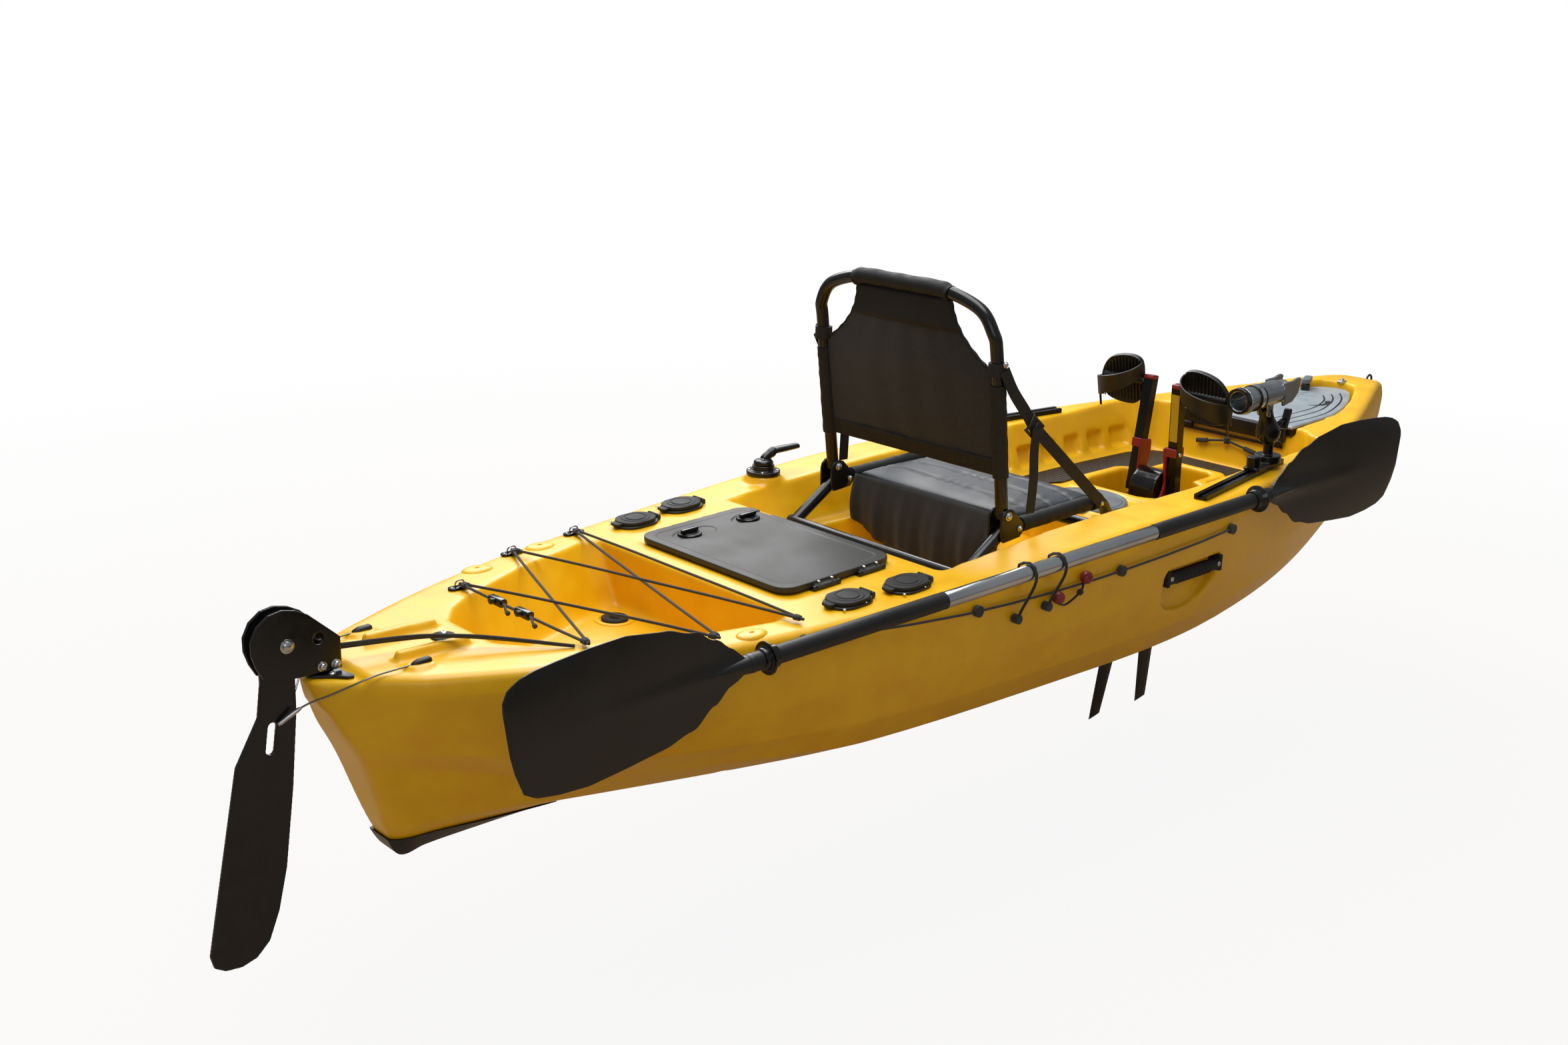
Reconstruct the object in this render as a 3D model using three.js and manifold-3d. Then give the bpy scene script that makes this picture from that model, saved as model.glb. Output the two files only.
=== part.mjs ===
// Sit-on-top pedal kayak: rotomoulded hull with its rudder, seat, pedal drive, hatches and deck gear.
// Millimetres. +X points to the bow, +Y to port, +Z up. The origin is on the flat of the bottom, amidships.
import * as THREE from 'three';
import { mergeVertices } from 'three/addons/utils/BufferGeometryUtils.js';
import Module from 'manifold-3d';

const wasm = await Module();
wasm.setup();

// Driving dimensions of the hull
const hull_beam = 842;            // greatest beam, at the gunwale amidships
const stern_length = 1600;        // origin to the stern nose
const bow_length = 1590;          // origin to the stem
const sheer_height = 380;         // gunwale top above the flat bottom, amidships
const wall = 6;                   // moulded wall
const seat_gap = 0.3;             // gap left between pieces that touch
const overrun = 20;               // how far every cut runs past the face that it opens

// Driving dimensions of the cockpit and wells
const gunwale_width = 118;
const seat_floor_height = 180;
const ledge_height = 286;
const foot_floor_height = 270;
const tank_floor_height = 226;
const platform_front_share = -0.3075;   // platform behind the seat, in shares of the stern's length
const platform_back_share = -0.52625;
const seat_well_front = 246;
const foot_step = 30;             // slope from the ledges down to the footwell's floor
const bulkhead_x = 872;           // foot of the front bulkhead
const bulkhead_lean = 26;
const bulkhead_drop = 12;         // top of the bulkhead under the gunwale
const well_corner = 14;
const well_floor_height = 110;    // floor of the drive well
const well_half = 116;
const well_nose_half = 60;
const well_radius = 70;
const well_chamfer = 20;
const well_back = 438;
const well_shoulder = 655;
const well_cheek = 30;
const well_front = 752;
const well_rim_width = 25;
const well_rim_height = 283;
const slot_back = 455;
const slot_front = 700;
const slot_half = 40;

// Finishes
const finish = {
  hull: new THREE.MeshStandardMaterial({ color: 0xf2b90c, roughness: 0.42, metalness: 0 }),
  plastic: new THREE.MeshStandardMaterial({ color: 0x16161a, roughness: 0.5, metalness: 0 }),
  rubber: new THREE.MeshStandardMaterial({ color: 0x101012, roughness: 0.8, metalness: 0 }),
  fabric: new THREE.MeshStandardMaterial({ color: 0x1c2026, roughness: 0.9, metalness: 0 }),
  tube: new THREE.MeshStandardMaterial({ color: 0x1a1a1c, roughness: 0.4, metalness: 0.6 }),
  alloy: new THREE.MeshStandardMaterial({ color: 0xb9bdc6, roughness: 0.3, metalness: 1 }),
  red: new THREE.MeshStandardMaterial({ color: 0x7a1417, roughness: 0.35, metalness: 0.5 }),
  steel: new THREE.MeshStandardMaterial({ color: 0x9a9a98, roughness: 0.35, metalness: 1 }),
  cord: new THREE.MeshStandardMaterial({ color: 0x0c0c0e, roughness: 0.9, metalness: 0 }),
};

const kayak = new THREE.Group();

// Solids: joining and cutting
function solid(geometry) {
  const bare = geometry.index ? geometry.toNonIndexed() : geometry;
  for (const name of Object.keys(bare.attributes)) if (name !== 'position') bare.deleteAttribute(name);
  const merged = mergeVertices(bare, 1e-3);
  return new wasm.Manifold(new wasm.Mesh({
    numProp: 3,
    vertProperties: Float32Array.from(merged.attributes.position.array),
    triVerts: Uint32Array.from(merged.index.array),
  }));
}

function join(first, ...others) {
  return others.reduce((whole, piece) => whole.add(piece), first);
}

function cut(first, ...others) {
  return others.reduce((whole, piece) => whole.subtract(piece), first);
}

// Crumbs that a cut leaves behind, of no size, are dropped and flat faces get their fewest triangles
const crumb = 0.05;
function add(name, shape, material) {
  const pieces = shape.simplify(crumb).decompose();
  const clean = pieces.filter((piece) => Math.abs(piece.volume()) > crumb);
  const mesh_data = join(...clean).getMesh();
  const geometry = new THREE.BufferGeometry();
  geometry.setAttribute('position', new THREE.BufferAttribute(Float32Array.from(mesh_data.vertProperties),
    3));
  geometry.setIndex(new THREE.BufferAttribute(Uint32Array.from(mesh_data.triVerts), 1));
  geometry.computeVertexNormals();
  const mesh = new THREE.Mesh(geometry, material);
  mesh.name = name;
  kayak.add(mesh);
  return shape;
}

// A smooth curve through a table of [place, value] rows
function curve(rows) {
  const slope = rows.map((row, i) => {
    const back = rows[Math.max(i - 1, 0)];
    const ahead = rows[Math.min(i + 1, rows.length - 1)];
    return (ahead[1] - back[1]) / (ahead[0] - back[0]);
  });
  return (x) => {
    let i = rows.findIndex((row) => row[0] > x) - 1;
    if (i === -2) i = rows.length - 2;
    i = Math.max(i, 0);
    const span = rows[i + 1][0] - rows[i][0];
    const t = Math.min(Math.max((x - rows[i][0]) / span, 0), 1);
    const t2 = t * t;
    const t3 = t2 * t;
    return (2 * t3 - 3 * t2 + 1) * rows[i][1] + (t3 - 2 * t2 + t) * span * slope[i]
      + (3 * t2 - 2 * t3) * rows[i + 1][1] + (t3 - t2) * span * slope[i + 1];
  };
}

// A closed solid lofted through rings of points, with both ends capped
function loft(rings) {
  const count = rings[0].length;
  const points = rings.flat();
  const index = [];
  for (let i = 0; i + 1 < rings.length; i += 1) {
    for (let j = 0; j < count; j += 1) {
      const a = i * count + j;
      const b = i * count + ((j + 1) % count);
      index.push(a, b, a + count, b, b + count, a + count);
    }
  }
  const caps = [[0, 1], [rings.length - 1, -1]];
  for (const [ring, turn] of caps) {
    const centre = new THREE.Vector3();
    for (const point of rings[ring]) centre.add(point);
    centre.divideScalar(count);
    points.push(centre);
    for (let j = 0; j < count; j += 1) {
      const a = ring * count + j;
      const b = ring * count + ((j + 1) % count);
      if (turn > 0) index.push(a, points.length - 1, b);
      else index.push(a, b, points.length - 1);
    }
  }
  const geometry = new THREE.BufferGeometry().setFromPoints(points);
  geometry.setIndex(index);
  const body = solid(geometry);
  if (body.volume() > 0) return body;
  index.reverse();
  geometry.setIndex(index);
  return solid(geometry);
}

// Plan outlines extruded upwards, side outlines extruded across the boat
function outline(points) {
  return new THREE.Shape(points.map(([a, b]) => new THREE.Vector2(a, b)));
}

function upright(shape, bottom, top, steps = 3) {
  const geometry = new THREE.ExtrudeGeometry(shape, { depth: top - bottom, bevelEnabled: false,
    curveSegments: steps });
  return solid(geometry.translate(0, 0, bottom));
}

function across(shape, right, left, steps = 3) {
  const geometry = new THREE.ExtrudeGeometry(shape, { depth: left - right, bevelEnabled: false,
    curveSegments: steps });
  return solid(geometry.rotateX(Math.PI / 2).translate(0, left, 0));
}

function rounded(length, width, radius) {
  const x = length / 2;
  const y = width / 2;
  const shape = new THREE.Shape();
  shape.moveTo(-x + radius, -y);
  shape.lineTo(x - radius, -y);
  shape.absarc(x - radius, -y + radius, radius, -Math.PI / 2, 0);
  shape.lineTo(x, y - radius);
  shape.absarc(x - radius, y - radius, radius, 0, Math.PI / 2);
  shape.lineTo(-x + radius, y);
  shape.absarc(-x + radius, y - radius, radius, Math.PI / 2, Math.PI);
  shape.lineTo(-x, -y + radius);
  shape.absarc(-x + radius, -y + radius, radius, Math.PI, Math.PI * 1.5);
  return shape;
}

function box(low, high) {
  const size = high.map((value, i) => value - low[i]);
  const middle = high.map((value, i) => (value + low[i]) / 2);
  return solid(new THREE.BoxGeometry(...size).translate(...middle));
}

// A straight round bar between two points
function bar(from, to, radius, sides = 8, end_radius = radius) {
  const a = new THREE.Vector3(...from);
  const b = new THREE.Vector3(...to);
  const geometry = new THREE.CylinderGeometry(end_radius, radius, a.distanceTo(b), sides);
  const turn = new THREE.Quaternion().setFromUnitVectors(new THREE.Vector3(0, 1, 0),
    b.clone().sub(a).normalize());
  geometry.applyQuaternion(turn);
  return solid(geometry.translate(...a.add(b).divideScalar(2).toArray()));
}

// A round tube along a smooth line of points
function along(points, radius, steps, sides = 6) {
  const path = new THREE.CatmullRomCurve3(points.map((point) => new THREE.Vector3(...point)), false,
    'centripetal');
  const section = new THREE.Shape();
  for (let i = 0; i < sides; i += 1) {
    const angle = (2 * Math.PI * i) / sides;
    const place = [radius * Math.cos(angle), radius * Math.sin(angle)];
    if (i === 0) section.moveTo(...place);
    else section.lineTo(...place);
  }
  return solid(new THREE.ExtrudeGeometry(section, { steps, extrudePath: path, bevelEnabled: false }));
}

function disc(centre, radius, bottom, top, sides = 20) {
  return bar([centre[0], centre[1], bottom], [centre[0], centre[1], top], radius, sides);
}

function moved(shape, x, y, z) {
  return shape.translate([x, y, z]);
}

function mirrored(shape) {
  return shape.mirror([0, 1, 0]);
}

// Hull form: half breadth at the gunwale, gunwale height, keel height, flat of the bottom and chine,
// each along the length. Shares are of the half beam, of the gunwale height and of the two lengths.
const half_beam = hull_beam / 2;
const place_at = (share) => (share < 0 ? share * stern_length : share * bow_length);
const shares_along = (rows, unit) => curve(rows.map(([share, value]) => [place_at(share), value * unit]));
const breadth_shares = [[-1, 0.02], [-0.9975, 0.045], [-0.9925, 0.068], [-0.985, 0.095], [-0.975, 0.133],
  [-0.963, 0.182], [-0.95, 0.233], [-0.931, 0.295], [-0.915, 0.34],
  [-0.78, 0.585], [-0.628, 0.782], [-0.387, 0.931], [-0.19, 0.985], [-0.03, 1], [0.12, 0.997], [0.2, 0.975],
  [0.323, 0.912], [0.43, 0.84], [0.56, 0.71], [0.69, 0.545], [0.83, 0.333], [0.911, 0.205], [0.965, 0.118],
  [0.99, 0.062], [1, 0.018]];
const sheer_shares = [[-1, 0.884], [-0.975, 0.9], [-0.915, 0.906], [-0.63, 0.9], [-0.388, 0.926], [-0.08,
  0.995],
  [0.19, 1.01], [0.38, 1.022], [0.57, 1.043], [0.755, 1.068], [0.9, 1.1], [0.96, 1.075], [0.99, 0.98], [1,
    0.9]];
const keel_shares = [[-1, 0.865], [-0.992, 0.77], [-0.985, 0.73], [-0.976, 0.64], [-0.956, 0.466], [-0.93,
  0.134],
  [-0.9125, 0.005], [-0.88, 0], [-0.3, 0], [0.19, 0], [0.25, 0], [0.5, 0.012], [0.7, 0.05], [0.84, 0.11],
    [0.9, 0.155],
  [0.95, 0.25], [0.98, 0.4], [0.992, 0.55], [1, 0.72]];
const flat_shares = [[-1, 0.02], [-0.985, 0.09], [-0.95, 0.1], [-0.915, 0.05], [-0.85, 0.03], [-0.7, 0.05],
  [-0.5, 0.17], [-0.25, 0.3], [0.2, 0.3], [0.45, 0.2], [0.65, 0.1], [0.85, 0.035], [1, 0.008]];
const chine_breadth_shares = [[-1, 0.03], [-0.985, 0.12], [-0.956, 0.15], [-0.91, 0.17], [-0.82, 0.25],
  [-0.69, 0.4], [-0.5, 0.655], [-0.42, 0.72], [-0.15, 0.72], [0.16, 0.72], [0.35, 0.67], [0.54, 0.53],
  [0.73, 0.35], [0.88, 0.16], [0.96, 0.06], [1, 0.012]];
const chine_height_shares = [[-1, 0.873], [-0.985, 0.755], [-0.956, 0.52], [-0.93, 0.46], [-0.88, 0.4],
  [-0.8, 0.31],
  [-0.69, 0.225], [-0.5, 0.2], [-0.42, 0.185], [-0.15, 0.135], [0.16, 0.12], [0.35, 0.165], [0.54, 0.22],
  [0.73, 0.36], [0.88, 0.5], [0.96, 0.6], [0.99, 0.7], [1, 0.78]];
const breadth = shares_along(breadth_shares, half_beam);
const sheer = shares_along(sheer_shares, sheer_height);
const keel = shares_along(keel_shares, sheer_height);
const flat = shares_along(flat_shares, half_beam);
const chine_breadth = shares_along(chine_breadth_shares, half_beam);
const chine_height = shares_along(chine_height_shares, sheer_height);
const station_shares = [-1, -0.9975, -0.9925, -0.985, -0.972, -0.956, -0.935, -0.9125, -0.87, -0.8, -0.7,
  -0.6, -0.5,
  -0.4, -0.3, -0.21, -0.12, 0.06, 0.17, 0.28, 0.38, 0.48, 0.58, 0.68, 0.77, 0.85, 0.91, 0.95, 0.975, 0.99,
    1];

// Half of one section, from the flat of the bottom up to the gunwale top. Grow moves it outwards.
function half_section(x, grow) {
  const b = Math.max(breadth(x) + grow, 1);
  const s = sheer(x) + grow;
  const k = keel(x) - grow;
  const f = Math.max(Math.min(flat(x), b * 0.9), 0.5);
  const c = Math.max(Math.min(chine_breadth(x) + grow * 0.6, b * 0.96), f + 0.2);
  const h = Math.min(Math.max(chine_height(x) - grow * 0.8, k + 0.5), s - 2);
  const roll = Math.min(18, b * 0.4, (s - h) * 0.3);
  const side = b - c;
  const rise = s - h;
  return [
    [f, k],
    [f + (c - f) * 0.6, k + (h - k) * 0.38],
    [c, h],
    [c + side * 0.52, h + rise * 0.22],
    [c + side * 0.85, h + rise * 0.5],
    [b, s - roll - rise * 0.08],
    [b - roll * 0.3, s - roll * 0.35],
    [b - roll, s],
  ];
}

function hull_form(grow) {
  const shrink = 1 + grow / bow_length;
  const rings = station_shares.map((share) => {
    const x = place_at(share);
    const half = half_section(x, grow);
    const right = half.map(([y, z]) => new THREE.Vector3(x * shrink, -y, z));
    const left = half.map(([y, z]) => new THREE.Vector3(x * shrink, y, z)).reverse();
    return [...right, ...left];
  });
  return loft(rings);
}

// Where the outside of the hull is at a height, for what is fastened to its side
function side_at(x, z) {
  const half = half_section(x, 0);
  for (let i = 1; i < half.length; i += 1) {
    if (half[i][1] >= z) {
      const t = (z - half[i - 1][1]) / (half[i][1] - half[i - 1][1]);
      return half[i - 1][0] + t * (half[i][0] - half[i - 1][0]);
    }
  }
  return half[half.length - 1][0];
}

// A well cut down from the deck: rows of [x, floor height, half floor width, half width at the gunwale]
function trough(rows, grow) {
  const last = rows.length - 1;
  const rings = rows.map(([x, floor, half, top], i) => {
    const end = i === 0 ? -grow : i === last ? grow : 0;
    const gunwale = sheer(x);
    const lean = (top - half) / Math.max(gunwale - floor, wall);
    const z = floor - grow;
    const h = half + grow;
    const up = gunwale + overrun;
    const wide = h + lean * (up - floor);
    const ring = [[-wide, up], [-h, z + well_corner], [-h + well_corner, z], [h - well_corner, z],
      [h, z + well_corner], [wide, up]];
    return ring.map(([y, zz]) => new THREE.Vector3(x + end, y, zz));
  });
  return loft(rings);
}

// Wells along the boat: place, half floor width as a share of the half beam, and margin left inside the
// gunwale's edge as a share of the gunwale's width
const platform_front = place_at(platform_front_share);
const platform_back = place_at(platform_back_share);
const ledge_shares = [[platform_front_share, 0.5891, 0.8475], [-0.275, 0.62233, 0.8814], [-0.125, 0.62233,
  1]];
const ledge_front_shares = [0.62233, 0.94915];
const foot_step_shares = [0.60808, 0.9322];
const foot_shares = [[0.314465, 0.60808, 0.77966], [0.490566, 0.59857, 0.35593]];
const bulkhead_shares = [[-0.77, 0.53682, 0.28814], [0, 0.48694, 0.643]];
const bulkhead_top_shares = [0.47506, 0.792];
const well_row = (x, floor, half_share, margin_share) => (
  [x, floor, half_beam * half_share, breadth(x) - gunwale_width * margin_share]);
const cockpit_rows = [
  ...ledge_shares.map(([place, ...shares]) => well_row(place_at(place), ledge_height, ...shares)),
  well_row(seat_well_front, ledge_height, ...ledge_front_shares),
  well_row(seat_well_front + foot_step, foot_floor_height, ...foot_step_shares),
  ...foot_shares.map(([place, ...shares]) => well_row(place_at(place), foot_floor_height, ...shares)),
  ...bulkhead_shares.map(([place, ...shares]) => well_row(bulkhead_x + place * bulkhead_lean,
    foot_floor_height, ...shares)),
  well_row(bulkhead_x + bulkhead_lean, sheer(bulkhead_x) - bulkhead_drop, ...bulkhead_top_shares),
];
const seat_well = { lip: 12, slope: 60, half: 196, draw: 20, draw_front: 40, flare: 30 };
const seat_rows = [
  [platform_front + seat_well.lip, seat_floor_height, seat_well.half - seat_well.draw,
    seat_well.half + seat_well.draw],
  [platform_front + seat_well.slope, seat_floor_height, seat_well.half, seat_well.half + seat_well.flare],
  [seat_well_front - seat_well.slope, seat_floor_height, seat_well.half, seat_well.half + seat_well.flare],
  [seat_well_front, seat_floor_height, seat_well.half - seat_well.draw_front, seat_well.half],
];
// The tank well: place, floor as a share of the sheer, half widths at floor and deck
const tank_shares = [[-0.8125, 0.8368, 0.1425, 0.1758], [-0.78875, 0.6579, 0.171, 0.2803],
  [-0.759375, 0, 0.2185, 0.361], [-0.64375, 0, 0.399, 0.57], [-0.55125, 0, 0.5273, 0.6698],
  [platform_back_share, 0, 0.513, 0.646]];
const tank_rows = tank_shares.map(([place, floor_share, half_share, top_share]) => (
  [place_at(place), Math.max(sheer_height * floor_share, tank_floor_height), half_beam * half_share,
    half_beam * top_share]));

function keyhole(grow) {
  const shape = new THREE.Shape();
  const back = well_back - grow;
  const wide = well_half + grow;
  const nose = well_nose_half + grow;
  const front = well_front + grow;
  shape.moveTo(back + well_radius, -wide);
  shape.lineTo(well_shoulder - well_cheek, -wide);
  shape.lineTo(well_shoulder + grow, -nose);
  shape.lineTo(front - well_chamfer, -nose);
  shape.lineTo(front, -nose + well_chamfer);
  shape.lineTo(front, nose - well_chamfer);
  shape.lineTo(front - well_chamfer, nose);
  shape.lineTo(well_shoulder + grow, nose);
  shape.lineTo(well_shoulder - well_cheek, wide);
  shape.lineTo(back + well_radius, wide);
  shape.absarc(back + well_radius, wide - well_radius, well_radius, Math.PI / 2, Math.PI);
  shape.lineTo(back, -wide + well_radius);
  shape.absarc(back + well_radius, -wide + well_radius, well_radius, Math.PI, Math.PI * 1.5);
  return shape;
}

// The deck between two stations is a straight facet: its height, and a piece laid on it at a place
const stations = station_shares.map(place_at);
function deck(x) {
  let i = stations.findIndex((station) => station > x) - 1;
  if (i < 0) i = i === -2 ? stations.length - 2 : 0;
  const t = (x - stations[i]) / (stations[i + 1] - stations[i]);
  return sheer(stations[i]) * (1 - t) + sheer(stations[i + 1]) * t;
}

const slope_probe = 30;
function on_deck(shape, x, y, lift = seat_gap) {
  const rise = deck(x + slope_probe) - deck(x - slope_probe);
  const tilt = THREE.MathUtils.radToDeg(Math.atan2(rise, slope_probe + slope_probe));
  return shape.rotate([0, -tilt, 0]).translate([x, y, deck(x) + lift]);
}

function turned(shape, axis, degrees, [x, y, z]) {
  const turn = axis.map((value) => value * degrees);
  return shape.translate([-x, -y, -z]).rotate(turn).translate([x, y, z]);
}

// A piece built along X from the origin, laid from one point to another
function laid(shape, from, to) {
  const run = new THREE.Vector3(...to).sub(new THREE.Vector3(...from)).normalize();
  const heading = THREE.MathUtils.radToDeg(Math.atan2(run.y, run.x));
  const climb = THREE.MathUtils.radToDeg(Math.asin(run.z));
  return shape.rotate([0, -climb, 0]).rotate([0, 0, heading]).translate(from);
}

function ring_of(radius, bore, bottom, top, sides = 20) {
  return cut(disc([0, 0], radius, bottom, top, sides), disc([0, 0], bore, bottom - overrun, top + overrun,
    sides));
}

function sleeve(from, to, radius, bore, sides = 12) {
  const a = new THREE.Vector3(...from);
  const b = new THREE.Vector3(...to);
  const run = b.clone().sub(a).normalize().multiplyScalar(overrun);
  return cut(bar(from, to, radius, sides), bar(a.sub(run).toArray(), b.add(run).toArray(), bore, sides));
}

// Sizes of what is let into the hull
const nose_pad = { height: sheer_height * 0.878947, front: place_at(-0.95625), solid: place_at(-0.975) };
const saddle = { back: place_at(-0.91875), front: place_at(-0.834375), y: 50, half: 9, height: 16 };
const centre_hatch = { x: place_at(-0.410625), length: (platform_front - platform_back) * 0.788571,
  width: 420, corner: 34, frame: 31, frame_side: 45,
  opening_corner: 24, lid: 11, rim: 4, neck: 14, neck_wall: 6, clearance: 1,
  seat_depth: 1.6, seat_margin: 8, seat_side: 34 };
const round_hatch = { x: 318, radius: 98, boss_radius: 118, boss_top: 274, opening_radius: 80, lid: 9,
  plug: 9, room: 6 };
const front_hatch = { back: 890, shoulder: 1085, front: 1392, hinge_lip: 12, half_back: 168,
  half_shoulder: 158, half_front: 44,
  nose: 12, bulge: 24, floor: sheer_height * 0.98421, lid: 26, clearance: 5, lip: 12, lip_drop: 16,
    opening_back: 960, opening_front: 1290,
  opening_half_back: 120, opening_half_front: 56 };
const rod_cup_shares = [[-0.455625, 0.79386], [-0.374375, 0.80396]];
const rod_cups = rod_cup_shares.map(([place, side]) => [place_at(place), breadth(place_at(place)) * side]);
const rod_cup = { bore: 20.5, wall: 3, length: 190, lean: 0.42, tilt_out: 0.1, flange_length: 94,
  flange_width: 70,
  flange: 5, cap: 7, cap_margin: 5, pin: 3.6, pin_half: 13, ear: 5, clearance: 1 };
const scupper = { radius: 17, rise: 62 };
const scupper_places = [[place_at(-0.55875), 150], [place_at(-0.55875), -150], [place_at(-0.2375), 120],
  [place_at(-0.2375), -120]];
const lever_place = place_at(-0.2225);
const lever_boss = { x: lever_place, y: breadth(lever_place) * 0.8226, foot: 46, top_radius: 38,
  top: deck(lever_place) + 13.5 };
const rib = { spacing: 72, half: 12, height: 10, margin: 66, count: 5 };

function front_outline(grow, h = front_hatch) {
  const shape = new THREE.Shape();
  const back = h.back - grow;
  const front = h.front + grow;
  const wide = h.half_back + grow;
  const shoulder = h.half_shoulder + grow;
  const tip = h.half_front + grow / 2;
  const bend = (h.shoulder + front) / 2;
  const bulge = (shoulder + tip) / 2 + h.bulge;
  shape.moveTo(back, -wide);
  shape.lineTo(h.shoulder, -shoulder);
  shape.quadraticCurveTo(bend, -bulge, front - h.nose, -tip);
  shape.quadraticCurveTo(front + h.nose, 0, front - h.nose, tip);
  shape.quadraticCurveTo(bend, bulge, h.shoulder, shoulder);
  shape.lineTo(back, wide);
  return shape;
}

function rod_axis([x, y]) {
  const side = Math.sign(y);
  const length = rod_cup.length;
  return [[x, y, deck(x)], [x + length * rod_cup.lean, y - side * length * rod_cup.tilt_out,
    deck(x) - length]];
}

function along_axis([top, foot], from, to, radius, sides) {
  const a = new THREE.Vector3(...top);
  const run = new THREE.Vector3(...foot).sub(a).normalize();
  const p = a.clone().addScaledVector(run, from).toArray();
  const q = a.clone().addScaledVector(run, to).toArray();
  return bar(p, q, radius, sides);
}

// Carry handle pockets in the sides
const pocket = { x: 160, half: 96, middle: sheer_height * 0.6105, top: sheer_height * 0.7053, depth: 52,
  drop: 71 };

function pocket_cut(grow) {
  const shape = new THREE.Shape();
  const half = pocket.half + grow;
  shape.moveTo(pocket.x + half, pocket.top + grow);
  shape.lineTo(pocket.x - half, pocket.top + grow);
  shape.lineTo(pocket.x - half, pocket.middle);
  shape.absellipse(pocket.x, pocket.middle, half, pocket.drop + grow, Math.PI, Math.PI * 2);
  const out = half_beam + overrun;
  return across(shape, half_beam - pocket.depth - grow, out, 6);
}

function recesses(grow) {
  const down = -overrun;
  const h = front_hatch;
  const c = centre_hatch;
  const pieces = [
    trough(cockpit_rows, grow),
    trough(seat_rows, grow),
    trough(tank_rows, grow),
    upright(keyhole(grow), well_floor_height - grow, sheer_height, 6),
    box([slot_back - grow, -slot_half - grow, down], [slot_front + grow, slot_half + grow, sheer_height]),
    pocket_cut(grow),
    mirrored(pocket_cut(grow)),
    on_deck(upright(rounded(c.length + c.seat_margin + grow + grow, c.width + c.seat_side + grow + grow,
      c.corner), -c.seat_depth - grow, overrun, 3), c.x, 0, 0),
    disc([round_hatch.x, 0], round_hatch.radius + round_hatch.room + grow, round_hatch.boss_top - grow,
      sheer_height),
    upright(front_outline(h.clearance + grow, { ...h, back: bulkhead_x }), h.floor - grow,
      sheer_height + sheer_height, 6),
    box([-stern_length - overrun, -half_beam, nose_pad.height - grow], [nose_pad.front + grow, half_beam,
      sheer_height]),
  ];
  for (const [x, y] of scupper_places) {
    pieces.push(disc([x, y], scupper.radius + grow, down, tank_floor_height + scupper.rise, 12));
  }
  return pieces;
}

// The hull: a moulded shell of one wall, with its wells, boss, rims, ridges and openings
function build_hull() {
  let body = cut(hull_form(0), ...recesses(0));
  const rim = cut(upright(keyhole(well_rim_width), foot_floor_height - wall / 2, well_rim_height, 6),
    upright(keyhole(0), foot_floor_height - wall, well_rim_height + overrun, 6),
    disc([round_hatch.x, 0], round_hatch.radius + round_hatch.room, round_hatch.boss_top, sheer_height));
  const boss = disc([round_hatch.x, 0], round_hatch.boss_radius, seat_floor_height - wall / 2,
    round_hatch.boss_top, 28);
  const b = lever_boss;
  const lever_cone = bar([b.x, b.y, deck(b.x) - wall / 2], [b.x, b.y, b.top], b.foot, 20, b.top_radius);
  body = join(body, rim, boss, lever_cone);
  for (const side of [-1, 1]) {
    const ridge = box([saddle.back, -saddle.half, -wall / 2], [saddle.front, saddle.half, saddle.height]);
    const middle = (saddle.back + saddle.front) / 2;
    body = join(body, on_deck(ridge.translate([-middle, 0, 0]), middle, side * saddle.y, 0));
  }
  for (let i = 0; i < rib.count; i += 1) {
    const y = (i - (rib.count - 1) / 2) * rib.spacing;
    const ends = [platform_front + rib.margin, seat_well_front - rib.margin];
    body = join(body, box([ends[0], y - rib.half, seat_floor_height - wall / 2],
      [ends[1] - (Math.abs(y) < round_hatch.boss_radius ? rib.margin : 0), y + rib.half,
        seat_floor_height + rib.height]));
  }
  const boss_hollow = disc([round_hatch.x, 0], round_hatch.boss_radius - wall,
    seat_floor_height - wall - wall,
    round_hatch.boss_top - wall, 28);
  const hollow = join(cut(hull_form(-wall), ...recesses(wall)),
    cut(boss_hollow, upright(keyhole(wall), 0, sheer_height, 6)));
  const solid_nose = box([-stern_length, -half_beam, 0], [nose_pad.solid, half_beam, sheer_height]);
  body = cut(body, cut(hollow, solid_nose));
  const h = centre_hatch;
  const f = front_hatch;
  const opening = upright(rounded(h.length - h.frame * 2, h.width - h.frame_side * 2, h.opening_corner),
    -wall - overrun, overrun);
  const front_opening = outline([[f.opening_back, -f.opening_half_back], [f.opening_front,
    -f.opening_half_front],
    [f.opening_front, f.opening_half_front], [f.opening_back, f.opening_half_back]]);
  body = cut(body, on_deck(opening, h.x, 0),
    disc([round_hatch.x, 0], round_hatch.opening_radius, round_hatch.boss_top - wall - overrun,
      round_hatch.boss_top + overrun),
    upright(front_opening, f.floor - wall - overrun, f.floor + overrun));
  for (const [x, y] of rod_cups) {
    for (const side of [-1, 1]) {
      const radius = rod_cup.bore + rod_cup.wall + rod_cup.clearance;
      body = cut(body, along_axis(rod_axis([x, side * y]), -overrun, overrun + wall, radius, 16));
    }
  }
  return body;
}

// Keel guard: a wear strip that wraps the foot of the keel under the stern
const keel_guard = { thickness: 4, back: place_at(-0.9375), front: place_at(-0.75),
  back_height: sheer_height * 0.0895,
  front_height: sheer_height * 0.0132, half: 90 };

function build_keel_guard() {
  const g = keel_guard;
  const band = across(outline([[g.back, -overrun], [g.front, -overrun], [g.front, g.front_height],
    [g.back, g.back_height]]), -g.half, g.half);
  return cut(hull_form(g.thickness), hull_form(seat_gap)).intersect(band);
}

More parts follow.
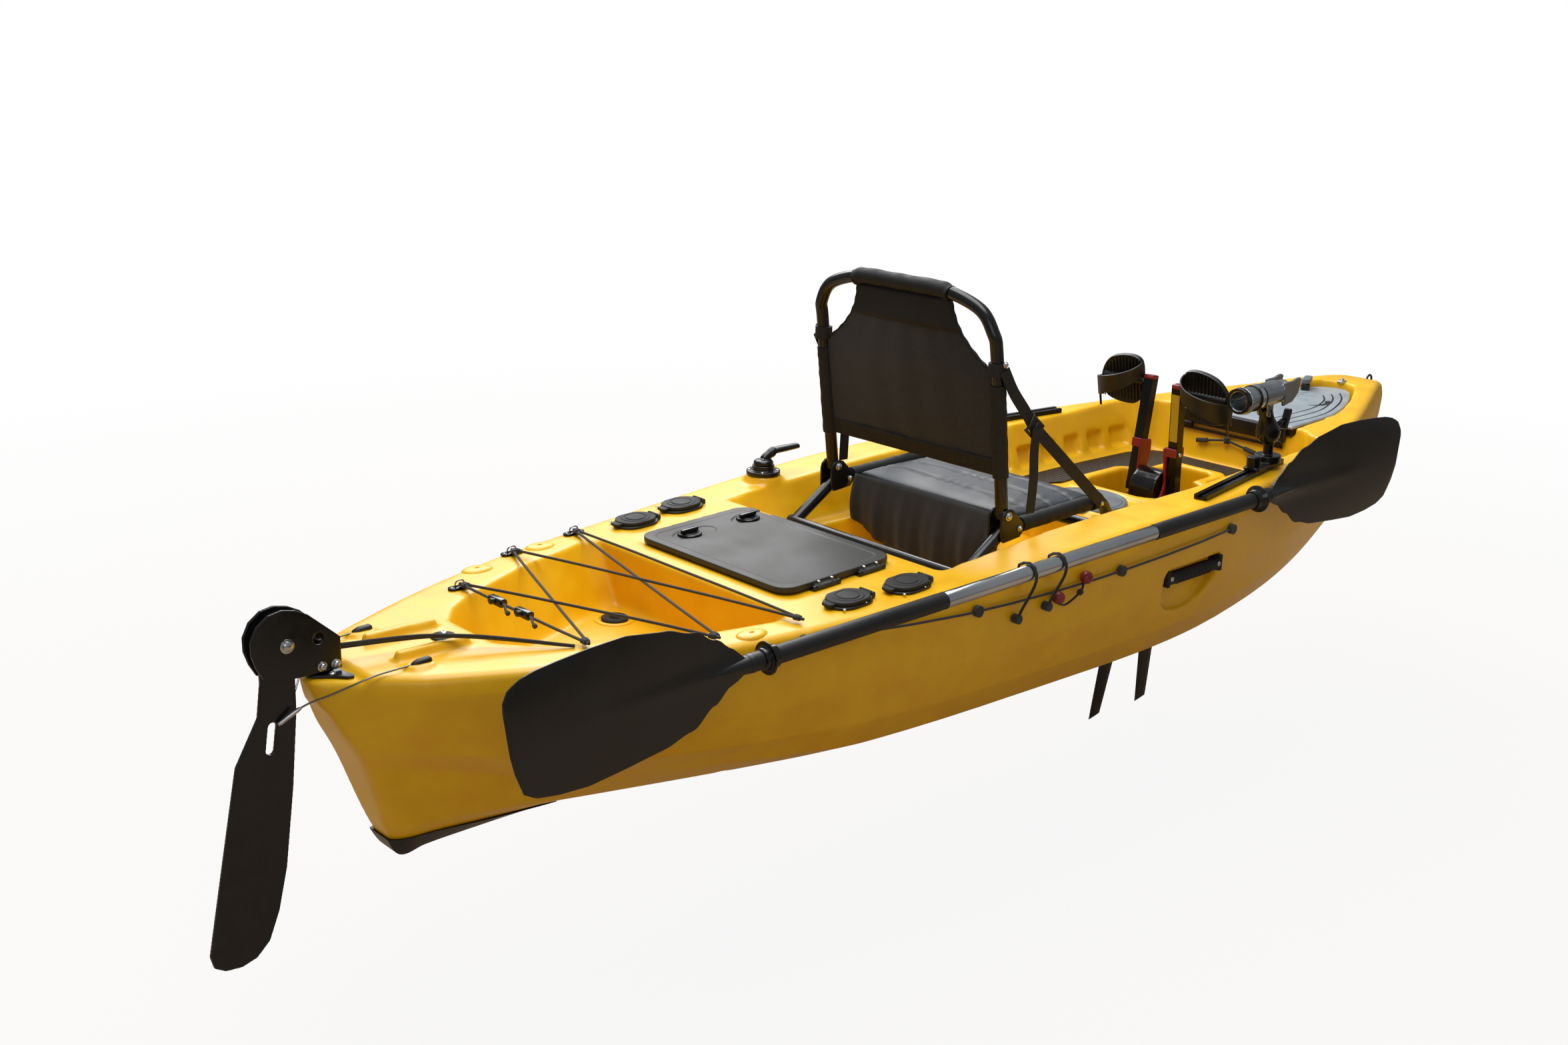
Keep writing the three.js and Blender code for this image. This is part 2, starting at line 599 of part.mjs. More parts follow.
// Rudder: a bracket with a pin on the nose, a head of two cheeks on it, and a blade that kicks up
const rudder = { pin_x: 30 - stern_length, pin: 5, pin_rise: 58, nut: 9, nut_height: 7, plate: 5,
  block_half_length: 16,
  block_rise: 37, block_half: 10.6, cheek: 5, cheek_rise: 8.5, clearance: 0.4, pivot_back: 59,
    pivot_rise: 64,
  pivot: 5, pivot_half: 20, blade_half: 4, hub: 22, head_radius: 45, hole_back: 7, hole: 9.5, slot: 7,
    shim: 0.4,
  bracket_length: 58, bracket_half: 50, cheek_length: 145, cheek_height: 113.5, cheek_front: 29,
  blade_length: 511, blade_width: 172, slot_drop: [128, 166], slot_back: [26, 32], neck: 58 };
const pivot_x = rudder.pin_x - rudder.pivot_back;
const pivot_z = nose_pad.height + rudder.pivot_rise;
const block_top = nose_pad.height + rudder.block_rise;
const bracket_shares = [[-0.414, 0], [-0.345, 0.24], [0.086, 0.6], [0.362, 0.94], [0.517, 1], [0.586,
  0.88], [0.5, 0.4],
  [0.5, 0]];
const cheek_shares = [[-0.4552, 0], [0, 0], [0, 0.4449], [-0.0483, 0.5066], [-0.3517, 0.859], [-0.4897,
  0.9559],
  [-0.6414, 1], [-0.7931, 0.9648], [-0.9241, 0.8414], [-1, 0.6476], [-1, 0.4537], [-0.9517, 0.2599],
  [-0.8759, 0.0837], [-0.6828, 0.0132]];
const blade_shares = [[0.095, 0.1037], [0.085, 0.225], [0.0116, 0.4599], [-0.0988, 0.7162], [-0.1977,
  0.8513],
  [-0.3081, 0.9432], [-0.4419, 0.9863], [-0.5872, 1], [-0.7442, 0.9941], [-0.843, 0.9726], [-0.8721,
    0.9335],
  [-0.6919, 0.6419], [-0.5116, 0.3523], [-0.2791, 0.2133], [-0.2326, 0.1037]];
const neck_shares = [[-0.69, -1], [0.24, -1], [0.6, -0.45], [0, 0.034], [-0.71, -0.31]];

function build_rudder_bracket() {
  const r = rudder;
  const half = bracket_shares.map(([x, y]) => [r.pin_x + x * r.bracket_length, y * r.bracket_half]);
  const other = half.slice(1, -1).map(([x, y]) => [x, -y]).reverse();
  const base = nose_pad.height + seat_gap;
  const plate = upright(outline([...half, ...other]), base, base + r.plate);
  const pin = disc([r.pin_x, 0], r.pin, base, nose_pad.height + r.pin_rise, 12);
  const nut = disc([r.pin_x, 0], r.nut, block_top + r.clearance, block_top + r.nut_height, 12);
  return join(plate, pin, nut);
}

function build_rudder_head() {
  const r = rudder;
  const hole_x = r.pin_x - r.hole_back;
  const cheek_outline = cheek_shares.map(([x, z]) => [r.pin_x + r.cheek_front + x * r.cheek_length,
    nose_pad.height + r.cheek_rise + z * r.cheek_height]);
  const cheek = cut(across(outline(cheek_outline), r.block_half - seat_gap, r.block_half + r.cheek),
    bar([hole_x, 0, pivot_z], [hole_x, r.pivot_half, pivot_z], r.hole, 14));
  const foot = nose_pad.height + seat_gap + r.plate + r.clearance;
  const block = box([r.pin_x - r.block_half_length, -r.block_half, foot], [r.pin_x + r.block_half_length,
    r.block_half, block_top]);
  const bolt = bar([pivot_x, -r.pivot_half, pivot_z], [pivot_x, r.pivot_half, pivot_z], r.pivot, 12);
  const bore = disc([r.pin_x, 0], r.pin + r.clearance, foot - overrun, block_top + overrun, 12);
  return cut(join(block, cheek, mirrored(cheek), bolt), bore);
}

function build_rudder_blade() {
  const r = rudder;
  const at = (x, z, width, length) => [pivot_x + x * width, pivot_z + z * length];
  const plate = across(outline(blade_shares.map(([x, z]) => at(x, -z, r.blade_width, r.blade_length))),
    -r.blade_half, r.blade_half);
  const disc_y = r.block_half - seat_gap - r.shim;
  const round = bar([pivot_x, -r.blade_half, pivot_z], [pivot_x, r.blade_half, pivot_z], r.head_radius, 28);
  const hub = bar([pivot_x, -disc_y, pivot_z], [pivot_x, disc_y, pivot_z], r.hub, 16);
  const neck = across(outline(neck_shares.map(([x, z]) => at(x, z, r.neck, r.neck))), -r.blade_half,
    r.blade_half);
  const bore = bar([pivot_x, -r.pivot_half, pivot_z], [pivot_x, r.pivot_half, pivot_z],
    r.pivot + r.clearance, 12);
  const ends = [0, 1].map((i) => [pivot_x - r.slot_back[i], pivot_z - r.slot_drop[i]]);
  const slot = join(...ends.map(([x, z]) => bar([x, -r.pivot_half, z], [x, r.pivot_half, z], r.slot, 12)),
    across(outline([[ends[0][0] - r.slot, ends[0][1]], [ends[1][0] - r.slot, ends[1][1]],
      [ends[1][0] + r.slot, ends[1][1]], [ends[0][0] + r.slot, ends[0][1]]]), -r.pivot_half, r.pivot_half));
  return cut(join(plate, round, neck, hub), bore, slot);
}

// Steering cables: from a bush on each side of the stern deck, round the nose to the rudder blade
const cable = { radius: 1.6, ferrule: 4, ferrule_length: 20, bush: 6 };
const from_nose = ([x, y, z]) => [x - stern_length, y, z + nose_pad.height];
const cable_points = [[160, -92, 17], [130, -91, 16], [85, -89, 14], [63, -85, 10], [46, -76, 2], [20,
  -50, -16],
  [-10, -20, -36], [-48, -9, -60]];
const cable_route = cable_points.map(from_nose);

function build_cable() {
  const end = cable_route[cable_route.length - 1];
  const before = cable_route[cable_route.length - 2];
  const run = new THREE.Vector3(...before).sub(new THREE.Vector3(...end)).setLength(cable.ferrule_length);
  const head = run.clone().add(new THREE.Vector3(...end)).toArray();
  return join(along(cable_route, cable.radius, 9, 5), bar(end, head, cable.ferrule, 8),
    bar(cable_route[0], [cable_route[0][0] + cable.ferrule_length, cable_route[0][1], cable_route[0][2]],
      cable.bush, 8));
}

// Lift line: two strands of cord from the rudder head to a pad-eye at the tank well
const lift_line = { radius: 3 };
const lift_points = [[64, -3, 41], [160, -28, 38], [215, -52, 35], [280, -95, 29]];
const lift_points_back = [[64, 5, 34], [160, -20, 32], [215, -47, 32], [280, -90, 26]];
const lift_inset = [14, 19];

// Tank well lacing: elastic cord between six pad-eyes, with two adjusters
const pad_eye = { length: 46, width: 18, thick: 4, loop: 9, wire: 3, lift: 9 };
const lacing = { radius: 2.6, adjuster: 7, adjuster_length: 38 };
const pad_eye_shares = { aft: [-0.750625, 0.7205], mid: [-0.6375, 0.9214], fore: [-0.536875, 0.9129] };
const pad_eyes = Object.fromEntries(Object.entries(pad_eye_shares).map(([name, [place, side]]) => (
  [name, [place_at(place), breadth(place_at(place)) * side]])));

function eye_point(name, side) {
  const [x, y] = pad_eyes[name];
  return [x, side * y, deck(x) + pad_eye.lift];
}

function build_lift_line() {
  const [x, y] = pad_eyes.aft;
  const end = [x - lift_inset[0], -(y - lift_inset[1]), deck(x) + lift_line.radius + seat_gap];
  const strands = [lift_points, lift_points_back].map((points) => (
    along([...points.map(from_nose), end], lift_line.radius, 6, 5)));
  return join(...strands);
}

function build_lacing() {
  const e = pad_eye;
  const pieces = [];
  for (const [x, y] of Object.values(pad_eyes)) {
    for (const side of [-1, 1]) {
      const base = upright(rounded(e.length, e.width, e.width / 2 - e.wire / 4), 0, e.thick, 1);
      const arch = [[-e.loop, 0, 0], [-e.loop, 0, e.lift], [0, 0, e.lift + e.wire], [e.loop, 0, e.lift],
        [e.loop, 0, 0]];
      pieces.push(on_deck(join(base, along(arch, e.wire, 4, 4)), x, side * y));
    }
  }
  const runs = [['aft', 1, 'aft', -1], ['aft', 1, 'mid', -1], ['mid', 1, 'aft', -1], ['mid', 1, 'fore', -1],
    ['fore', 1, 'mid', -1], ['fore', 1, 'fore', -1]];
  for (const [a, a_side, b, b_side] of runs) {
    pieces.push(bar(eye_point(a, a_side), eye_point(b, b_side), lacing.radius, 5));
  }
  const [x, y] = pad_eyes.aft;
  const z = deck(x) + e.lift;
  for (const share of [0.28, -0.14]) {
    pieces.push(bar([x, share * y, z], [x, share * y + lacing.adjuster_length, z], lacing.adjuster, 6));
  }
  return join(...pieces);
}

// Centre hatch: a rim in the platform, a lid hinged on its starboard edge, and two turning latches
const hatch_hinge = { radius: 5, half: 24, offset: 8, places: [-44, 69], ear: 9, gap: 0.5 };
const latch = { radius: 24, height: 5, grip_half: 17, grip_width: 9, grip_height: 8, recess: 29,
  recess_depth: 3 };
const latch_places = [[-57, 149], [89, 146]];

function build_hatch_rim() {
  const h = centre_hatch;
  const g = hatch_hinge;
  const opening_length = h.length - h.frame * 2;
  const opening_width = h.width - h.frame_side * 2;
  const inner_length = opening_length - h.neck_wall * 2;
  const inner_width = opening_width - h.neck_wall * 2;
  const plate = upright(rounded(h.length - h.rim - h.rim, h.width - h.rim - h.rim, h.corner), 0, h.rim);
  const neck = upright(rounded(opening_length - h.clearance * 2, opening_width - h.clearance * 2,
    h.opening_corner - h.clearance), -h.neck, h.rim / 2);
  const hole = upright(rounded(inner_length, inner_width, h.opening_corner - h.neck_wall),
    -h.neck - overrun, overrun);
  const y = -h.width / 2 - g.offset;
  const pieces = [plate, neck];
  for (const place of g.places) {
    for (const end of [-1, 1]) {
      const start = place + end * (g.half + g.gap);
      const finish_x = start + end * g.ear;
      pieces.push(bar([start, y, g.radius], [finish_x, y, g.radius], g.radius, 12));
      pieces.push(box([Math.min(start, finish_x), y, 0], [Math.max(start, finish_x),
        y + g.offset + h.neck_wall * 2, h.rim]));
    }
  }
  return on_deck(cut(join(...pieces), hole), h.x, 0, seat_gap - h.seat_depth);
}

function build_hatch_lid() {
  const h = centre_hatch;
  const g = hatch_hinge;
  const base = h.rim + seat_gap;
  const y = -h.width / 2 - g.offset;
  let lid = upright(rounded(h.length, h.width, h.corner), base, base + h.lid, 5);
  for (const place of g.places) {
    lid = join(lid, bar([place - g.half, y, g.radius], [place + g.half, y, g.radius], g.radius, 12),
      box([place - g.half, y, g.radius - g.gap], [place + g.half, y + g.offset + h.neck_wall,
        g.radius + g.radius - g.gap]));
  }
  for (const [x, side_y] of latch_places) {
    lid = cut(lid, disc([x, side_y], latch.recess, base + h.lid - latch.recess_depth,
      base + h.lid + overrun, 20));
  }
  return on_deck(lid, h.x, 0, seat_gap - h.seat_depth);
}

function build_latch([x, y]) {
  const h = centre_hatch;
  const base = h.rim + h.lid + seat_gap - latch.recess_depth + seat_gap;
  const knob = disc([x, y], latch.radius, base, base + latch.height, 20);
  const top = base + latch.height - seat_gap;
  const grip = box([x - latch.grip_half, y - latch.grip_width / 2, top],
    [x + latch.grip_half, y + latch.grip_width / 2, top + latch.grip_height]);
  return on_deck(join(knob, grip), h.x, 0, seat_gap - h.seat_depth);
}

// Flush rod holders: a flanged tube let into the deck and a flip cap
function build_rod_cup([x, y]) {
  const c = rod_cup;
  const flange = upright(rounded(c.flange_length, c.flange_width, c.flange_width / 2 - c.clearance), 0,
    c.flange, 3);
  const above = box([-c.flange_length, -c.flange_length, c.flange], [c.flange_length, c.flange_length,
    c.flange_length]);
  const ears = [];
  const rise = c.flange + c.pin + seat_gap;
  for (const end of [-1, 1]) {
    const inside = end * (c.pin_half + seat_gap);
    const outside = end * (c.pin_half + c.ear);
    const middle = c.flange_length / 2;
    ears.push(bar([middle, inside, rise], [middle, outside, rise], c.pin, 8));
    ears.push(box([middle - c.flange, Math.min(inside, outside), 0], [middle + c.pin, Math.max(inside,
      outside), rise]));
  }
  const axis = rod_axis([x, y]);
  const tube = along_axis(axis, 0, c.length, c.bore + c.wall, 12);
  const bore = along_axis(axis, -overrun, c.length - c.wall, c.bore, 12);
  return cut(join(cut(join(on_deck(flange, x, y), tube), on_deck(above, x, y)), on_deck(join(...ears), x,
    y)), bore);
}

function build_rod_cap([x, y]) {
  const c = rod_cup;
  const base = c.flange + seat_gap;
  const length = c.flange_length - c.cap_margin - c.cap_margin;
  const width = c.flange_width - c.cap_margin;
  const middle = c.flange_length / 2;
  const cap = upright(rounded(length, width, width / 2 - c.clearance), base, base + c.cap, 3);
  const rise = c.flange + c.pin + seat_gap;
  const barrel = bar([middle, -c.pin_half, rise], [middle, c.pin_half, rise], c.pin, 8);
  const arm = box([middle - c.cap_margin * 2, -c.pin_half, base], [middle, c.pin_half, base + c.pin]);
  return on_deck(join(cap, barrel, arm), x, y);
}

// Steering lever on the port gunwale
const lever = { hub: 24, base: 9, hub_height: 20, cap: 19, cap_height: 10, arm: 7, arm_seat: 2, arm_x: 30,
  arm_rise: 15,
  grip_end: 96, grip_width: 26, grip_height: 13, swing: 40, droop: 4 };

function build_lever_base() {
  const b = lever_boss;
  const base = b.top + seat_gap;
  return join(disc([b.x, b.y], b.top_radius - seat_gap * 5, base, base + lever.base, 24),
    disc([b.x, b.y], lever.hub, base, base + lever.hub_height, 20));
}

function build_lever() {
  const b = lever_boss;
  const base = b.top + seat_gap + lever.hub_height + seat_gap;
  const top = base + lever.cap_height;
  const cap = disc([b.x, b.y], lever.cap, base, top, 20);
  const arm = bar([b.x, b.y, top - lever.arm_seat], [b.x + lever.arm_x, b.y - lever.droop,
    top + lever.arm_rise], lever.arm, 10);
  const grip = upright(rounded(lever.grip_end - lever.arm_x + lever.arm, lever.grip_width,
    lever.grip_height - seat_gap),
    0, lever.grip_height, 4);
  const middle = b.x + (lever.grip_end + lever.arm_x - lever.arm) / 2;
  return join(cap, arm, grip.translate([middle, b.y - lever.droop,
    top + lever.arm_rise - lever.grip_height / 2]));
}

// Seat: a frame of tube on the ledges, a padded seat slung between its rails, and a folding back
const seat = { tube: 12.5, y: 235, rail_back: [-212, 374], rail_front: [60, 380], front: [120],
  back: [-360],
  overhang: 12, pivot_x: -251, pivot_z: 404, clevis_back: -270, clevis_front: -205, clevis_half: 18,
  clevis_bottom: 358, clevis_top: 418, bolt: 4.5, clearance: 0.5, top_z: 830, top_x: -310, shoulder_z: 763,
  shoulder_x: -299, corner_y: 195, corner_z: 801, flat: 100, sides: 10 };
const ledge_seat = ledge_height + seat_gap + seat.tube;

function build_seat_frame() {
  const s = seat;
  const pieces = [];
  for (const side of [-1, 1]) {
    const y = side * s.y;
    const rail = bar([rail_start, y, s.rail_back[1]], [s.rail_front[0], y, s.rail_front[1]], s.tube,
      s.sides);
    const knee = solid(new THREE.SphereGeometry(s.tube, 8, 6)).translate([s.rail_front[0], y,
      s.rail_front[1]]);
    const front_leg = bar([s.rail_front[0], y, s.rail_front[1]], [s.front[0], y, ledge_seat], s.tube,
      s.sides);
    const back_leg = bar([s.clevis_back + s.tube, y, s.clevis_bottom + s.tube], [s.back[0], y,
      ledge_seat], s.tube, s.sides);
    const clevis = box([s.clevis_back, y - s.clevis_half, s.clevis_bottom], [s.clevis_front,
      y + s.clevis_half, s.clevis_top]);
    pieces.push(rail, knee, front_leg, back_leg, clevis);
  }
  for (const x of [s.front[0], s.back[0]]) {
    pieces.push(bar([x, -s.y - s.overhang, ledge_seat], [x, s.y + s.overhang, ledge_seat], s.tube,
      s.sides));
  }
  let frame = join(...pieces);
  for (const side of [-1, 1]) {
    const y = side * s.y;
    const gap = s.tube + s.clearance;
    const room = s.tube + s.clearance + s.clearance;
    const slot = across(outline([
      [s.pivot_x - room, s.pivot_z - room], [s.clevis_front + overrun, s.pivot_z - room],
      [s.clevis_front + overrun, s.clevis_top + overrun], [s.clevis_back - overrun, s.clevis_top + overrun],
      [s.clevis_back - overrun, s.pivot_z], [s.pivot_x - room, s.pivot_z]]), y - gap, y + gap);
    frame = cut(frame, slot);
    frame = join(frame, bar([s.pivot_x, y - s.clevis_half, s.pivot_z], [s.pivot_x, y + s.clevis_half,
      s.pivot_z], s.bolt, 10));
  }
  return frame;
}

const back_rise = (z) => (z - seat.pivot_z) / (seat.shoulder_z - seat.pivot_z);
const back_x = (z) => seat.pivot_x + (seat.shoulder_x - seat.pivot_x) * back_rise(z);
const rail_start = seat.clevis_front - seat.tube;
const rail_z = (x) => seat.rail_back[1]
  + ((seat.rail_front[1] - seat.rail_back[1]) * (x - rail_start)) / (seat.rail_front[0] - rail_start);
const back_middle = (seat.pivot_z + seat.shoulder_z) / 2;
const back_bend = seat.shoulder_z - 40;
const back_tube = [
  [seat.pivot_x, -seat.y, seat.pivot_z], [back_x(back_middle), -seat.y, back_middle], [back_x(back_bend),
    -seat.y, back_bend],
  [seat.shoulder_x - 3, -seat.y + 5, seat.shoulder_z], [seat.shoulder_x - 7, -seat.corner_y,
    seat.corner_z + 4],
  [seat.top_x, -seat.flat, seat.top_z], [seat.top_x, 0, seat.top_z], [seat.top_x, seat.flat, seat.top_z],
  [seat.shoulder_x - 7, seat.corner_y, seat.corner_z + 4], [seat.shoulder_x - 3, seat.y - 5,
    seat.shoulder_z],
  [back_x(back_bend), seat.y, back_bend], [back_x(back_middle), seat.y, back_middle], [seat.pivot_x,
    seat.y, seat.pivot_z]];

function build_back_frame() {
  const s = seat;
  const tube = along(back_tube, s.tube, 36, 10);
  const pieces = [tube];
  for (const side of [-1, 1]) {
    const y = side * s.y;
    pieces.push(bar([s.pivot_x, y - s.tube, s.pivot_z], [s.pivot_x, y + s.tube, s.pivot_z], s.tube, 14));
  }
  let frame = join(...pieces);
  for (const side of [-1, 1]) {
    const y = side * s.y;
    frame = cut(frame, bar([s.pivot_x, y - s.clevis_half, s.pivot_z], [s.pivot_x, y + s.clevis_half,
      s.pivot_z],
      s.bolt + s.clearance, 10));
  }
  return frame;
}

const back_cloth = { bottom: 481, sleeve_top: 664, thick: 3, sleeve: 3, top_half: 125, wing: 150, sag: 14,
  band: 30 };

function build_back_cloth() {
  const s = seat;
  const c = back_cloth;
  const outer = s.tube + s.clearance + c.sleeve;
  const points = back_tube.map((point) => new THREE.Vector3(...point));
  const path = new THREE.CatmullRomCurve3(points, false, 'centripetal');
  const samples = path.getSpacedPoints(104);
  const side_points = samples.filter((p) => p.y < 0 && p.z > c.bottom && p.z < c.sleeve_top);
  const top_points = samples.filter((p) => Math.abs(p.y) < c.top_half && p.z > s.shoulder_z);
  const thin = (list, step) => list.filter((p,
    i) => i % step === 0 || i === list.length - 1).map((p) => p.toArray());
  const side_sleeve = along(thin(side_points, 6), outer, 3, 10);
  const top_sleeve = along(thin(top_points, 3), outer, 6, 10);
  const rows = [[c.bottom, s.y], [c.bottom + c.band, s.y], [560, s.y], [620, s.y], [c.sleeve_top, s.y],
    [705, c.wing + 32], [735, c.wing + 4], [770, c.top_half + 2], [s.top_z, c.top_half]];
  const columns = 6;
  const front = [];
  const back = [];
  rows.forEach(([z, half]) => {
    for (let i = 0; i <= columns; i += 1) {
      const share = (2 * i) / columns - 1;
      const height_share = (z - c.bottom) / (s.top_z - c.bottom);
      const belly = c.sag * (1 - share * share) * Math.sin(Math.PI * height_share);
      const x = back_x(z) - belly;
      front.push([x + c.thick / 2, share * half, z]);
      back.push([x - c.thick / 2, share * half, z]);
    }
  });
  const sheet = sheet_of(front, back, columns + 1);
  const bore = along(back_tube, s.tube + s.clearance, 36, 10);
  return cut(join(sheet, side_sleeve, mirrored(side_sleeve), top_sleeve), bore);
}

// A closed sheet between a front and a back grid of points
function sheet_of(front, back, columns) {
  const rows = front.length / columns;
  const points = [...front, ...back].map((point) => new THREE.Vector3(...point));
  const index = [];
  const quad = (a, b, c, d) => index.push(a, b, c, a, c, d);
  const far = front.length;
  for (let r = 0; r + 1 < rows; r += 1) {
    for (let c = 0; c + 1 < columns; c += 1) {
      const a = r * columns + c;
      quad(a, a + 1, a + 1 + columns, a + columns);
      quad(far + a, far + a + columns, far + a + 1 + columns, far + a + 1);
    }
    const left = r * columns;
    const right = left + columns - 1;
    quad(left, left + columns, far + left + columns, far + left);
    quad(right, far + right, far + right + columns, right + columns);
  }
  const last = (rows - 1) * columns;
  for (let c = 0; c + 1 < columns; c += 1) {
    quad(c, far + c, far + c + 1, c + 1);
    quad(last + c, last + c + 1, far + last + c + 1, far + last + c);
  }
  const geometry = new THREE.BufferGeometry().setFromPoints(points);
  geometry.setIndex(index);
  const body = solid(geometry);
  if (body.volume() > 0) return body;
  index.reverse();
  geometry.setIndex(index);
  return solid(geometry);
}

const cushion = { back: -200, front: 62, half: 216, bottom: 369, top: 390, crown: 8, sleeve_back: -196,
  sleeve_front: 18,
  sleeve: 3, channels: 3, channel_depth: 3.5 };

function build_cushion() {
  const s = seat;
  const c = cushion;
  const steps = 16;
  const columns = 11;
  const front = [];
  const back = [];
  for (let i = 0; i <= steps; i += 1) {
    const t = i / steps;
    const end = Math.sqrt(Math.max(1 - Math.pow(2 * t - 1, 8), 0));
    const x = c.back + (c.front - c.back) * t;
    const wave = Math.pow(Math.abs(Math.sin(Math.PI * (c.channels + 1) * t)), 0.5);
    for (let j = 0; j < columns; j += 1) {
      const u = (2 * j) / (columns - 1) - 1;
      const edge = Math.sqrt(Math.max(1 - Math.pow(u, 10), 0));
      const puff = end * edge;
      const middle = (c.bottom + c.top) / 2;
      const depth = (c.top - c.bottom) / 2;
      const rise = c.crown * (1 - u * u) - c.channel_depth * (1 - wave);
      front.push([x, u * c.half, middle + seat_gap + puff * (depth + rise)]);
      back.push([x, u * c.half, middle - seat_gap - puff * depth]);
    }
  }
  const pad = sheet_of(front, back, columns);
  const rail = (radius, from, to, side) => bar([from, side * s.y, rail_z(from)], [to, side * s.y,
    rail_z(to)], radius, s.sides);
  const outer = s.tube + s.clearance + c.sleeve;
  let body = join(pad, rail(outer, c.sleeve_back, c.sleeve_front, -1), rail(outer, c.sleeve_back,
    c.sleeve_front, 1));
  const web = box([c.sleeve_back, -s.y, s.rail_back[1] - c.sleeve / 2], [c.sleeve_front, s.y,
    s.rail_back[1] + c.sleeve / 2]);
  body = join(body, web);
  for (const side of [-1, 1]) {
    body = cut(body, rail(s.tube + s.clearance, c.sleeve_back - overrun, c.front + overrun, side));
  }
  return body;
}

// Side straps of the seat: webbing from the back frame, through a buckle, to the front of the rail
const strap = { y: 253.5, width: 25, thick: 2.4, loop: 5, loop_gap: 1.4, top: 694, buckle: [-192, 571],
  low: 40,
  buckle_length: 40, buckle_width: 36, buckle_thick: 6 };

function build_strap(side) {
  const s = seat;
  const t = strap;
  const band = (a, b) => {
    const run = new THREE.Vector2(b[0] - a[0], b[1] - a[1]).normalize().multiplyScalar(t.width / 2);
    return across(outline([[a[0] - run.y, a[1] + run.x], [a[0] + run.y, a[1] - run.x], [b[0] + run.y,
      b[1] - run.x],
      [b[0] - run.y, b[1] + run.x]]), t.y - t.thick / 2, t.y + t.thick / 2);
  };
  const half = t.width / 2;
  const low_loop = sleeve([t.low - half, s.y, rail_z(t.low - half)], [t.low + half, s.y,
    rail_z(t.low + half)],
    s.tube + s.clearance + t.loop, s.tube + s.clearance);
  const top_loop = sleeve([back_x(t.top - half), s.y, t.top - half], [back_x(t.top + half), s.y,
    t.top + half],
    s.tube + s.clearance + t.loop, s.tube + s.clearance + t.loop_gap);
  const low = [t.low, rail_z(t.low)];
  const run = new THREE.Vector2(low[0] - t.buckle[0], low[1] - t.buckle[1]).normalize();
  const a = [t.buckle[0] - (run.x * t.buckle_length) / 2, t.buckle[1] - (run.y * t.buckle_length) / 2];
  const b = [t.buckle[0] + (run.x * t.buckle_length) / 2, t.buckle[1] + (run.y * t.buckle_length) / 2];
  const wide = new THREE.Vector2(-run.y, run.x).multiplyScalar(t.buckle_width / 2);
  const buckle = across(outline([[a[0] + wide.x, a[1] + wide.y], [a[0] - wide.x, a[1] - wide.y],
    [b[0] - wide.x, b[1] - wide.y], [b[0] + wide.x, b[1] + wide.y]]), t.y - t.buckle_thick / 2,
      t.y + t.buckle_thick / 2);
  const whole = join(band([back_x(t.top), t.top], t.buckle), band(t.buckle, low), buckle, low_loop,
    top_loop);
  return side > 0 ? whole : mirrored(whole);
}

// Round hatch in front of the seat
const round_grip = { half: 56, width: 20, height: 14, ridges: 4 };

function build_round_lid() {
  const h = round_hatch;
  const base = h.boss_top + seat_gap;
  const plug = ring_of(h.opening_radius - seat_gap * 4, h.opening_radius - h.plug, -h.plug, seat_gap, 20);
  const top = disc([0, 0], h.radius, 0, h.lid, 32);
  const dome = bar([0, 0, h.lid / 2], [0, 0, h.lid + h.lid / 3], h.radius - h.lid, 28,
    h.radius - h.lid * 3);
  const grip = box([-round_grip.half, -round_grip.width / 2, h.lid / 2], [round_grip.half,
    round_grip.width / 2, round_grip.height]);
  return moved(join(top, plug, dome, grip), h.x, 0, base);
}

// Footwell mats
const mat = { thick: 4, back: 294, length: 570, width: 236 };
const mat_shares = [[0, 0.6695], [0, 0.9915], [0.4667, 1], [0.8561, 0.9576], [0.9754, 0.8305], [1,
  0.7203], [1, 0.0042],
  [0.8596, 0.0042], [0.8596, 0.3941], [0.7123, 0.4068], [0.6246, 0.6186], [0.2211, 0.6186], [0.186,
    0.6695]];

function build_mat() {
  const sheet = outline(mat_shares.map(([x, y]) => [mat.back + x * mat.length, y * mat.width]));
  return upright(sheet, foot_floor_height + seat_gap, foot_floor_height + seat_gap + mat.thick);
}

// Pedal drive: housing in the well, two cranks that swing in turn, their pedals, and two fins below
const drive = { x: 582, z: 262, hump: 50, half: 34, floor: 8, flange_half: 56, flange_back: 450,
  flange_front: 712,
  body_back: 520, body_front: 662, spine_half: 26, spine_back: 470, spine_front: 690, foot: 10, axle: 9,
  block_back: 519, block_front: 583, block_half: 13, block_bottom: -34, fin_z: -22, pin: 5, pin_back: 447,
  pin_front: 658, stop: 9, stop_length: 4, rest_swing: 5.65, clearance: 0.5 };
const crank = { bracket_in: 38, bracket: 6, mast_y: 57, mast_half_y: 12, mast_half_x: 11, mast_foot: 8,
  mast_top: 262,
  pedal_z: 246, hub: 21, clamp: 112, lean: 2.85 };
const pedal = { y: 136, half: 64, top: 66, bottom: 66, sole: 15, cup: 56, cup_wall: 5, cup_top: 22,
  cup_bottom: -64,
  hub: 11, axle: 5, gap: 0.6, corner: 26 };
const fin = { back: 485, front: 617, length: 258, chord: 62, tip_chord: 42, thick: 9, sleeve: 10,
  sleeve_half: 33,
  rake_back: -62, rake_front: -12 };

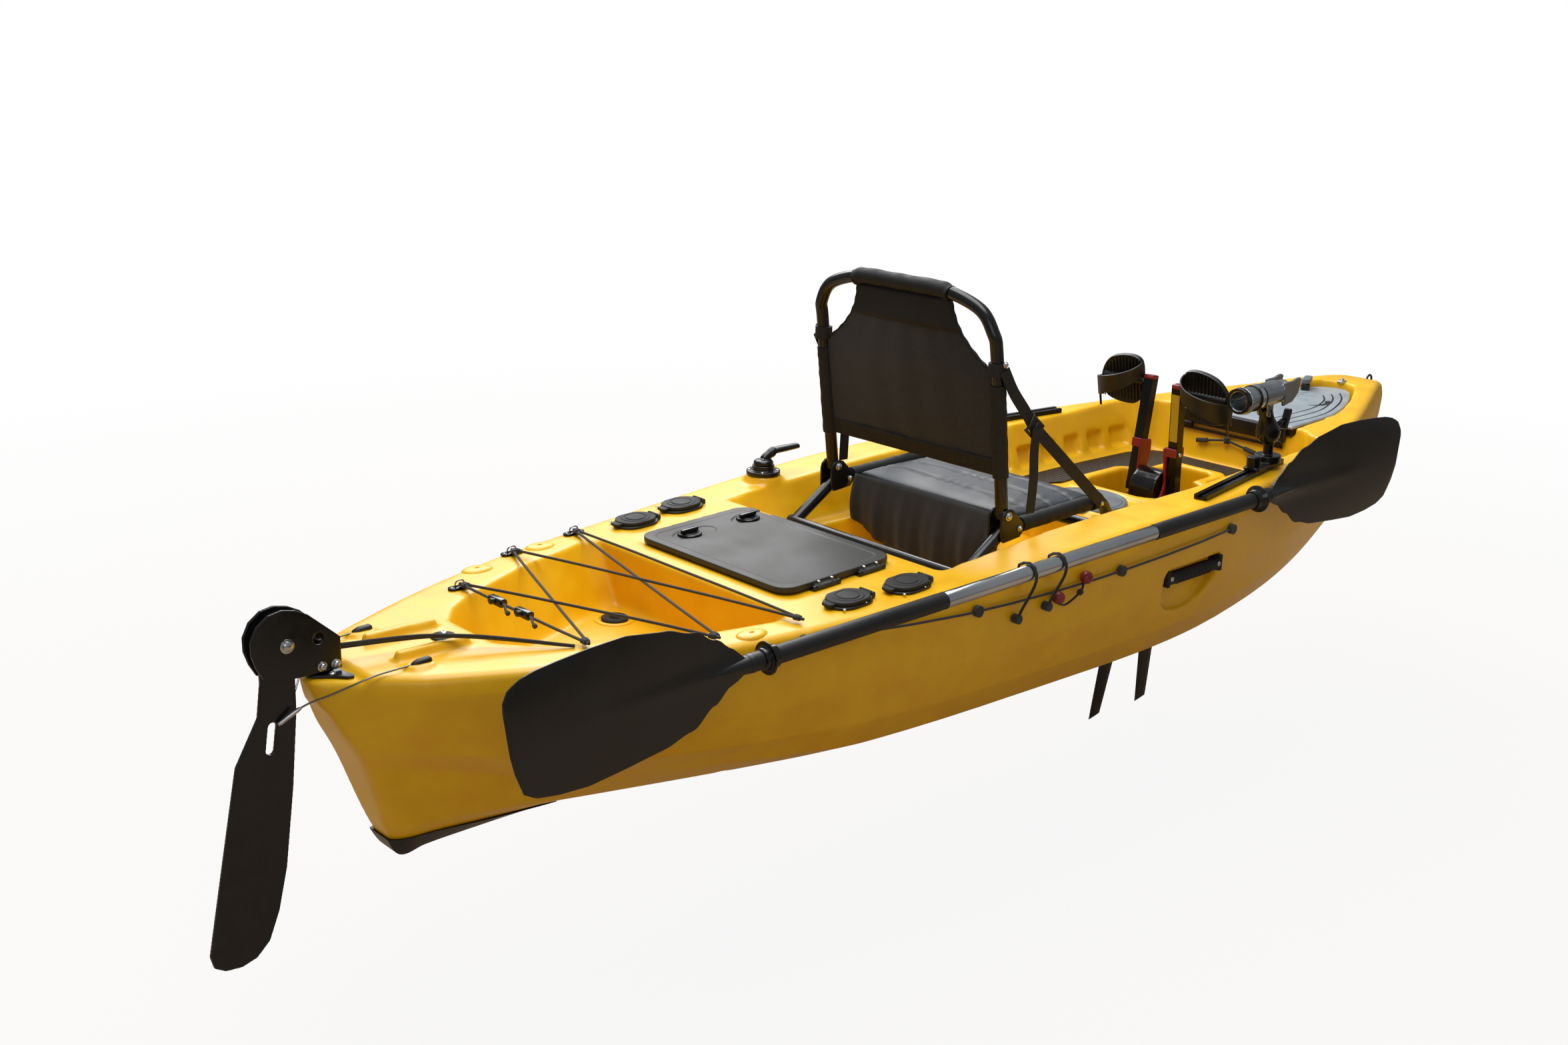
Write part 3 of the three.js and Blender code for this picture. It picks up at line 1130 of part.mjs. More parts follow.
function build_drive_housing() {
  const d = drive;
  const hump = bar([d.x, -d.half, d.z], [d.x, d.half, d.z], d.hump, 24);
  const shoulder = across(outline([[d.x - d.hump, d.z], [d.body_back, well_floor_height + d.floor],
    [d.body_front, well_floor_height + d.floor],
    [d.x + d.hump, d.z]]), -d.half, d.half);
  const flange = box([d.flange_back, -d.flange_half, well_floor_height + seat_gap],
    [d.flange_front, d.flange_half, well_floor_height + seat_gap + d.floor]);
  const spine = across(outline([[d.spine_back, well_floor_height + d.floor], [d.spine_back, d.foot],
    [d.block_back, d.foot],
    [d.block_back, d.block_bottom], [d.block_front, d.block_bottom], [d.block_front, d.foot],
      [d.spine_front, d.foot], [d.spine_front, well_floor_height + d.floor]]),
  -d.block_half, d.block_half);
  const middle = across(outline([[d.body_back, well_floor_height + d.floor], [d.body_back,
    d.foot + d.floor],
    [d.body_front, d.foot + d.floor], [d.body_front, well_floor_height + d.floor]]), -d.spine_half,
      d.spine_half);
  const reach = crank.mast_y + crank.mast_half_y + d.stop_length;
  const axle = bar([d.x, -reach, d.z], [d.x, reach, d.z], d.axle, 14);
  const pin = bar([d.pin_back, 0, d.fin_z], [d.pin_front, 0, d.fin_z], d.pin, 12);
  const stops = [bar([d.pin_back, 0, d.fin_z], [d.pin_back + d.stop_length, 0, d.fin_z], d.stop, 12),
    bar([d.pin_front - d.stop_length, 0, d.fin_z], [d.pin_front, 0, d.fin_z], d.stop, 12)];
  return join(hump, shoulder, flange, spine, middle, axle, pin, ...stops);
}

function swung(shape, side) {
  return turned(shape, [0, 1, 0], crank.lean + side * drive.rest_swing, [drive.x, 0, drive.z]);
}

function build_bracket(side) {
  const d = drive;
  const c = crank;
  const profile = new THREE.Shape();
  const x = d.x;
  const z = d.z;
  const h = c.hub;
  const w = c.mast_half_x;
  profile.moveTo(x - h * 1.9, z - h * 0.75);
  profile.quadraticCurveTo(x - h * 1.05, z + h * 0.1, x - h * 0.75, z + h * 1.3);
  profile.lineTo(x - h * 1.1, z + c.clamp);
  profile.lineTo(x + w + c.bracket, z + c.clamp);
  profile.quadraticCurveTo(x + h * 1.35, z + c.clamp * 0.72, x + h * 0.85, z + h * 2.1);
  profile.quadraticCurveTo(x + h * 0.75, z + h * 0.4, x + h * 1.9, z - h * 0.75);
  profile.lineTo(x + h * 1.35, z - h * 1.35);
  profile.lineTo(x, z - h * 0.95);
  profile.lineTo(x - h * 1.35, z - h * 1.35);
  const plate = across(profile, c.bracket_in, c.bracket_in + c.bracket, 6);
  const clamp = box([x - w - c.bracket - seat_gap, c.bracket_in, z + c.clamp - h], [x - w - seat_gap,
    c.mast_y + c.mast_half_y, z + c.clamp]);
  const lug = box([x + w + seat_gap, c.bracket_in, z + c.clamp - h], [x + w + c.bracket + seat_gap,
    c.mast_y + c.mast_half_y, z + c.clamp]);
  const hole = bar([x, 0, z], [x, c.mast_y + c.mast_half_y + overrun, z], d.axle + d.clearance, 14);
  let bracket = cut(join(plate, clamp, lug), hole);
  if (side < 0) bracket = mirrored(bracket);
  return swung(bracket, side);
}

function build_mast(side) {
  const d = drive;
  const c = crank;
  const inside = c.bracket_in + c.bracket + seat_gap;
  const outside = c.mast_y + c.mast_half_y;
  const tube = box([d.x - c.mast_half_x, inside, d.z + c.mast_foot - c.hub], [d.x + c.mast_half_x,
    outside, d.z + c.mast_top]);
  const hole = bar([d.x, 0, d.z], [d.x, outside + overrun, d.z], d.axle + d.clearance, 14);
  const axle = bar([d.x, outside - pedal.gap, d.z + c.pedal_z], [d.x, pedal.y + pedal.half - pedal.sole,
    d.z + c.pedal_z], pedal.axle, 10);
  let mast = join(cut(tube, hole), axle);
  if (side < 0) mast = mirrored(mast);
  return swung(mast, side);
}

function pedal_axle(side) {
  const angle = THREE.MathUtils.degToRad(crank.lean + side * drive.rest_swing);
  return [drive.x + crank.pedal_z * Math.sin(angle), drive.z + crank.pedal_z * Math.cos(angle)];
}

function build_pedal(side) {
  const p = pedal;
  const sole_shape = new THREE.Shape();
  const c = p.corner;
  sole_shape.moveTo(-p.half + c, -p.bottom);
  sole_shape.lineTo(p.half - c, -p.bottom);
  sole_shape.quadraticCurveTo(p.half, -p.bottom, p.half, -p.bottom + c);
  sole_shape.lineTo(p.half - c / 4, p.top - c);
  sole_shape.quadraticCurveTo(p.half - c / 4, p.top, p.half - c * 1.6, p.top);
  sole_shape.lineTo(-p.half + c * 1.4, p.top);
  sole_shape.quadraticCurveTo(-p.half + c / 4, p.top, -p.half + c / 4, p.top - c);
  sole_shape.lineTo(-p.half, -p.bottom + c);
  sole_shape.quadraticCurveTo(-p.half, -p.bottom, -p.half + c, -p.bottom);
  const slab = solid(new THREE.ExtrudeGeometry(sole_shape, { depth: p.sole, bevelEnabled: false,
    curveSegments: 4 }))
    .rotate([90, 0, 90]).translate([-p.sole / 2, 0, 0]);
  const bow = (grow) => {
    const shape = new THREE.Shape();
    shape.moveTo(0, -p.half + grow);
    shape.bezierCurveTo(-p.cup - p.cup_wall + grow * 2, -p.half + grow, -p.cup - p.cup_wall + grow * 2,
      p.half - grow, 0, p.half - grow);
    return shape;
  };
  const outer = upright(bow(0), p.cup_bottom, p.cup_top, 10);
  const hollow = upright(bow(p.cup_wall), p.cup_bottom - overrun, p.cup_top + overrun, 10);
  const trim = turned(box([-p.cup * 3, -p.half * 3, p.cup_top - p.cup_wall * 3], [overrun, p.half * 3,
    p.cup_top + p.cup * 2]), [1, 0, 0],
    side > 0 ? 16 : -16, [0, 0, 0]);
  const hub = bar([0, -p.half, 0], [0, p.half - p.sole, 0], p.hub, 14);
  const cup = cut(outer, hollow, trim);
  let body = join(slab, cup, hub);
  body = cut(body, bar([0, -p.half - overrun, 0], [0, p.half + overrun, 0], p.axle + p.gap, 10));
  const [x, z] = pedal_axle(side);
  return turned(body, [0, 1, 0], -12, [0, 0, 0]).translate([x, side * (p.y + p.gap), z]);
}

function build_fin(place, rake) {
  const f = fin;
  const d = drive;
  const levels = [0, 0.12, 0.5, 0.85, 1];
  const rings = levels.map((t) => {
    const chord = t < 0.1 ? f.tip_chord : f.chord + (f.tip_chord - f.chord) * t * t;
    const thick = f.thick * (1 - t * 0.65);
    const x = place + rake * t;
    const z = d.fin_z - t * f.length;
    const shares = [[-0.5, 0], [-0.2, 0.36], [0.2, 0.5], [0.42, 0.3], [0.5, 0], [0.42, -0.3], [0.2, -0.5],
      [-0.2, -0.36]];
    return shares.map(([a, b]) => new THREE.Vector3(x + a * chord, b * thick, z + a * chord * 0.18 * t));
  });
  const tube = bar([place - f.sleeve_half, 0, d.fin_z], [place + f.sleeve_half, 0, d.fin_z], f.sleeve, 12);
  const bore = bar([place - f.sleeve_half - overrun, 0, d.fin_z], [place + f.sleeve_half + overrun, 0,
    d.fin_z], d.pin + d.clearance, 12);
  return cut(join(tube, loft(rings)), bore);
}

// Gear tracks on the gunwales, and the rod holder that clamps to the starboard one
const track = { back: [212, 373], front: [600, 311], width: 28, height: 10, slot: 9, slot_depth: 6,
  groove: 15, groove_depth: 3 };

function track_point(share, side, lift) {
  const x = track.back[0] + (track.front[0] - track.back[0]) * share;
  const y = track.back[1] + (track.front[1] - track.back[1]) * share;
  return [x, side * y, deck(x) + lift];
}

function build_track(side) {
  const t = track;
  const lift = seat_gap * 3;
  const from = track_point(0, side, lift);
  const to = track_point(1, side, lift);
  const length = new THREE.Vector3(...from).distanceTo(new THREE.Vector3(...to));
  const profile = box([0, -t.width / 2, 0], [length, t.width / 2, t.height]);
  const slot = box([-overrun, -t.slot / 2, t.height - t.slot_depth], [length + overrun, t.slot / 2,
    t.height + overrun]);
  const groove = box([-overrun, -t.groove / 2, t.height - t.slot_depth], [length + overrun, t.groove / 2,
    t.height - t.groove_depth]);
  return laid(cut(profile, slot, groove), from, to);
}

const rod = { share: 0.845, plate_back: -88, plate_front: 30, plate_half: 18, plate: 6, knob: 15,
  knob_height: 24, knob_back: -74,
  disc: 29, disc_height: 14, post: 11, post_height: 26, ball: 20, arm_low: 60, arm_x: -22, arm_high: 98,
    arm_low_radius: 21,
  tilt_x: -30, tilt_z: 119, barrel: 10, barrel_half: 8, ear: 6, ear_gap: 0.4,
  arm_radius: 26, arm_high_radius: 13, wing_x: 62, wing_z: 69.5, wing: 8, wing_half: 17, tube_x: -62,
    tube_z: 158,
  tube_radius: 26, tube_bore: 21, tube_back: -138, tube_front: 6, horn: 62, tilt: 2, foot: 3.6 };

function rod_frame() {
  const at = track_point(rod.share, -1, seat_gap * 3 + track.height + seat_gap);
  return at;
}

function build_rod_base() {
  const r = rod;
  const from = track_point(0, -1, 0);
  const to = track_point(1, -1, 0);
  const plate = upright(rounded(r.plate_front - r.plate_back, r.plate_half * 2, r.plate), 0, r.plate, 3)
    .translate([(r.plate_front + r.plate_back) / 2, 0, 0]);
  const foot = box([r.plate_back + r.plate, -r.foot, -track.slot_depth + track.groove_depth],
    [r.plate_front - r.plate, r.foot, r.plate / 2]);
  const knob = disc([r.knob_back, 0], r.knob, r.plate / 2, r.plate + r.knob_height, 12);
  const base = disc([0, 0], r.disc, r.plate / 2, r.plate + r.disc_height, 24);
  const post = disc([0, 0], r.post, r.plate, r.plate + r.disc_height + r.post_height, 14);
  const shape = join(plate, foot, knob, base, post);
  const run = new THREE.Vector3(...to).sub(new THREE.Vector3(...from));
  const at = rod_frame();
  const heading = THREE.MathUtils.radToDeg(Math.atan2(run.y, run.x));
  const climb = THREE.MathUtils.radToDeg(Math.asin(run.z / run.length()));
  return shape.rotate([0, -climb, 0]).rotate([0, 0, heading]).translate(at);
}

function build_rod_arm() {
  const r = rod;
  const [x, y, z] = rod_frame();
  const low = r.plate + r.disc_height + r.post_height;
  const at = (dx, dz) => [x + dx, y, z + dz];
  const lower = bar(at(0, low + seat_gap), at(0, r.arm_low), r.arm_low_radius, 14, r.arm_radius);
  const upper = bar(at(0, r.arm_low - r.foot / 2), at(r.arm_x, r.arm_high), r.arm_radius - r.foot, 12,
    r.arm_high_radius);
  const neck = bar(at(r.arm_x, r.arm_high - r.barrel), at(r.tilt_x, r.tilt_z), r.barrel_half - r.ear_gap,
    8);
  const barrel = bar([x + r.tilt_x, y - r.barrel_half, z + r.tilt_z], [x + r.tilt_x, y + r.barrel_half,
    z + r.tilt_z], r.barrel, 14);
  const stem = bar(at(0, r.wing_z), at(r.wing_x - r.wing, r.wing_z), r.wing, 10);
  const wing = box([x + r.wing_x - r.wing, y - r.wing_half, z + r.wing_z - r.wing * 2],
    [x + r.wing_x + r.wing, y + r.wing_half, z + r.wing_z + r.wing * 2]);
  return join(lower, upper, neck, barrel, stem, wing);
}

function build_rod_tube() {
  const r = rod;
  const [x, y, z] = rod_frame();
  const at = (dx, dz) => [x + dx, y, z + dz];
  const ears = [-1, 1].map((side) => {
    const inside = y + side * (r.barrel_half + r.ear_gap);
    const outside = inside + side * r.ear;
    return join(bar([x + r.tilt_x, inside, z + r.tilt_z], [x + r.tilt_x, outside, z + r.tilt_z], r.barrel,
      14),
      box([x + r.tilt_x - r.barrel, Math.min(inside, outside), z + r.tilt_z], [x + r.tilt_x + r.barrel,
        Math.max(inside, outside), z + r.tube_z]));
  });
  const tube = bar(at(r.tube_back, r.tube_z - r.tilt), at(r.tube_front, r.tube_z + r.tilt), r.tube_radius,
    16);
  const collar = bar(at(r.tube_back + r.post, r.tube_z - r.tilt), at(r.tube_back + r.post * 2,
    r.tube_z - r.tilt), r.tube_radius + r.foot, 16);
  const bore = bar(at(r.tube_back - overrun, r.tube_z - r.tilt), at(r.tube_front + r.horn + overrun,
    r.tube_z + r.tilt), r.tube_bore, 16);
  const horn_shape = new THREE.Shape();
  const start = x + r.tube_front - r.plate;
  horn_shape.moveTo(start, z + r.tube_z - r.tube_radius);
  horn_shape.quadraticCurveTo(start + r.horn, z + r.tube_z - r.tube_radius, start + r.horn,
    z + r.tube_z + r.tube_radius);
  horn_shape.quadraticCurveTo(start + r.horn, z + r.tube_z + r.tube_radius + r.post, start + r.horn / 2,
    z + r.tube_z + r.tube_radius);
  horn_shape.lineTo(start, z + r.tube_z + r.tube_radius);
  const horns = [-1, 1].map((side) => across(horn_shape, y + side * (r.tube_radius - r.foot) - r.foot,
    y + side * (r.tube_radius - r.foot) + r.foot, 3));
  return cut(join(tube, collar, ...ears, ...horns), bore);
}

// Front hatch: a lid over the recess in the foredeck, hinged at its back edge, with a turning latch
const front_hinge = { radius: 5, y: 128, half: 16, ear: 8, gap: 0.5,
  x: front_hatch.back - front_hatch.hinge_lip, leaf: 3, leaf_out: 4, leaf_height: 15 };
const front_latch = { inset: 96, y: 44, post: 12, lever: 64, width: 20, height: 11, gap: 3, turn: 22 };

function latch_level() {
  const f = front_hatch;
  const tip = f.front - front_latch.inset + front_latch.lever;
  return Math.max(deck(tip), f.floor + f.lid) + front_latch.gap;
}

function build_front_lid() {
  const f = front_hatch;
  const g = front_hinge;
  const l = front_latch;
  const base = f.floor + seat_gap;
  const lid = upright(front_outline(0), base, base + f.lid, 6);
  const lip = box([f.back - f.lip, -f.half_back + f.lip, base - f.lip_drop], [f.back + seat_gap,
    f.half_back - f.lip, base + f.lid]);
  const stud = disc([f.front - l.inset, l.y], l.post, base + f.lid - seat_gap, latch_level() - seat_gap, 16);
  let body = join(lid, lip, stud);
  const z = base - f.lip_drop;
  for (const side of [-1, 1]) {
    const y = side * g.y;
    body = join(body, bar([g.x, y - g.half, z], [g.x, y + g.half, z], g.radius, 12));
    for (const end of [-1, 1]) {
      const a = y + end * (g.half + g.gap);
      const b = y + end * (g.half + g.ear + g.gap + g.gap);
      body = cut(body, box([g.x - f.lip * 2, Math.min(a, b), z - overrun], [g.x + f.lip * 2, Math.max(a,
        b), z + g.radius + g.gap]));
    }
  }
  return body;
}

function build_front_hinge() {
  const f = front_hatch;
  const g = front_hinge;
  const z = f.floor + seat_gap - f.lip_drop;
  const root = g.x + g.leaf_out;
  const ear_shape = outline([[g.x - g.radius, z], [g.x + g.radius, z], [root + g.leaf,
    z - g.radius - g.leaf],
    [root + g.leaf, z - g.leaf_height], [root, z - g.leaf_height], [g.x, z - g.radius]]);
  const pieces = [];
  for (const y of [-g.y, g.y]) {
    for (const end of [-1, 1]) {
      const a = y + end * (g.half + g.gap + g.gap);
      const b = y + end * (g.half + g.ear);
      const low = Math.min(a, b);
      const high = Math.max(a, b);
      pieces.push(bar([g.x, low, z], [g.x, high, z], g.radius), across(ear_shape, low, high));
    }
  }
  const reach = g.y + g.half + g.ear;
  const leaf = box([root, -reach, z - g.leaf_height], [root + g.leaf, reach, z - g.radius - g.leaf]);
  return join(leaf, ...pieces);
}

function build_front_latch() {
  const l = front_latch;
  const x = front_hatch.front - l.inset;
  const top = latch_level();
  const eye = disc([x, l.y], l.post, top, top + l.height, 16);
  const paddle = upright(rounded(l.lever, l.width, l.width / 2 - seat_gap), 0, l.height, 4);
  return join(eye, paddle.translate([(l.lever - l.width) / 2, 0, 0]).rotate([0, 0, l.turn]).translate([x,
    l.y, top]));
}

// Elastic cord on the front bulkhead
const bungee = { radius: 3, end: 6, end_length: 30, y: 83, foot: 320, top: 334, peg: 7 };

function build_bulkhead_bungee() {
  const b = bungee;
  const rise = (z) => (z - foot_floor_height) / (deck(bulkhead_x) - wall * 2 - foot_floor_height);
  const face = (z) => bulkhead_x + rise(z) * bulkhead_lean - b.peg - seat_gap * 6;
  const pieces = [disc([face(b.top), 0], b.peg, b.top - b.peg, b.top + b.peg, 12)];
  for (const side of [-1, 1]) {
    const foot = [face(b.foot), side * b.y, b.foot];
    const head = [face(b.top), side * b.radius, b.top];
    const run = new THREE.Vector3(...head).sub(new THREE.Vector3(...foot)).setLength(b.end_length);
    pieces.push(bar(foot, head, b.radius, 8), bar(foot, run.add(new THREE.Vector3(...foot)).toArray(),
      b.end, 8));
  }
  return join(...pieces);
}

// Carry handles in the side pockets
const handle = { radius: 13, z: sheer_height * 0.6474, inset: 20, seat: 0.4, boss: 18, boss_length: 10 };

function build_handle(side) {
  const h = handle;
  const y = half_beam - h.inset;
  const from = pocket.x - pocket.half + h.seat;
  const to = pocket.x + pocket.half - h.seat;
  const grip = join(bar([from, y, h.z], [to, y, h.z], h.radius, 14),
    box([from, y - h.boss, h.z - h.radius], [from + h.boss_length, y + h.radius, pocket.top - h.seat]),
    box([to - h.boss_length, y - h.boss, h.z - h.radius], [to, y + h.radius, pocket.top - h.seat]));
  return side > 0 ? grip : mirrored(grip);
}

// Paddle on the starboard side: ferrule section, black sleeves with drip rings, and two blades
const paddle = { place: -0.228125, out: 13, rise: sheer_height * 0.97368, slope_y: -0.04167,
  slope_z: 0.03549, shaft: 15, silver_back: -254, silver_front: 316, ring: 649,
  neck: 694, ring_radius: 28, ring_length: 16, ring_taper: 20, sleeve: 15.6, tip: 1140, half_width: 110,
    thick: 5, spine: 11, sides: 12 };
const paddle_blade_shares = [[0, -0.1091], [0.06, -0.2182], [0.13, -0.4545], [0.23, -0.7545],
  [0.36, -0.8455], [0.52, -0.9182], [0.67, -0.9727], [0.79, -0.9273], [0.88, -0.8545], [0.93, -0.7273],
  [0.965, -0.3909], [0.99, 0.0727], [1, 0.5273], [0.985, 0.7455], [0.91, 0.9], [0.81, 0.9545],
  [0.66, 0.9909], [0.51, 1], [0.36, 0.8909], [0.23, 0.7364], [0.08, 0.4182], [0, 0.1091]];

const paddle_at = [place_at(paddle.place), -half_beam - paddle.out, paddle.rise];
const paddle_run = new THREE.Vector3(1, paddle.slope_y, paddle.slope_z).normalize();

function paddle_point(s, rise = 0) {
  const point = paddle_run.clone().multiplyScalar(s).add(new THREE.Vector3(...paddle_at));
  return [point.x, point.y, point.z + rise];
}

function build_paddle_shaft() {
  return bar(paddle_point(paddle.silver_back), paddle_point(paddle.silver_front), paddle.shaft,
    paddle.sides);
}

function build_paddle_end(direction) {
  const p = paddle;
  const gap = seat_gap;
  const start = direction > 0 ? p.silver_front + gap : p.silver_back - gap;
  const s = (value) => direction * value;
  const pieces = [
    bar(paddle_point(start), paddle_point(s(p.neck + p.ring_radius)), p.sleeve, p.sides),
    bar(paddle_point(s(p.ring - p.ring_length)), paddle_point(s(p.ring)), p.ring_taper, 14, p.ring_radius),
    bar(paddle_point(s(p.ring)), paddle_point(s(p.ring + p.ring_length / 2)), p.ring_radius, 14,
      p.ring_taper),
    bar(paddle_point(s(p.neck)), paddle_point(s((p.neck + p.tip * 2) / 3)), p.sleeve, 10, p.spine / 2),
  ];
  const length = p.tip - p.neck;
  const out = new THREE.Vector3(0, 0, 1).cross(paddle_run).normalize();
  const cup = (share) => p.spine * 2 * Math.sin((share * Math.PI) / 2) ** 2;
  const rings = paddle_blade_shares.map(([share, height]) => ({ share, height: height * p.half_width }));
  const half = rings.length / 2;
  const front = [];
  const back = [];
  for (let i = 0; i < half; i += 1) {
    const low = rings[i];
    const high = rings[rings.length - 1 - i];
    const columns = 5;
    for (let j = 0; j < columns; j += 1) {
      const t = j / (columns - 1);
      const share = low.share + (high.share - low.share) * t;
      const height = low.height + (high.height - low.height) * t;
      const bend = out.clone().multiplyScalar(-cup(share) * (1 - 0.5 * (height / p.half_width) ** 2));
      const point = new THREE.Vector3(...paddle_point(s(p.neck + share * length), height)).add(bend);
      const thin = p.thick / 2 * (1 - 0.5 * Math.abs(2 * t - 1));
      front.push(point.clone().addScaledVector(out, thin).toArray());
      back.push(point.clone().addScaledVector(out, -thin).toArray());
    }
  }
  pieces.push(sheet_of(front, back, 5));
  return join(...pieces);
}

// Anchor trolley line and the two elastic loops that hold the paddle to the starboard side
const trolley = { stand_off: 4, seat: 2.4, radius: 2.5, button: 11, button_depth: 12, sag: 18 };
const trolley_back = place_at(-0.5525);
const trolley_front = place_at(0.16855);
const trolley_heights = [sheer_height * 0.86842, sheer_height * 0.84737];
const trolley_buttons = [-0.5525, -0.31875, -0.06875, 0.16855].map(place_at);

function side_point(x, z, out) {
  return [x, -side_at(x, z) - out, z];
}

function build_trolley() {
  const t = trolley;
  const out = t.radius + t.stand_off;
  const route = [];
  const steps = 10;
  for (let i = 0; i <= steps; i += 1) {
    const x = trolley_back + ((trolley_front - trolley_back) * i) / steps;
    const low = Math.sin((Math.PI * i) / steps) * t.sag;
    const z = trolley_heights[0] + ((trolley_heights[1] - trolley_heights[0]) * i) / steps - low;
    route.push(side_point(x, z, out));
  }
  const pieces = [along(route, t.radius, 10, 5)];
  for (const x of trolley_buttons) {
    const line = route.reduce((best,
      point) => (Math.abs(point[0] - x) < Math.abs(best[0] - x) ? point : best));
    const foot = side_point(x, line[2], t.seat);
    pieces.push(bar(foot, side_point(x, line[2], t.button_depth), t.button, 10));
  }
  return join(...pieces);
}

const loops = { radius: 3, knob: 9, knob_depth: 16, gap: 1, seat: 2, stand: 17,
  places: [{ x: place_at(-0.2525), foot: sheer_height * 0.72368 }, { x: place_at(-0.2025),
  foot: sheer_height * 0.74474 }] };

function build_paddle_loop({ x, foot }) {
  const l = loops;
  const [, y, z] = paddle_point((x - paddle_at[0]) / paddle_run.x);
  const clear = paddle.shaft + l.radius + l.gap;
  const side = -side_at(x, foot);
  const gunwale = -side_at(x, z - paddle.shaft);
  const route = [[x, side - l.radius * 4, foot], [x, side - l.stand, foot + paddle.shaft], [x, y - clear,
    z - paddle.shaft * 0.6],
    [x, y - clear * 0.75, z + clear * 0.66], [x, y, z + clear], [x, gunwale - l.radius,
      z + paddle.shaft * 0.5],
    [x, gunwale - l.radius * 2, z - paddle.shaft]];
  const top = route[route.length - 1];
  return join(along(route, l.radius, 14, 5), bar([x, side - l.seat, foot], [x, side - l.knob_depth, foot],
    l.knob, 10),
    bar([x, gunwale - l.seat, top[2]], [x, gunwale - l.knob_depth * 0.8, top[2]], l.knob * 0.7, 10));
}

// Scupper plugs in the tank well
const plug = { flange: 26, flange_height: 6, stem: 16, stem_foot: 13, stem_length: 34, ring: 9 };

function build_plug(side) {
  const [x, y] = scupper_places[0];
  const z = tank_floor_height + seat_gap;
  const p = plug;
  return join(disc([x, side * y], p.flange, z, z + p.flange_height, 20),
    bar([x, side * y, z - p.stem_length], [x, side * y, z + seat_gap], p.stem_foot, 12, p.stem),
    disc([x, side * y], p.ring, z + seat_gap, z + p.flange_height * 2, 12));
}

add('hull', build_hull(), finish.hull);
add('keel_guard', build_keel_guard(), finish.plastic);
add('rudder_bracket', build_rudder_bracket(), finish.plastic);
add('rudder_head', build_rudder_head(), finish.plastic);
add('rudder_blade', build_rudder_blade(), finish.plastic);
add('rudder_cable_starboard', build_cable(), finish.steel);
add('rudder_cable_port', mirrored(build_cable()), finish.steel);
add('rudder_lift_line', build_lift_line(), finish.cord);
add('tank_lacing', build_lacing(), finish.cord);
add('centre_hatch_rim', build_hatch_rim(), finish.plastic);
add('centre_hatch_lid', build_hatch_lid(), finish.plastic);
add('hatch_latch_aft', build_latch(latch_places[0]), finish.plastic);
add('hatch_latch_fore', build_latch(latch_places[1]), finish.plastic);
const cup_names = ['aft', 'fore'];
rod_cups.forEach(([x, y], i) => {
  for (const side of [-1, 1]) {
    const hand = side > 0 ? 'port' : 'starboard';
    add(`rod_cup_${cup_names[i]}_${hand}`, build_rod_cup([x, side * y]), finish.plastic);
    add(`rod_cap_${cup_names[i]}_${hand}`, build_rod_cap([x, side * y]), finish.plastic);
  }
});
add('lever_base', build_lever_base(), finish.plastic);
add('steering_lever', build_lever(), finish.plastic);
add('seat_frame', build_seat_frame(), finish.tube);
add('seat_cushion', build_cushion(), finish.fabric);
add('backrest_frame', build_back_frame(), finish.tube);
add('backrest_fabric', build_back_cloth(), finish.fabric);
add('seat_strap_port', build_strap(1), finish.fabric);
add('seat_strap_starboard', build_strap(-1), finish.fabric);
add('round_hatch_lid', build_round_lid(), finish.plastic);
add('mat_port', build_mat(), finish.rubber);
add('mat_starboard', mirrored(build_mat()), finish.rubber);
add('drive_housing', build_drive_housing(), finish.plastic);
for (const side of [-1, 1]) {
  const hand = side > 0 ? 'port' : 'starboard';
  add(`crank_bracket_${hand}`, build_bracket(side), finish.red);
  add(`mast_${hand}`, build_mast(side), finish.tube);
  add(`pedal_${hand}`, build_pedal(side), finish.plastic);
  add(`gear_track_${hand}`, build_track(side), finish.alloy);
  add(`carry_handle_${hand}`, build_handle(side), finish.rubber);
  add(`scupper_plug_${hand}`, build_plug(side), finish.rubber);
}
add('fin_aft', build_fin(fin.back, fin.rake_back), finish.rubber);
add('fin_fore', build_fin(fin.front, fin.rake_front), finish.rubber);
add('rod_holder_base', build_rod_base(), finish.plastic);
add('rod_holder_arm', build_rod_arm(), finish.plastic);
add('rod_holder_tube', build_rod_tube(), finish.alloy);
add('front_hatch_lid', build_front_lid(), finish.plastic);
add('front_hinge', build_front_hinge(), finish.plastic);
add('front_latch', build_front_latch(), finish.plastic);
add('bulkhead_cord', build_bulkhead_bungee(), finish.cord);
add('paddle_shaft', build_paddle_shaft(), finish.alloy);
add('paddle_end_aft', build_paddle_end(-1), finish.plastic);
add('paddle_end_fore', build_paddle_end(1), finish.plastic);
add('anchor_trolley', build_trolley(), finish.cord);
add('paddle_loop_aft', build_paddle_loop(loops.places[0]), finish.cord);
add('paddle_loop_fore', build_paddle_loop(loops.places[1]), finish.cord);

export default kayak;
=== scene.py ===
"""A sit-on-top pedal kayak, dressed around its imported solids.

Metres. +X points to the bow, +Y to port, +Z up. The origin is on the flat of the bottom, amidships.
"""
import math

import bmesh
import bpy
from mathutils import Matrix, Vector


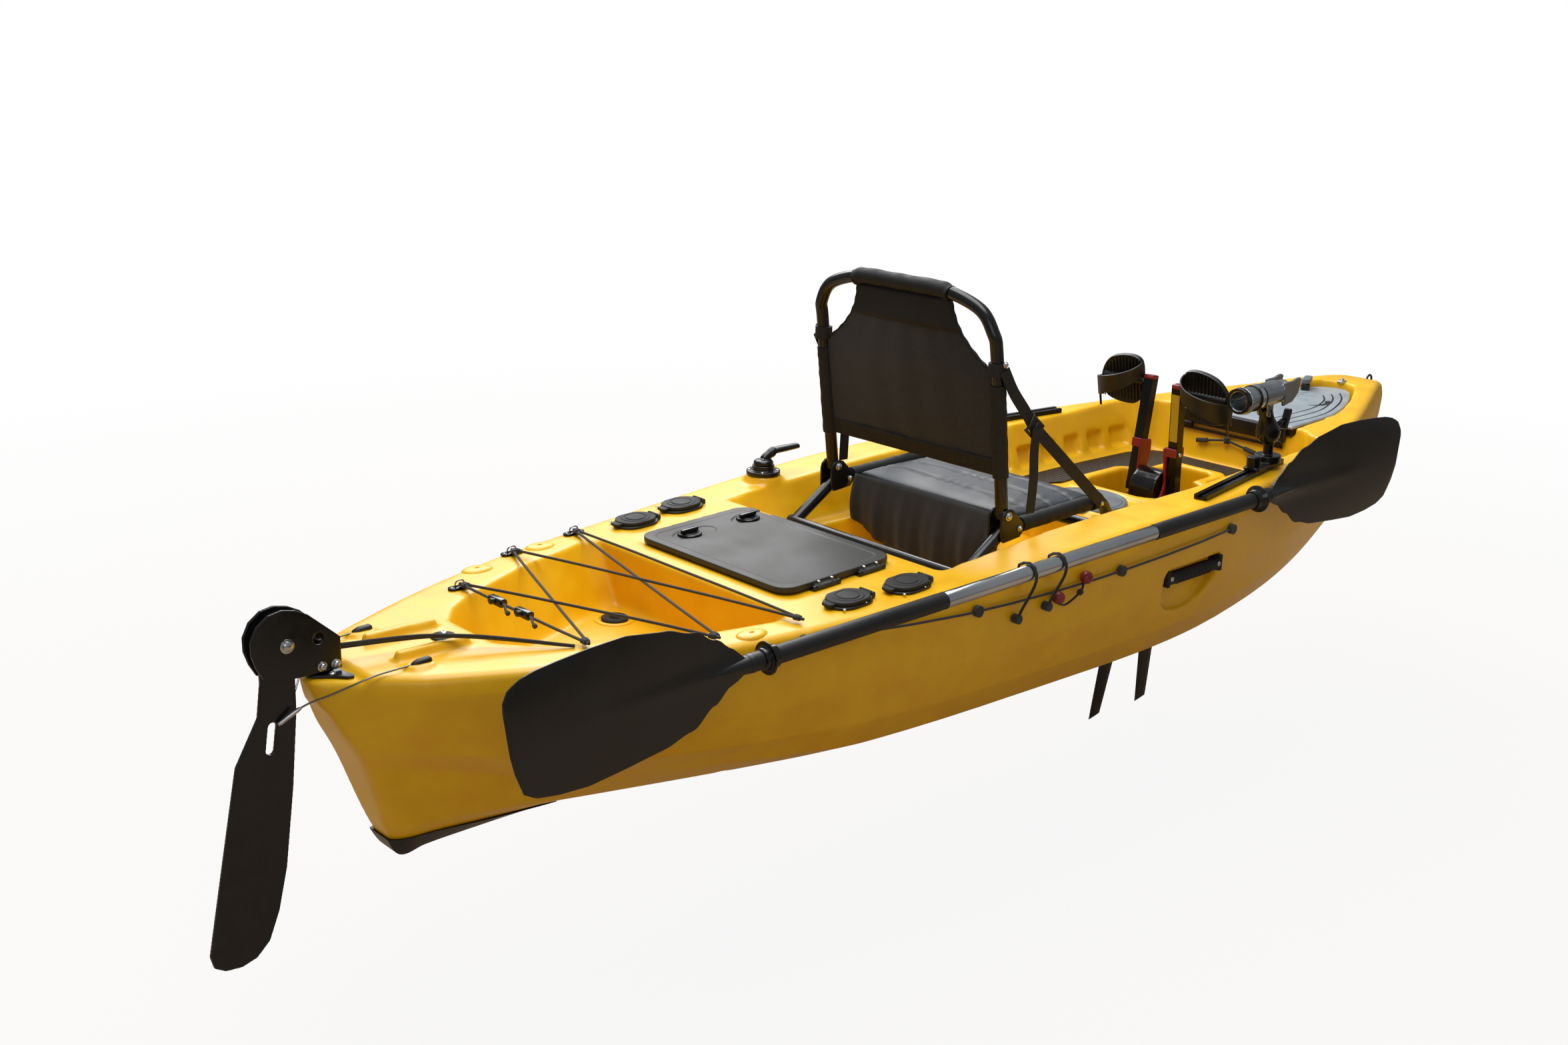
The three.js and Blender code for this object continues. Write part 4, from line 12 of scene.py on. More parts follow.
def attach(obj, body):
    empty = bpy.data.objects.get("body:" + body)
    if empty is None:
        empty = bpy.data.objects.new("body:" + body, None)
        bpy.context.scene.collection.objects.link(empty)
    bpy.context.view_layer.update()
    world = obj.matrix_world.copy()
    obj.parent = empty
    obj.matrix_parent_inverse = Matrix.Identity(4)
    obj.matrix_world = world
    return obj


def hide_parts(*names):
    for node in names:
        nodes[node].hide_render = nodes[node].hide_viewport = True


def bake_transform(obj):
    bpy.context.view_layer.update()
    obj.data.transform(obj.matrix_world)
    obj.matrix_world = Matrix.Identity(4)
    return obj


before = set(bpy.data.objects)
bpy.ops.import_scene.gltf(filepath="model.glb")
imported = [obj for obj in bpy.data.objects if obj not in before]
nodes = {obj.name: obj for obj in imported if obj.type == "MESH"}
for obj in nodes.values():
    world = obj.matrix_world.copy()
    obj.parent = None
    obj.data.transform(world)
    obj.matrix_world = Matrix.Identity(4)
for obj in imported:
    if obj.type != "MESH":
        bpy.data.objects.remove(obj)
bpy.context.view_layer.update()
scene = bpy.context.scene
scene.view_settings.view_transform = "Standard"

# The photograph's camera. It stands off the starboard quarter, a little above the seat, and its place
# was found from points of the kayak that lie at known heights and distances along the boat.
photo_width = 2352
focal_length_px = 2558
film_width = 36.0
camera_place = Vector((-2.709, -2.270, 1.329))
camera_azimuth = math.radians(-42.81)
camera_elevation = math.radians(16.74)
camera_roll = math.radians(1.39)

back = Vector((math.sin(camera_azimuth) * math.cos(camera_elevation),
               -math.cos(camera_azimuth) * math.cos(camera_elevation),
               math.sin(camera_elevation)))
level_right = (-back).cross(Vector((0, 0, 1))).normalized()
level_up = level_right.cross(-back)
right = level_right * math.cos(camera_roll) + level_up * math.sin(camera_roll)
up = -level_right * math.sin(camera_roll) + level_up * math.cos(camera_roll)
lens = bpy.data.cameras.new("photo_camera")
lens.sensor_fit = "HORIZONTAL"
lens.sensor_width = film_width
lens.lens = film_width * focal_length_px / photo_width
lens.clip_end = 200.0
camera = bpy.data.objects.new("photo_camera", lens)
camera.matrix_world = Matrix((right, up, back)).transposed().to_4x4()
camera.matrix_world.translation = camera_place
scene.collection.objects.link(camera)
scene.camera = camera


# The studio: a pale painted floor below the fins, a white surround, and broad soft lamps, of which the
# largest hangs over the port bow, as the daylight does in the photograph.
def linear(hex_colour):
    """An sRGB hex colour as the linear RGBA that a shader socket takes."""
    channels = [int(hex_colour[i:i + 2], 16) / 255 for i in (1, 3, 5)]
    return [c / 12.92 if c <= 0.04045 else ((c + 0.055) / 1.055) ** 2.4 for c in channels] + [1.0]


def add_node(tree, kind, settings=None, inputs=None, links=None):
    """One shader node, with its settings, its socket values and the outputs that feed it."""
    made = tree.nodes.new(kind)
    for name, value in (settings or {}).items():
        setattr(made, name, value)
    for name, value in (inputs or {}).items():
        made.inputs[name].default_value = value
    for name, source in (links or {}).items():
        tree.links.new(source, made.inputs[name])
    return made


def new_material(name):
    """An empty material and its node tree."""
    material = bpy.data.materials.new(name)
    material.use_nodes = True
    material.node_tree.nodes.clear()
    return material, material.node_tree


def object_place(tree):
    """The point on the piece itself, so that a pattern moves with it."""
    return add_node(tree, "ShaderNodeTexCoord").outputs["Object"]


def worked_out(tree, operation, *terms):
    """The result of one sum, from numbers or from the outputs of other nodes."""
    made = add_node(tree, "ShaderNodeMath", {"operation": operation})
    for i, term in enumerate(terms):
        if isinstance(term, float):
            made.inputs[i].default_value = term
        else:
            tree.links.new(term, made.inputs[i])
    return made.outputs[0]


def toned(tree, factor, *stops):
    """A colour that runs between stops, each a position and a hex colour."""
    ramp = add_node(tree, "ShaderNodeValToRGB", links={"Fac": factor})
    for element, (position, colour) in zip(ramp.color_ramp.elements, stops):
        element.position = position
        element.color = linear(colour)
    return ramp.outputs["Color"]


def noise(tree, place, scale, detail, **more):
    """Soft noise over a surface, as a share from 0 to 1."""
    settings = {"Scale": scale, "Detail": detail, **more}
    return add_node(tree, "ShaderNodeTexNoise", inputs=settings, links={"Vector": place}).outputs["Fac"]


def bumped(tree, height, strength, distance, normal=None, invert=False):
    """The surface's direction, tipped by a relief of one depth."""
    links = {"Height": height, "Normal": normal} if normal else {"Height": height}
    return add_node(tree, "ShaderNodeBump", {"invert": invert}, {"Strength": strength, "Distance": distance},
                    links).outputs["Normal"]


def finish_surface(tree, inputs, links):
    """Ends a material in one physically based surface."""
    shader = add_node(tree, "ShaderNodeBsdfPrincipled", inputs=inputs, links=links)
    add_node(tree, "ShaderNodeOutputMaterial", links={"Surface": shader.outputs["BSDF"]})


floor_height = -0.31
floor_size = 60.0
bpy.ops.mesh.primitive_grid_add(x_subdivisions=8, y_subdivisions=8, size=floor_size,
                                location=(0, 0, floor_height))
floor = bpy.context.object
floor.name = "studio_floor"
floor_paint, tree = new_material("pale_floor_paint")
rays = add_node(tree, "ShaderNodeLightPath")
away = add_node(tree, "ShaderNodeVectorMath", {"operation": "LENGTH"}, links={0: object_place(tree)})
whiteness = add_node(tree, "ShaderNodeMapRange", links={"Value": away.outputs["Value"]},
                     inputs={"From Min": 1.6, "From Max": 5.0, "To Min": 0.91, "To Max": 1.0})
seen_share = worked_out(tree, "MULTIPLY", rays.outputs["Is Camera Ray"], whiteness.outputs["Result"])
paint = add_node(tree, "ShaderNodeBsdfDiffuse", inputs={"Color": linear("#b3a08a")})
glow = add_node(tree, "ShaderNodeEmission", inputs={"Color": linear("#ffffff"), "Strength": 1.0})
mixed = add_node(tree, "ShaderNodeMixShader", links={0: seen_share, 1: paint.outputs[0], 2: glow.outputs[0]})
add_node(tree, "ShaderNodeOutputMaterial", links={"Surface": mixed.outputs[0]})
floor.data.materials.append(floor_paint)

surround = bpy.data.worlds.new("white_surround")
surround.use_nodes = True
scene.world = surround
tree = surround.node_tree
tree.nodes.clear()
rays = add_node(tree, "ShaderNodeLightPath")
seen = worked_out(tree, "MAXIMUM", rays.outputs["Is Camera Ray"], rays.outputs["Is Transmission Ray"])
room = add_node(tree, "ShaderNodeBackground", inputs={"Color": linear("#eef1f4"), "Strength": 0.30})
white = add_node(tree, "ShaderNodeBackground", inputs={"Color": linear("#ffffff"), "Strength": 1.0})
mixed = add_node(tree, "ShaderNodeMixShader", links={0: seen, 1: room.outputs[0], 2: white.outputs[0]})
add_node(tree, "ShaderNodeOutputWorld", links={"Surface": mixed.outputs[0]})

lamps = [
    ("window_lamp", (1.6, 3.4, 3.4), 3.6, 2.6, 190),
    ("overhead_lamp", (-0.4, 0.2, 3.6), 3.4, 2.2, 112),
    ("quarter_lamp", (-3.6, -3.2, 2.2), 2.4, 1.6, 16),
]
for name, place, width, depth, power in lamps:
    lamp = bpy.data.lights.new(name, "AREA")
    lamp.shape = "RECTANGLE"
    lamp.size = width
    lamp.size_y = depth
    lamp.energy = power
    holder = bpy.data.objects.new(name, lamp)
    holder.location = place
    holder.rotation_euler = (Vector((0, 0, 0.2)) - Vector(place)).to_track_quat("-Z", "Y").to_euler()
    scene.collection.objects.link(holder)


# The hull: one hollow shell of yellow polyethylene, rotomoulded in a heated tool, so every edge is a soft
# radius and the skin has a faint satin ripple. The wells, the drive well's rim and the hatch boss are
# all part of that one moulding. Tables run along the boat in shares of its half beam, height and lengths.
half_beam = 0.421
stern_length = 1.600
bow_length = 1.590
sheer_height = 0.380
breadth_shares = [(-1, 0.02), (-0.9975, 0.045), (-0.9925, 0.068), (-0.985, 0.095), (-0.975, 0.133),
                  (-0.963, 0.182), (-0.95, 0.233), (-0.931, 0.295), (-0.915, 0.34), (-0.78, 0.585),
                  (-0.628, 0.782), (-0.387, 0.931), (-0.19, 0.985), (-0.03, 1), (0.12, 0.997), (0.2, 0.975),
                  (0.323, 0.912), (0.43, 0.84), (0.56, 0.71), (0.69, 0.545), (0.83, 0.333), (0.911, 0.205),
                  (0.965, 0.118), (0.99, 0.062), (1, 0.018)]
sheer_shares = [(-1, 0.884), (-0.975, 0.9), (-0.915, 0.906), (-0.63, 0.9), (-0.388, 0.926), (-0.08, 0.995),
                (0.19, 1.01), (0.38, 1.022), (0.57, 1.043), (0.755, 1.068), (0.9, 1.1), (0.96, 1.075),
                (0.99, 0.98), (1, 0.9)]
keel_shares = [(-1, 0.865), (-0.992, 0.77), (-0.985, 0.73), (-0.976, 0.64), (-0.956, 0.466),
               (-0.93, 0.134), (-0.9125, 0.005), (-0.88, 0), (-0.3, 0), (0.19, 0), (0.25, 0), (0.5, 0.012),
               (0.7, 0.05), (0.84, 0.11), (0.9, 0.155), (0.95, 0.25), (0.98, 0.4), (0.992, 0.55), (1, 0.72)]
flat_shares = [(-1, 0.02), (-0.985, 0.09), (-0.95, 0.1), (-0.915, 0.05), (-0.85, 0.03), (-0.7, 0.05),
               (-0.5, 0.17), (-0.25, 0.3), (0.2, 0.3), (0.45, 0.2), (0.65, 0.1), (0.85, 0.035), (1, 0.008)]
chine_breadth_shares = [(-1, 0.03), (-0.985, 0.12), (-0.956, 0.15), (-0.91, 0.17), (-0.82, 0.25),
                        (-0.69, 0.4), (-0.5, 0.655), (-0.42, 0.72), (-0.15, 0.72), (0.16, 0.72),
                        (0.35, 0.67), (0.54, 0.53), (0.73, 0.35), (0.88, 0.16), (0.96, 0.06), (1, 0.012)]
chine_height_shares = [(-1, 0.873), (-0.985, 0.755), (-0.956, 0.52), (-0.93, 0.46), (-0.88, 0.4),
                       (-0.8, 0.31), (-0.69, 0.225), (-0.5, 0.2), (-0.42, 0.185), (-0.15, 0.135),
                       (0.16, 0.12), (0.35, 0.165), (0.54, 0.22), (0.73, 0.36), (0.88, 0.5), (0.96, 0.6),
                       (0.99, 0.7), (1, 0.78)]


def place_at(share):
    """A share of the stern's or the bow's length as a place along the boat."""
    return share * stern_length if share < 0 else share * bow_length


def faired(rows, unit):
    """A smooth curve through a table of shares, as a fair batten runs through its marks."""
    places = [place_at(share) for share, _ in rows]
    values = [value * unit for _, value in rows]
    last = len(rows) - 1
    slopes = [(values[min(i + 1, last)] - values[max(i - 1, 0)])
              / (places[min(i + 1, last)] - places[max(i - 1, 0)]) for i in range(last + 1)]

    def value_at(x):
        i = min(max(sum(1 for place in places if place <= x) - 1, 0), last - 1)
        span = places[i + 1] - places[i]
        t = min(max((x - places[i]) / span, 0), 1)
        return ((2 * t ** 3 - 3 * t ** 2 + 1) * values[i] + (t ** 3 - 2 * t ** 2 + t) * span * slopes[i]
                + (3 * t ** 2 - 2 * t ** 3) * values[i + 1] + (t ** 3 - t ** 2) * span * slopes[i + 1])

    return value_at


breadth = faired(breadth_shares, half_beam)
sheer = faired(sheer_shares, sheer_height)
keel = faired(keel_shares, sheer_height)
flat = faired(flat_shares, half_beam)
chine_breadth = faired(chine_breadth_shares, half_beam)
chine_height = faired(chine_height_shares, sheer_height)


def half_section(x):
    """Half of one section of the hull, from the flat of the bottom up to the gunwale's top."""
    b = max(breadth(x), 0.001)
    s = sheer(x)
    k = keel(x)
    f = max(min(flat(x), b * 0.9), 0.0005)
    c = max(min(chine_breadth(x), b * 0.96), f + 0.0002)
    h = min(max(chine_height(x), k + 0.0005), s - 0.002)
    roll = min(0.018, b * 0.4, (s - h) * 0.3)
    side = b - c
    rise = s - h
    return [(f, k), (f + (c - f) * 0.6, k + (h - k) * 0.38), (c, h), (c + side * 0.52, h + rise * 0.22),
            (c + side * 0.85, h + rise * 0.5), (b, s - roll - rise * 0.08),
            (b - roll * 0.3, s - roll * 0.35), (b - roll, s)]


def mesh_object(name, points, faces, smooth=True):
    """A new mesh object in the boat's frame."""
    mesh = bpy.data.meshes.new(name)
    mesh.from_pydata([tuple(p) for p in points], [], faces)
    mesh.validate()
    mesh.update()
    if smooth:
        mesh.polygons.foreach_set("use_smooth", [True] * len(mesh.polygons))
    made = bpy.data.objects.new(name, mesh)
    scene.collection.objects.link(made)
    return made


def lofted(name, rings, closed=True, smooth=True):
    """A skin through rings of points, capped at both ends where it is closed."""
    count = len(rings[0])
    points = [p for ring in rings for p in ring]
    around = count if closed else count - 1
    faces = [(i * count + j, i * count + (j + 1) % count, (i + 1) * count + (j + 1) % count,
              (i + 1) * count + j) for i in range(len(rings) - 1) for j in range(around)]
    if closed:
        faces.append(tuple(reversed(range(count))))
        faces.append(tuple((len(rings) - 1) * count + j for j in range(count)))
    made = mesh_object(name, points, faces, smooth)
    if closed:
        outward(made)
    return made


def outward(made):
    """Turns every face of a closed mesh outwards."""
    shell = bmesh.new()
    shell.from_mesh(made.data)
    bmesh.ops.recalc_face_normals(shell, faces=shell.faces)
    shell.to_mesh(made.data)
    shell.free()
    return made


def applied(made, kind, **settings):
    """Adds one modifier, sets it and applies it to the mesh at once."""
    modifier = made.modifiers.new(kind.lower(), kind)
    for name, value in settings.items():
        setattr(modifier, name, value)
    depsgraph = bpy.context.evaluated_depsgraph_get()
    mesh = bpy.data.meshes.new_from_object(made.evaluated_get(depsgraph))
    made.modifiers.remove(modifier)
    old = made.data
    made.data = mesh
    bpy.data.meshes.remove(old)
    return made


def prism(name, outline_points, low, high, axis="z", smooth=False):
    """An outline drawn straight through along one axis."""
    def at(point, level):
        a, b = point
        return (a, b, level) if axis == "z" else (a, level, b) if axis == "y" else (level, a, b)
    rings = [[at(point, level) for point in outline_points] for level in (low, high)]
    return lofted(name, rings, smooth=smooth)


def rounded_outline(length, width, radius, steps=6):
    """A rectangle with round corners, about its own middle."""
    corners = [(1, 1, 0), (-1, 1, 90), (-1, -1, 180), (1, -1, 270)]
    points = []
    for sx, sy, start in corners:
        for i in range(steps + 1):
            turn = math.radians(start + 90 * i / steps)
            points.append((sx * (length / 2 - radius) + radius * math.cos(turn),
                           sy * (width / 2 - radius) + radius * math.sin(turn)))
    return points


def circle(radius, count=32, middle=(0, 0)):
    """Points of a circle."""
    return [(middle[0] + radius * math.cos(2 * math.pi * i / count),
             middle[1] + radius * math.sin(2 * math.pi * i / count)) for i in range(count)]


def cut_from(body, *tools):
    """Cuts closed meshes out of a body and removes them."""
    for tool in tools:
        applied(body, "BOOLEAN", operation="DIFFERENCE", object=tool, solver="EXACT")
        bpy.data.objects.remove(tool)
    return body


def joined(body, *others):
    """Puts other meshes into the body's own mesh, as they are."""
    shell = bmesh.new()
    shell.from_mesh(body.data)
    for other in others:
        other.data.transform(other.matrix_world)
        shell.from_mesh(other.data)
        bpy.data.objects.remove(other)
    shell.to_mesh(body.data)
    shell.free()
    return body


def moved(made, *place):
    """Shifts a piece by a distance along each axis."""
    made.data.transform(Matrix.Translation(place))
    return made


def softened(body, voxel, passes):
    """Gives a body the soft radii of a moulding: a fine even skin, then a few passes of smoothing."""
    applied(body, "REMESH", mode="VOXEL", voxel_size=voxel, use_smooth_shade=True)
    applied(body, "SMOOTH", factor=0.5, iterations=passes)
    return body


def coated(made, material):
    """Gives a new piece its material."""
    made.data.materials.clear()
    made.data.materials.append(material)
    return made


def dressed(made, material, body, slot, *replaced):
    """Gives a new piece its material and its body, and lets it stand for CAD nodes."""
    coated(made, material)
    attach(made, body)
    if replaced:
        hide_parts(*replaced)
    return made


def smooth(made, angle=35):
    """Smooth shading, apart from edges sharper than an angle in degrees."""
    made.data.polygons.foreach_set("use_smooth", [True] * len(made.data.polygons))
    made.data.set_sharp_from_angle(angle=math.radians(angle))
    return made


def whole_section(x, half):
    """Both halves of a section as one ring of points."""
    return [(x, -y, z) for y, z in half] + [(x, y, z) for y, z in reversed(half)]


station_count = 170
stations = [-stern_length + (bow_length + stern_length) * (0.5 - 0.5 * math.cos(math.pi * i / station_count))
            for i in range(station_count + 1)]
hull = lofted("hull_shell", [whole_section(x, half_section(x)) for x in stations])

over = 0.03
seat_floor, ledge, foot_floor, tank_floor, drive_floor = 0.180, 0.286, 0.270, 0.226, 0.110
platform_front, platform_back = -0.492, -0.842
seat_well_front, bulkhead = 0.246, 0.872
gunwale = 0.118
well_corner = 0.014


def inside(x, margin):
    """Half width of the cockpit's mouth, a margin inside the gunwale's edge."""
    return breadth(x) - margin


cockpit_rows = [
    (platform_front, ledge, 0.248, inside(platform_front, 0.100)),
    (-0.440, ledge, 0.262, inside(-0.440, 0.104)),
    (-0.200, ledge, 0.262, inside(-0.200, gunwale)),
    (seat_well_front, ledge, 0.262, inside(seat_well_front, 0.112)),
    (seat_well_front + 0.030, foot_floor, 0.256, inside(seat_well_front + 0.030, 0.110)),
    (0.500, foot_floor, 0.256, inside(0.500, 0.092)),
    (0.780, foot_floor, 0.252, inside(0.780, 0.042)),
    (bulkhead - 0.020, foot_floor, 0.226, inside(bulkhead - 0.020, 0.034)),
    (bulkhead, foot_floor, 0.205, 0.228),
    (bulkhead + 0.026, sheer(bulkhead) - 0.012, 0.200, 0.206),
]
seat_rows = [
    (platform_front + 0.012, seat_floor, 0.176, 0.216),
    (platform_front + 0.060, seat_floor, 0.196, 0.226),
    (seat_well_front - 0.060, seat_floor, 0.196, 0.226),
    (seat_well_front, seat_floor, 0.156, 0.196),
]
tank_rows = [
    (-1.300, 0.318, 0.060, 0.074),
    (-1.262, 0.250, 0.072, 0.118),
    (-1.215, tank_floor, 0.092, 0.152),
    (-1.030, tank_floor, 0.168, 0.240),
    (platform_back - 0.040, tank_floor, 0.222, 0.282),
    (platform_back, tank_floor, 0.216, 0.272),
]


def trough(name, rows):
    """A well let down from the deck: its floor, its half width there and at the deck, along the boat."""
    well = []
    for x, floor_level, half, top in rows:
        lean = (top - half) / max(sheer(x) - floor_level, 0.001)
        above = sheer(x) + over
        wide = half + lean * (above - floor_level)
        well.append([(x, y, z)
                     for y, z in ((-wide, above), (-half, floor_level + well_corner),
                                  (-half + well_corner, floor_level), (half - well_corner, floor_level),
                                  (half, floor_level + well_corner), (wide, above))])
    return lofted(name, well)


well_back, well_shoulder, well_front = 0.438, 0.655, 0.752
well_half, nose_half, well_radius = 0.116, 0.060, 0.070


def keyhole(grow):
    """Plan of the drive well: round at the back, drawn in to a nose at the front."""
    rear, wide, nose = well_back - grow, well_half + grow, nose_half + grow
    points = [(well_shoulder - 0.030, -wide), (well_shoulder + grow, -nose),
              (well_front + grow - 0.020, -nose), (well_front + grow, -nose + 0.020),
              (well_front + grow, nose - 0.020), (well_front + grow - 0.020, nose),
              (well_shoulder + grow, nose), (well_shoulder - 0.030, wide)]
    for i in range(17):
        turn = math.pi / 2 + math.pi * i / 16
        side = 1 if i <= 8 else -1
        points.append((rear + well_radius + well_radius * math.cos(turn),
                       side * (wide - well_radius) + well_radius * math.sin(turn)))
    return points


front_shoulder, front_nose = 1.085, 1.392
front_floor = 0.374


def curved(t, start, control, end):
    """A value on a curve from start to end, drawn towards a control value."""
    return (1 - t) ** 2 * start + 2 * t * (1 - t) * control + t * t * end


def front_plan(grow):
    """The front hatch's half widths at its back, shoulder and tip, its front end, and its curve's bend."""
    shoulder, tip, front = 0.158 + grow, 0.044 + grow / 2, front_nose + grow
    return 0.168 + grow, shoulder, tip, front, ((front_shoulder + front) / 2, (shoulder + tip) / 2 + 0.024)


def front_outline(grow, rear):
    """Plan of the front hatch: square at the back, bowed in to a blunt nose."""
    wide, shoulder, tip, front, bend = front_plan(grow)
    points = [(rear - grow, -wide)]
    for i in range(13):
        t = i / 12
        points.append((curved(t, front_shoulder, bend[0], front - 0.012),
                       -curved(t, shoulder, bend[1], tip)))
    for i in range(1, 6):
        t = i / 6
        points.append(((front - 0.012) + 0.048 * t * (1 - t), tip * (2 * t - 1)))
    return points + [(x, -y) for x, y in reversed(points[:14])]


def on_deck(made, x, y, lift=0.0):
    """Lays a piece that was made about the origin on the deck, along its slope."""
    slope = math.atan2(sheer(x + 0.03) - sheer(x - 0.03), 0.06)
    made.data.transform(Matrix.Translation((x, y, sheer(x) + lift)) @ Matrix.Rotation(-slope, 4, "Y"))
    return made


def ring_about(centre, turn, radius, height, sides):
    """Points on a circle whose axis is the upright, turned and moved to a centre."""
    return [centre
            + turn @ Vector((radius * math.cos(2 * math.pi * i / sides),
                             radius * math.sin(2 * math.pi * i / sides), height)) for i in range(sides)]


def tube_between(name, a, b, radius, end_radius=None, sides=32):
    """A straight round bar, tapered where the ends differ."""
    a, b = Vector(a), Vector(b)
    run = (b - a).normalized()
    turn = Vector((0, 0, 1)).rotation_difference(run)
    ends = ((a, radius), (b, radius if end_radius is None else end_radius))
    return lofted(name, [ring_about(at, turn, r, 0, sides) for at, r in ends])


lid_place, lid_length, lid_width = -0.657, 0.276, 0.420
round_lid_place, round_lid_radius, boss_radius, boss_top = 0.318, 0.098, 0.118, 0.274
pocket_place, pocket_half, pocket_depth = 0.160, 0.096, 0.052
pocket_middle, pocket_top, pocket_drop = 0.232, 0.268, 0.071
rod_cup_places = [(-0.729, 0.300), (-0.599, 0.317)]
scupper_places = [(-0.894, 0.150), (-0.380, 0.120)]
lever_place = (-0.356, 0.339)
nose_height, nose_front = 0.334, -1.530

pocket_outline = [(pocket_place + pocket_half, pocket_top), (pocket_place - pocket_half, pocket_top)]
pocket_outline += [(pocket_place + pocket_half * math.cos(math.pi * (1 + i / 24)),
                    pocket_middle + pocket_drop * math.sin(math.pi * (1 + i / 24))) for i in range(25)]
tools = [
    trough("cockpit", cockpit_rows),
    trough("seat_well", seat_rows),
    trough("tank_well", tank_rows),
    prism("drive_well", keyhole(0), drive_floor, 0.5),
    prism("drive_slot", [(0.455, -0.040), (0.700, -0.040), (0.700, 0.040), (0.455, 0.040)], -over, 0.3),
    on_deck(prism("lid_seat", rounded_outline(lid_length + 0.008, lid_width + 0.034, 0.034), -0.0016, over),
            lid_place, 0),
    prism("front_recess", front_outline(0.005, bulkhead + 0.005), front_floor, 0.6),
    prism("nose_flat", [(-1.7, -0.5), (nose_front, -0.5), (nose_front, 0.5), (-1.7, 0.5)], nose_height, 0.6),
]
for side in (-1, 1):
    near, far = sorted((side * (half_beam - pocket_depth), side * (half_beam + over)))
    tools.append(prism("pocket", pocket_outline, near, far, "y"))
    for x, y in scupper_places:
        tools.append(prism("scupper", circle(0.017, 24, (x, side * y)), -over, 0.29))
cut_from(hull, *tools)

# Pleats stiffen the inner walls of the footwell. Between them the wall stands back by the pleats' depth.
pleat_first, pleat_pitch, pleat_length, pleat_count, pleat_depth = 0.318, 0.088, 0.056, 6, 0.012
pleat_foot, pleat_head = 0.285, 0.332


def wall_at(x, z):
    """Half width of the cockpit at a height on its side wall."""
    i = max(i for i, row in enumerate(cockpit_rows[:-1]) if row[0] <= x)
    t = (x - cockpit_rows[i][0]) / (cockpit_rows[i + 1][0] - cockpit_rows[i][0])
    low, half, top = [cockpit_rows[i][k] * (1 - t) + cockpit_rows[i + 1][k] * t for k in (1, 2, 3)]
    return half + (top - half) * (z - low) / (sheer(x) - low)


for side in (-1, 1):
    for i in range(pleat_count):
        x = pleat_first + i * pleat_pitch
        ring = []
        for end in (x, x + pleat_length):
            ring.append([(end, side * (wall_at(end, z) + grow), z) for z, grow in
                         ((pleat_foot, -0.03), (pleat_foot, pleat_depth), (pleat_head - 0.008, pleat_depth),
                          (pleat_head, 0.0), (pleat_head, -0.03))])
        cut_from(hull, lofted("pleat", ring))

# What stands up from the moulding: the rim round the drive well, the round hatch's boss, the lever's
# cone, the two saddle ridges where the folded rudder lies, and the ribs of the seat well's floor.
rim = cut_from(prism("well_rim", keyhole(0.025), foot_floor - 0.02, 0.283),
               prism("rim_bore", keyhole(0), 0.2, 0.3),
               prism("rim_gap", circle(round_lid_radius + 0.006, 48, (round_lid_place, 0)), boss_top, 0.3))
risers = [rim, tube_between("boss", (round_lid_place, 0, seat_floor - 0.03), (round_lid_place, 0, boss_top),
                            boss_radius, sides=64),
          tube_between("lever_cone", (*lever_place, 0.35), (*lever_place, 0.380), 0.046, 0.038)]
for side in (-1, 1):
    ridge = prism("saddle_ridge", rounded_outline(0.135, 0.018, 0.008), -0.01, 0.016)
    risers.append(on_deck(ridge, -1.4025, side * 0.050))
    cable_cone = prism("cable_cone", rounded_outline(0.046, 0.034, 0.016), -0.01, 0.007)
    risers.append(on_deck(cable_cone, -1.449, side * 0.091))
rib_half, rib_top = 0.012, seat_floor + 0.010
for i in range(-2, 3):
    y = i * 0.072
    front = seat_well_front - 0.066 - (0.066 if abs(y) < boss_radius else 0)
    risers.append(prism("floor_rib", rounded_outline(front - platform_front - 0.066, 2 * rib_half, 0.010),
                        seat_floor - 0.02, rib_top))
    moved(risers[-1], (front + platform_front + 0.066) / 2, y, 0)
joined(hull, *risers)
hull_voxel = 0.005
softened(hull, hull_voxel, 7)

# Openings under the hatches, and the holes for the rod tubes, are cut after the moulding, with crisp edges.
openings = [
    on_deck(prism("centre_opening", rounded_outline(0.214, 0.330, 0.024), -0.18, over), lid_place, 0),
    prism("round_opening", circle(0.080, 64, (round_lid_place, 0)), 0.12, 0.3),
    prism("front_opening", [(0.960, -0.120), (1.290, -0.056), (1.290, 0.056), (0.960, 0.120)], 0.26, 0.5),
]
for x, y in rod_cup_places:
    for side in (-1, 1):
        top = Vector((x, side * y, sheer(x)))
        lean = Vector((0.42, -side * 0.1, -1)).normalized()
        openings.append(tube_between("rod_opening", top - lean * 0.02, top + lean * 0.19, 0.0245))
cut_from(hull, *openings)
smooth(hull, 50)

# Rotomoulded polyethylene: satin, a little waxy, with a fine ripple in the skin.
moulded_polyethylene, tree = new_material("yellow_rotomoulded_polyethylene")
place = object_place(tree)
ripple_size, grain_size = 0.060, 0.0022
ripple = noise(tree, place, 1 / ripple_size, 3.0, Roughness=0.5)
grain = noise(tree, place, 1 / grain_size, 2.0)
sheen_spots = add_node(tree, "ShaderNodeMapRange", links={"Value": ripple},
                       inputs={"From Min": 0.3, "From Max": 0.7, "To Min": 0.30, "To Max": 0.42})
skin_relief = bumped(tree, grain, 0.08, 0.0002, bumped(tree, ripple, 0.25, 0.0012))
finish_surface(tree, {"IOR": 1.51, "Specular IOR Level": 0.5},
               {"Base Color": toned(tree, ripple, (0.3, "#efb203"), (0.7, "#f6bf0c")),
                "Roughness": sheen_spots.outputs["Result"], "Normal": skin_relief})
dressed(hull, moulded_polyethylene, "kayak", "hull_plastic", "hull")

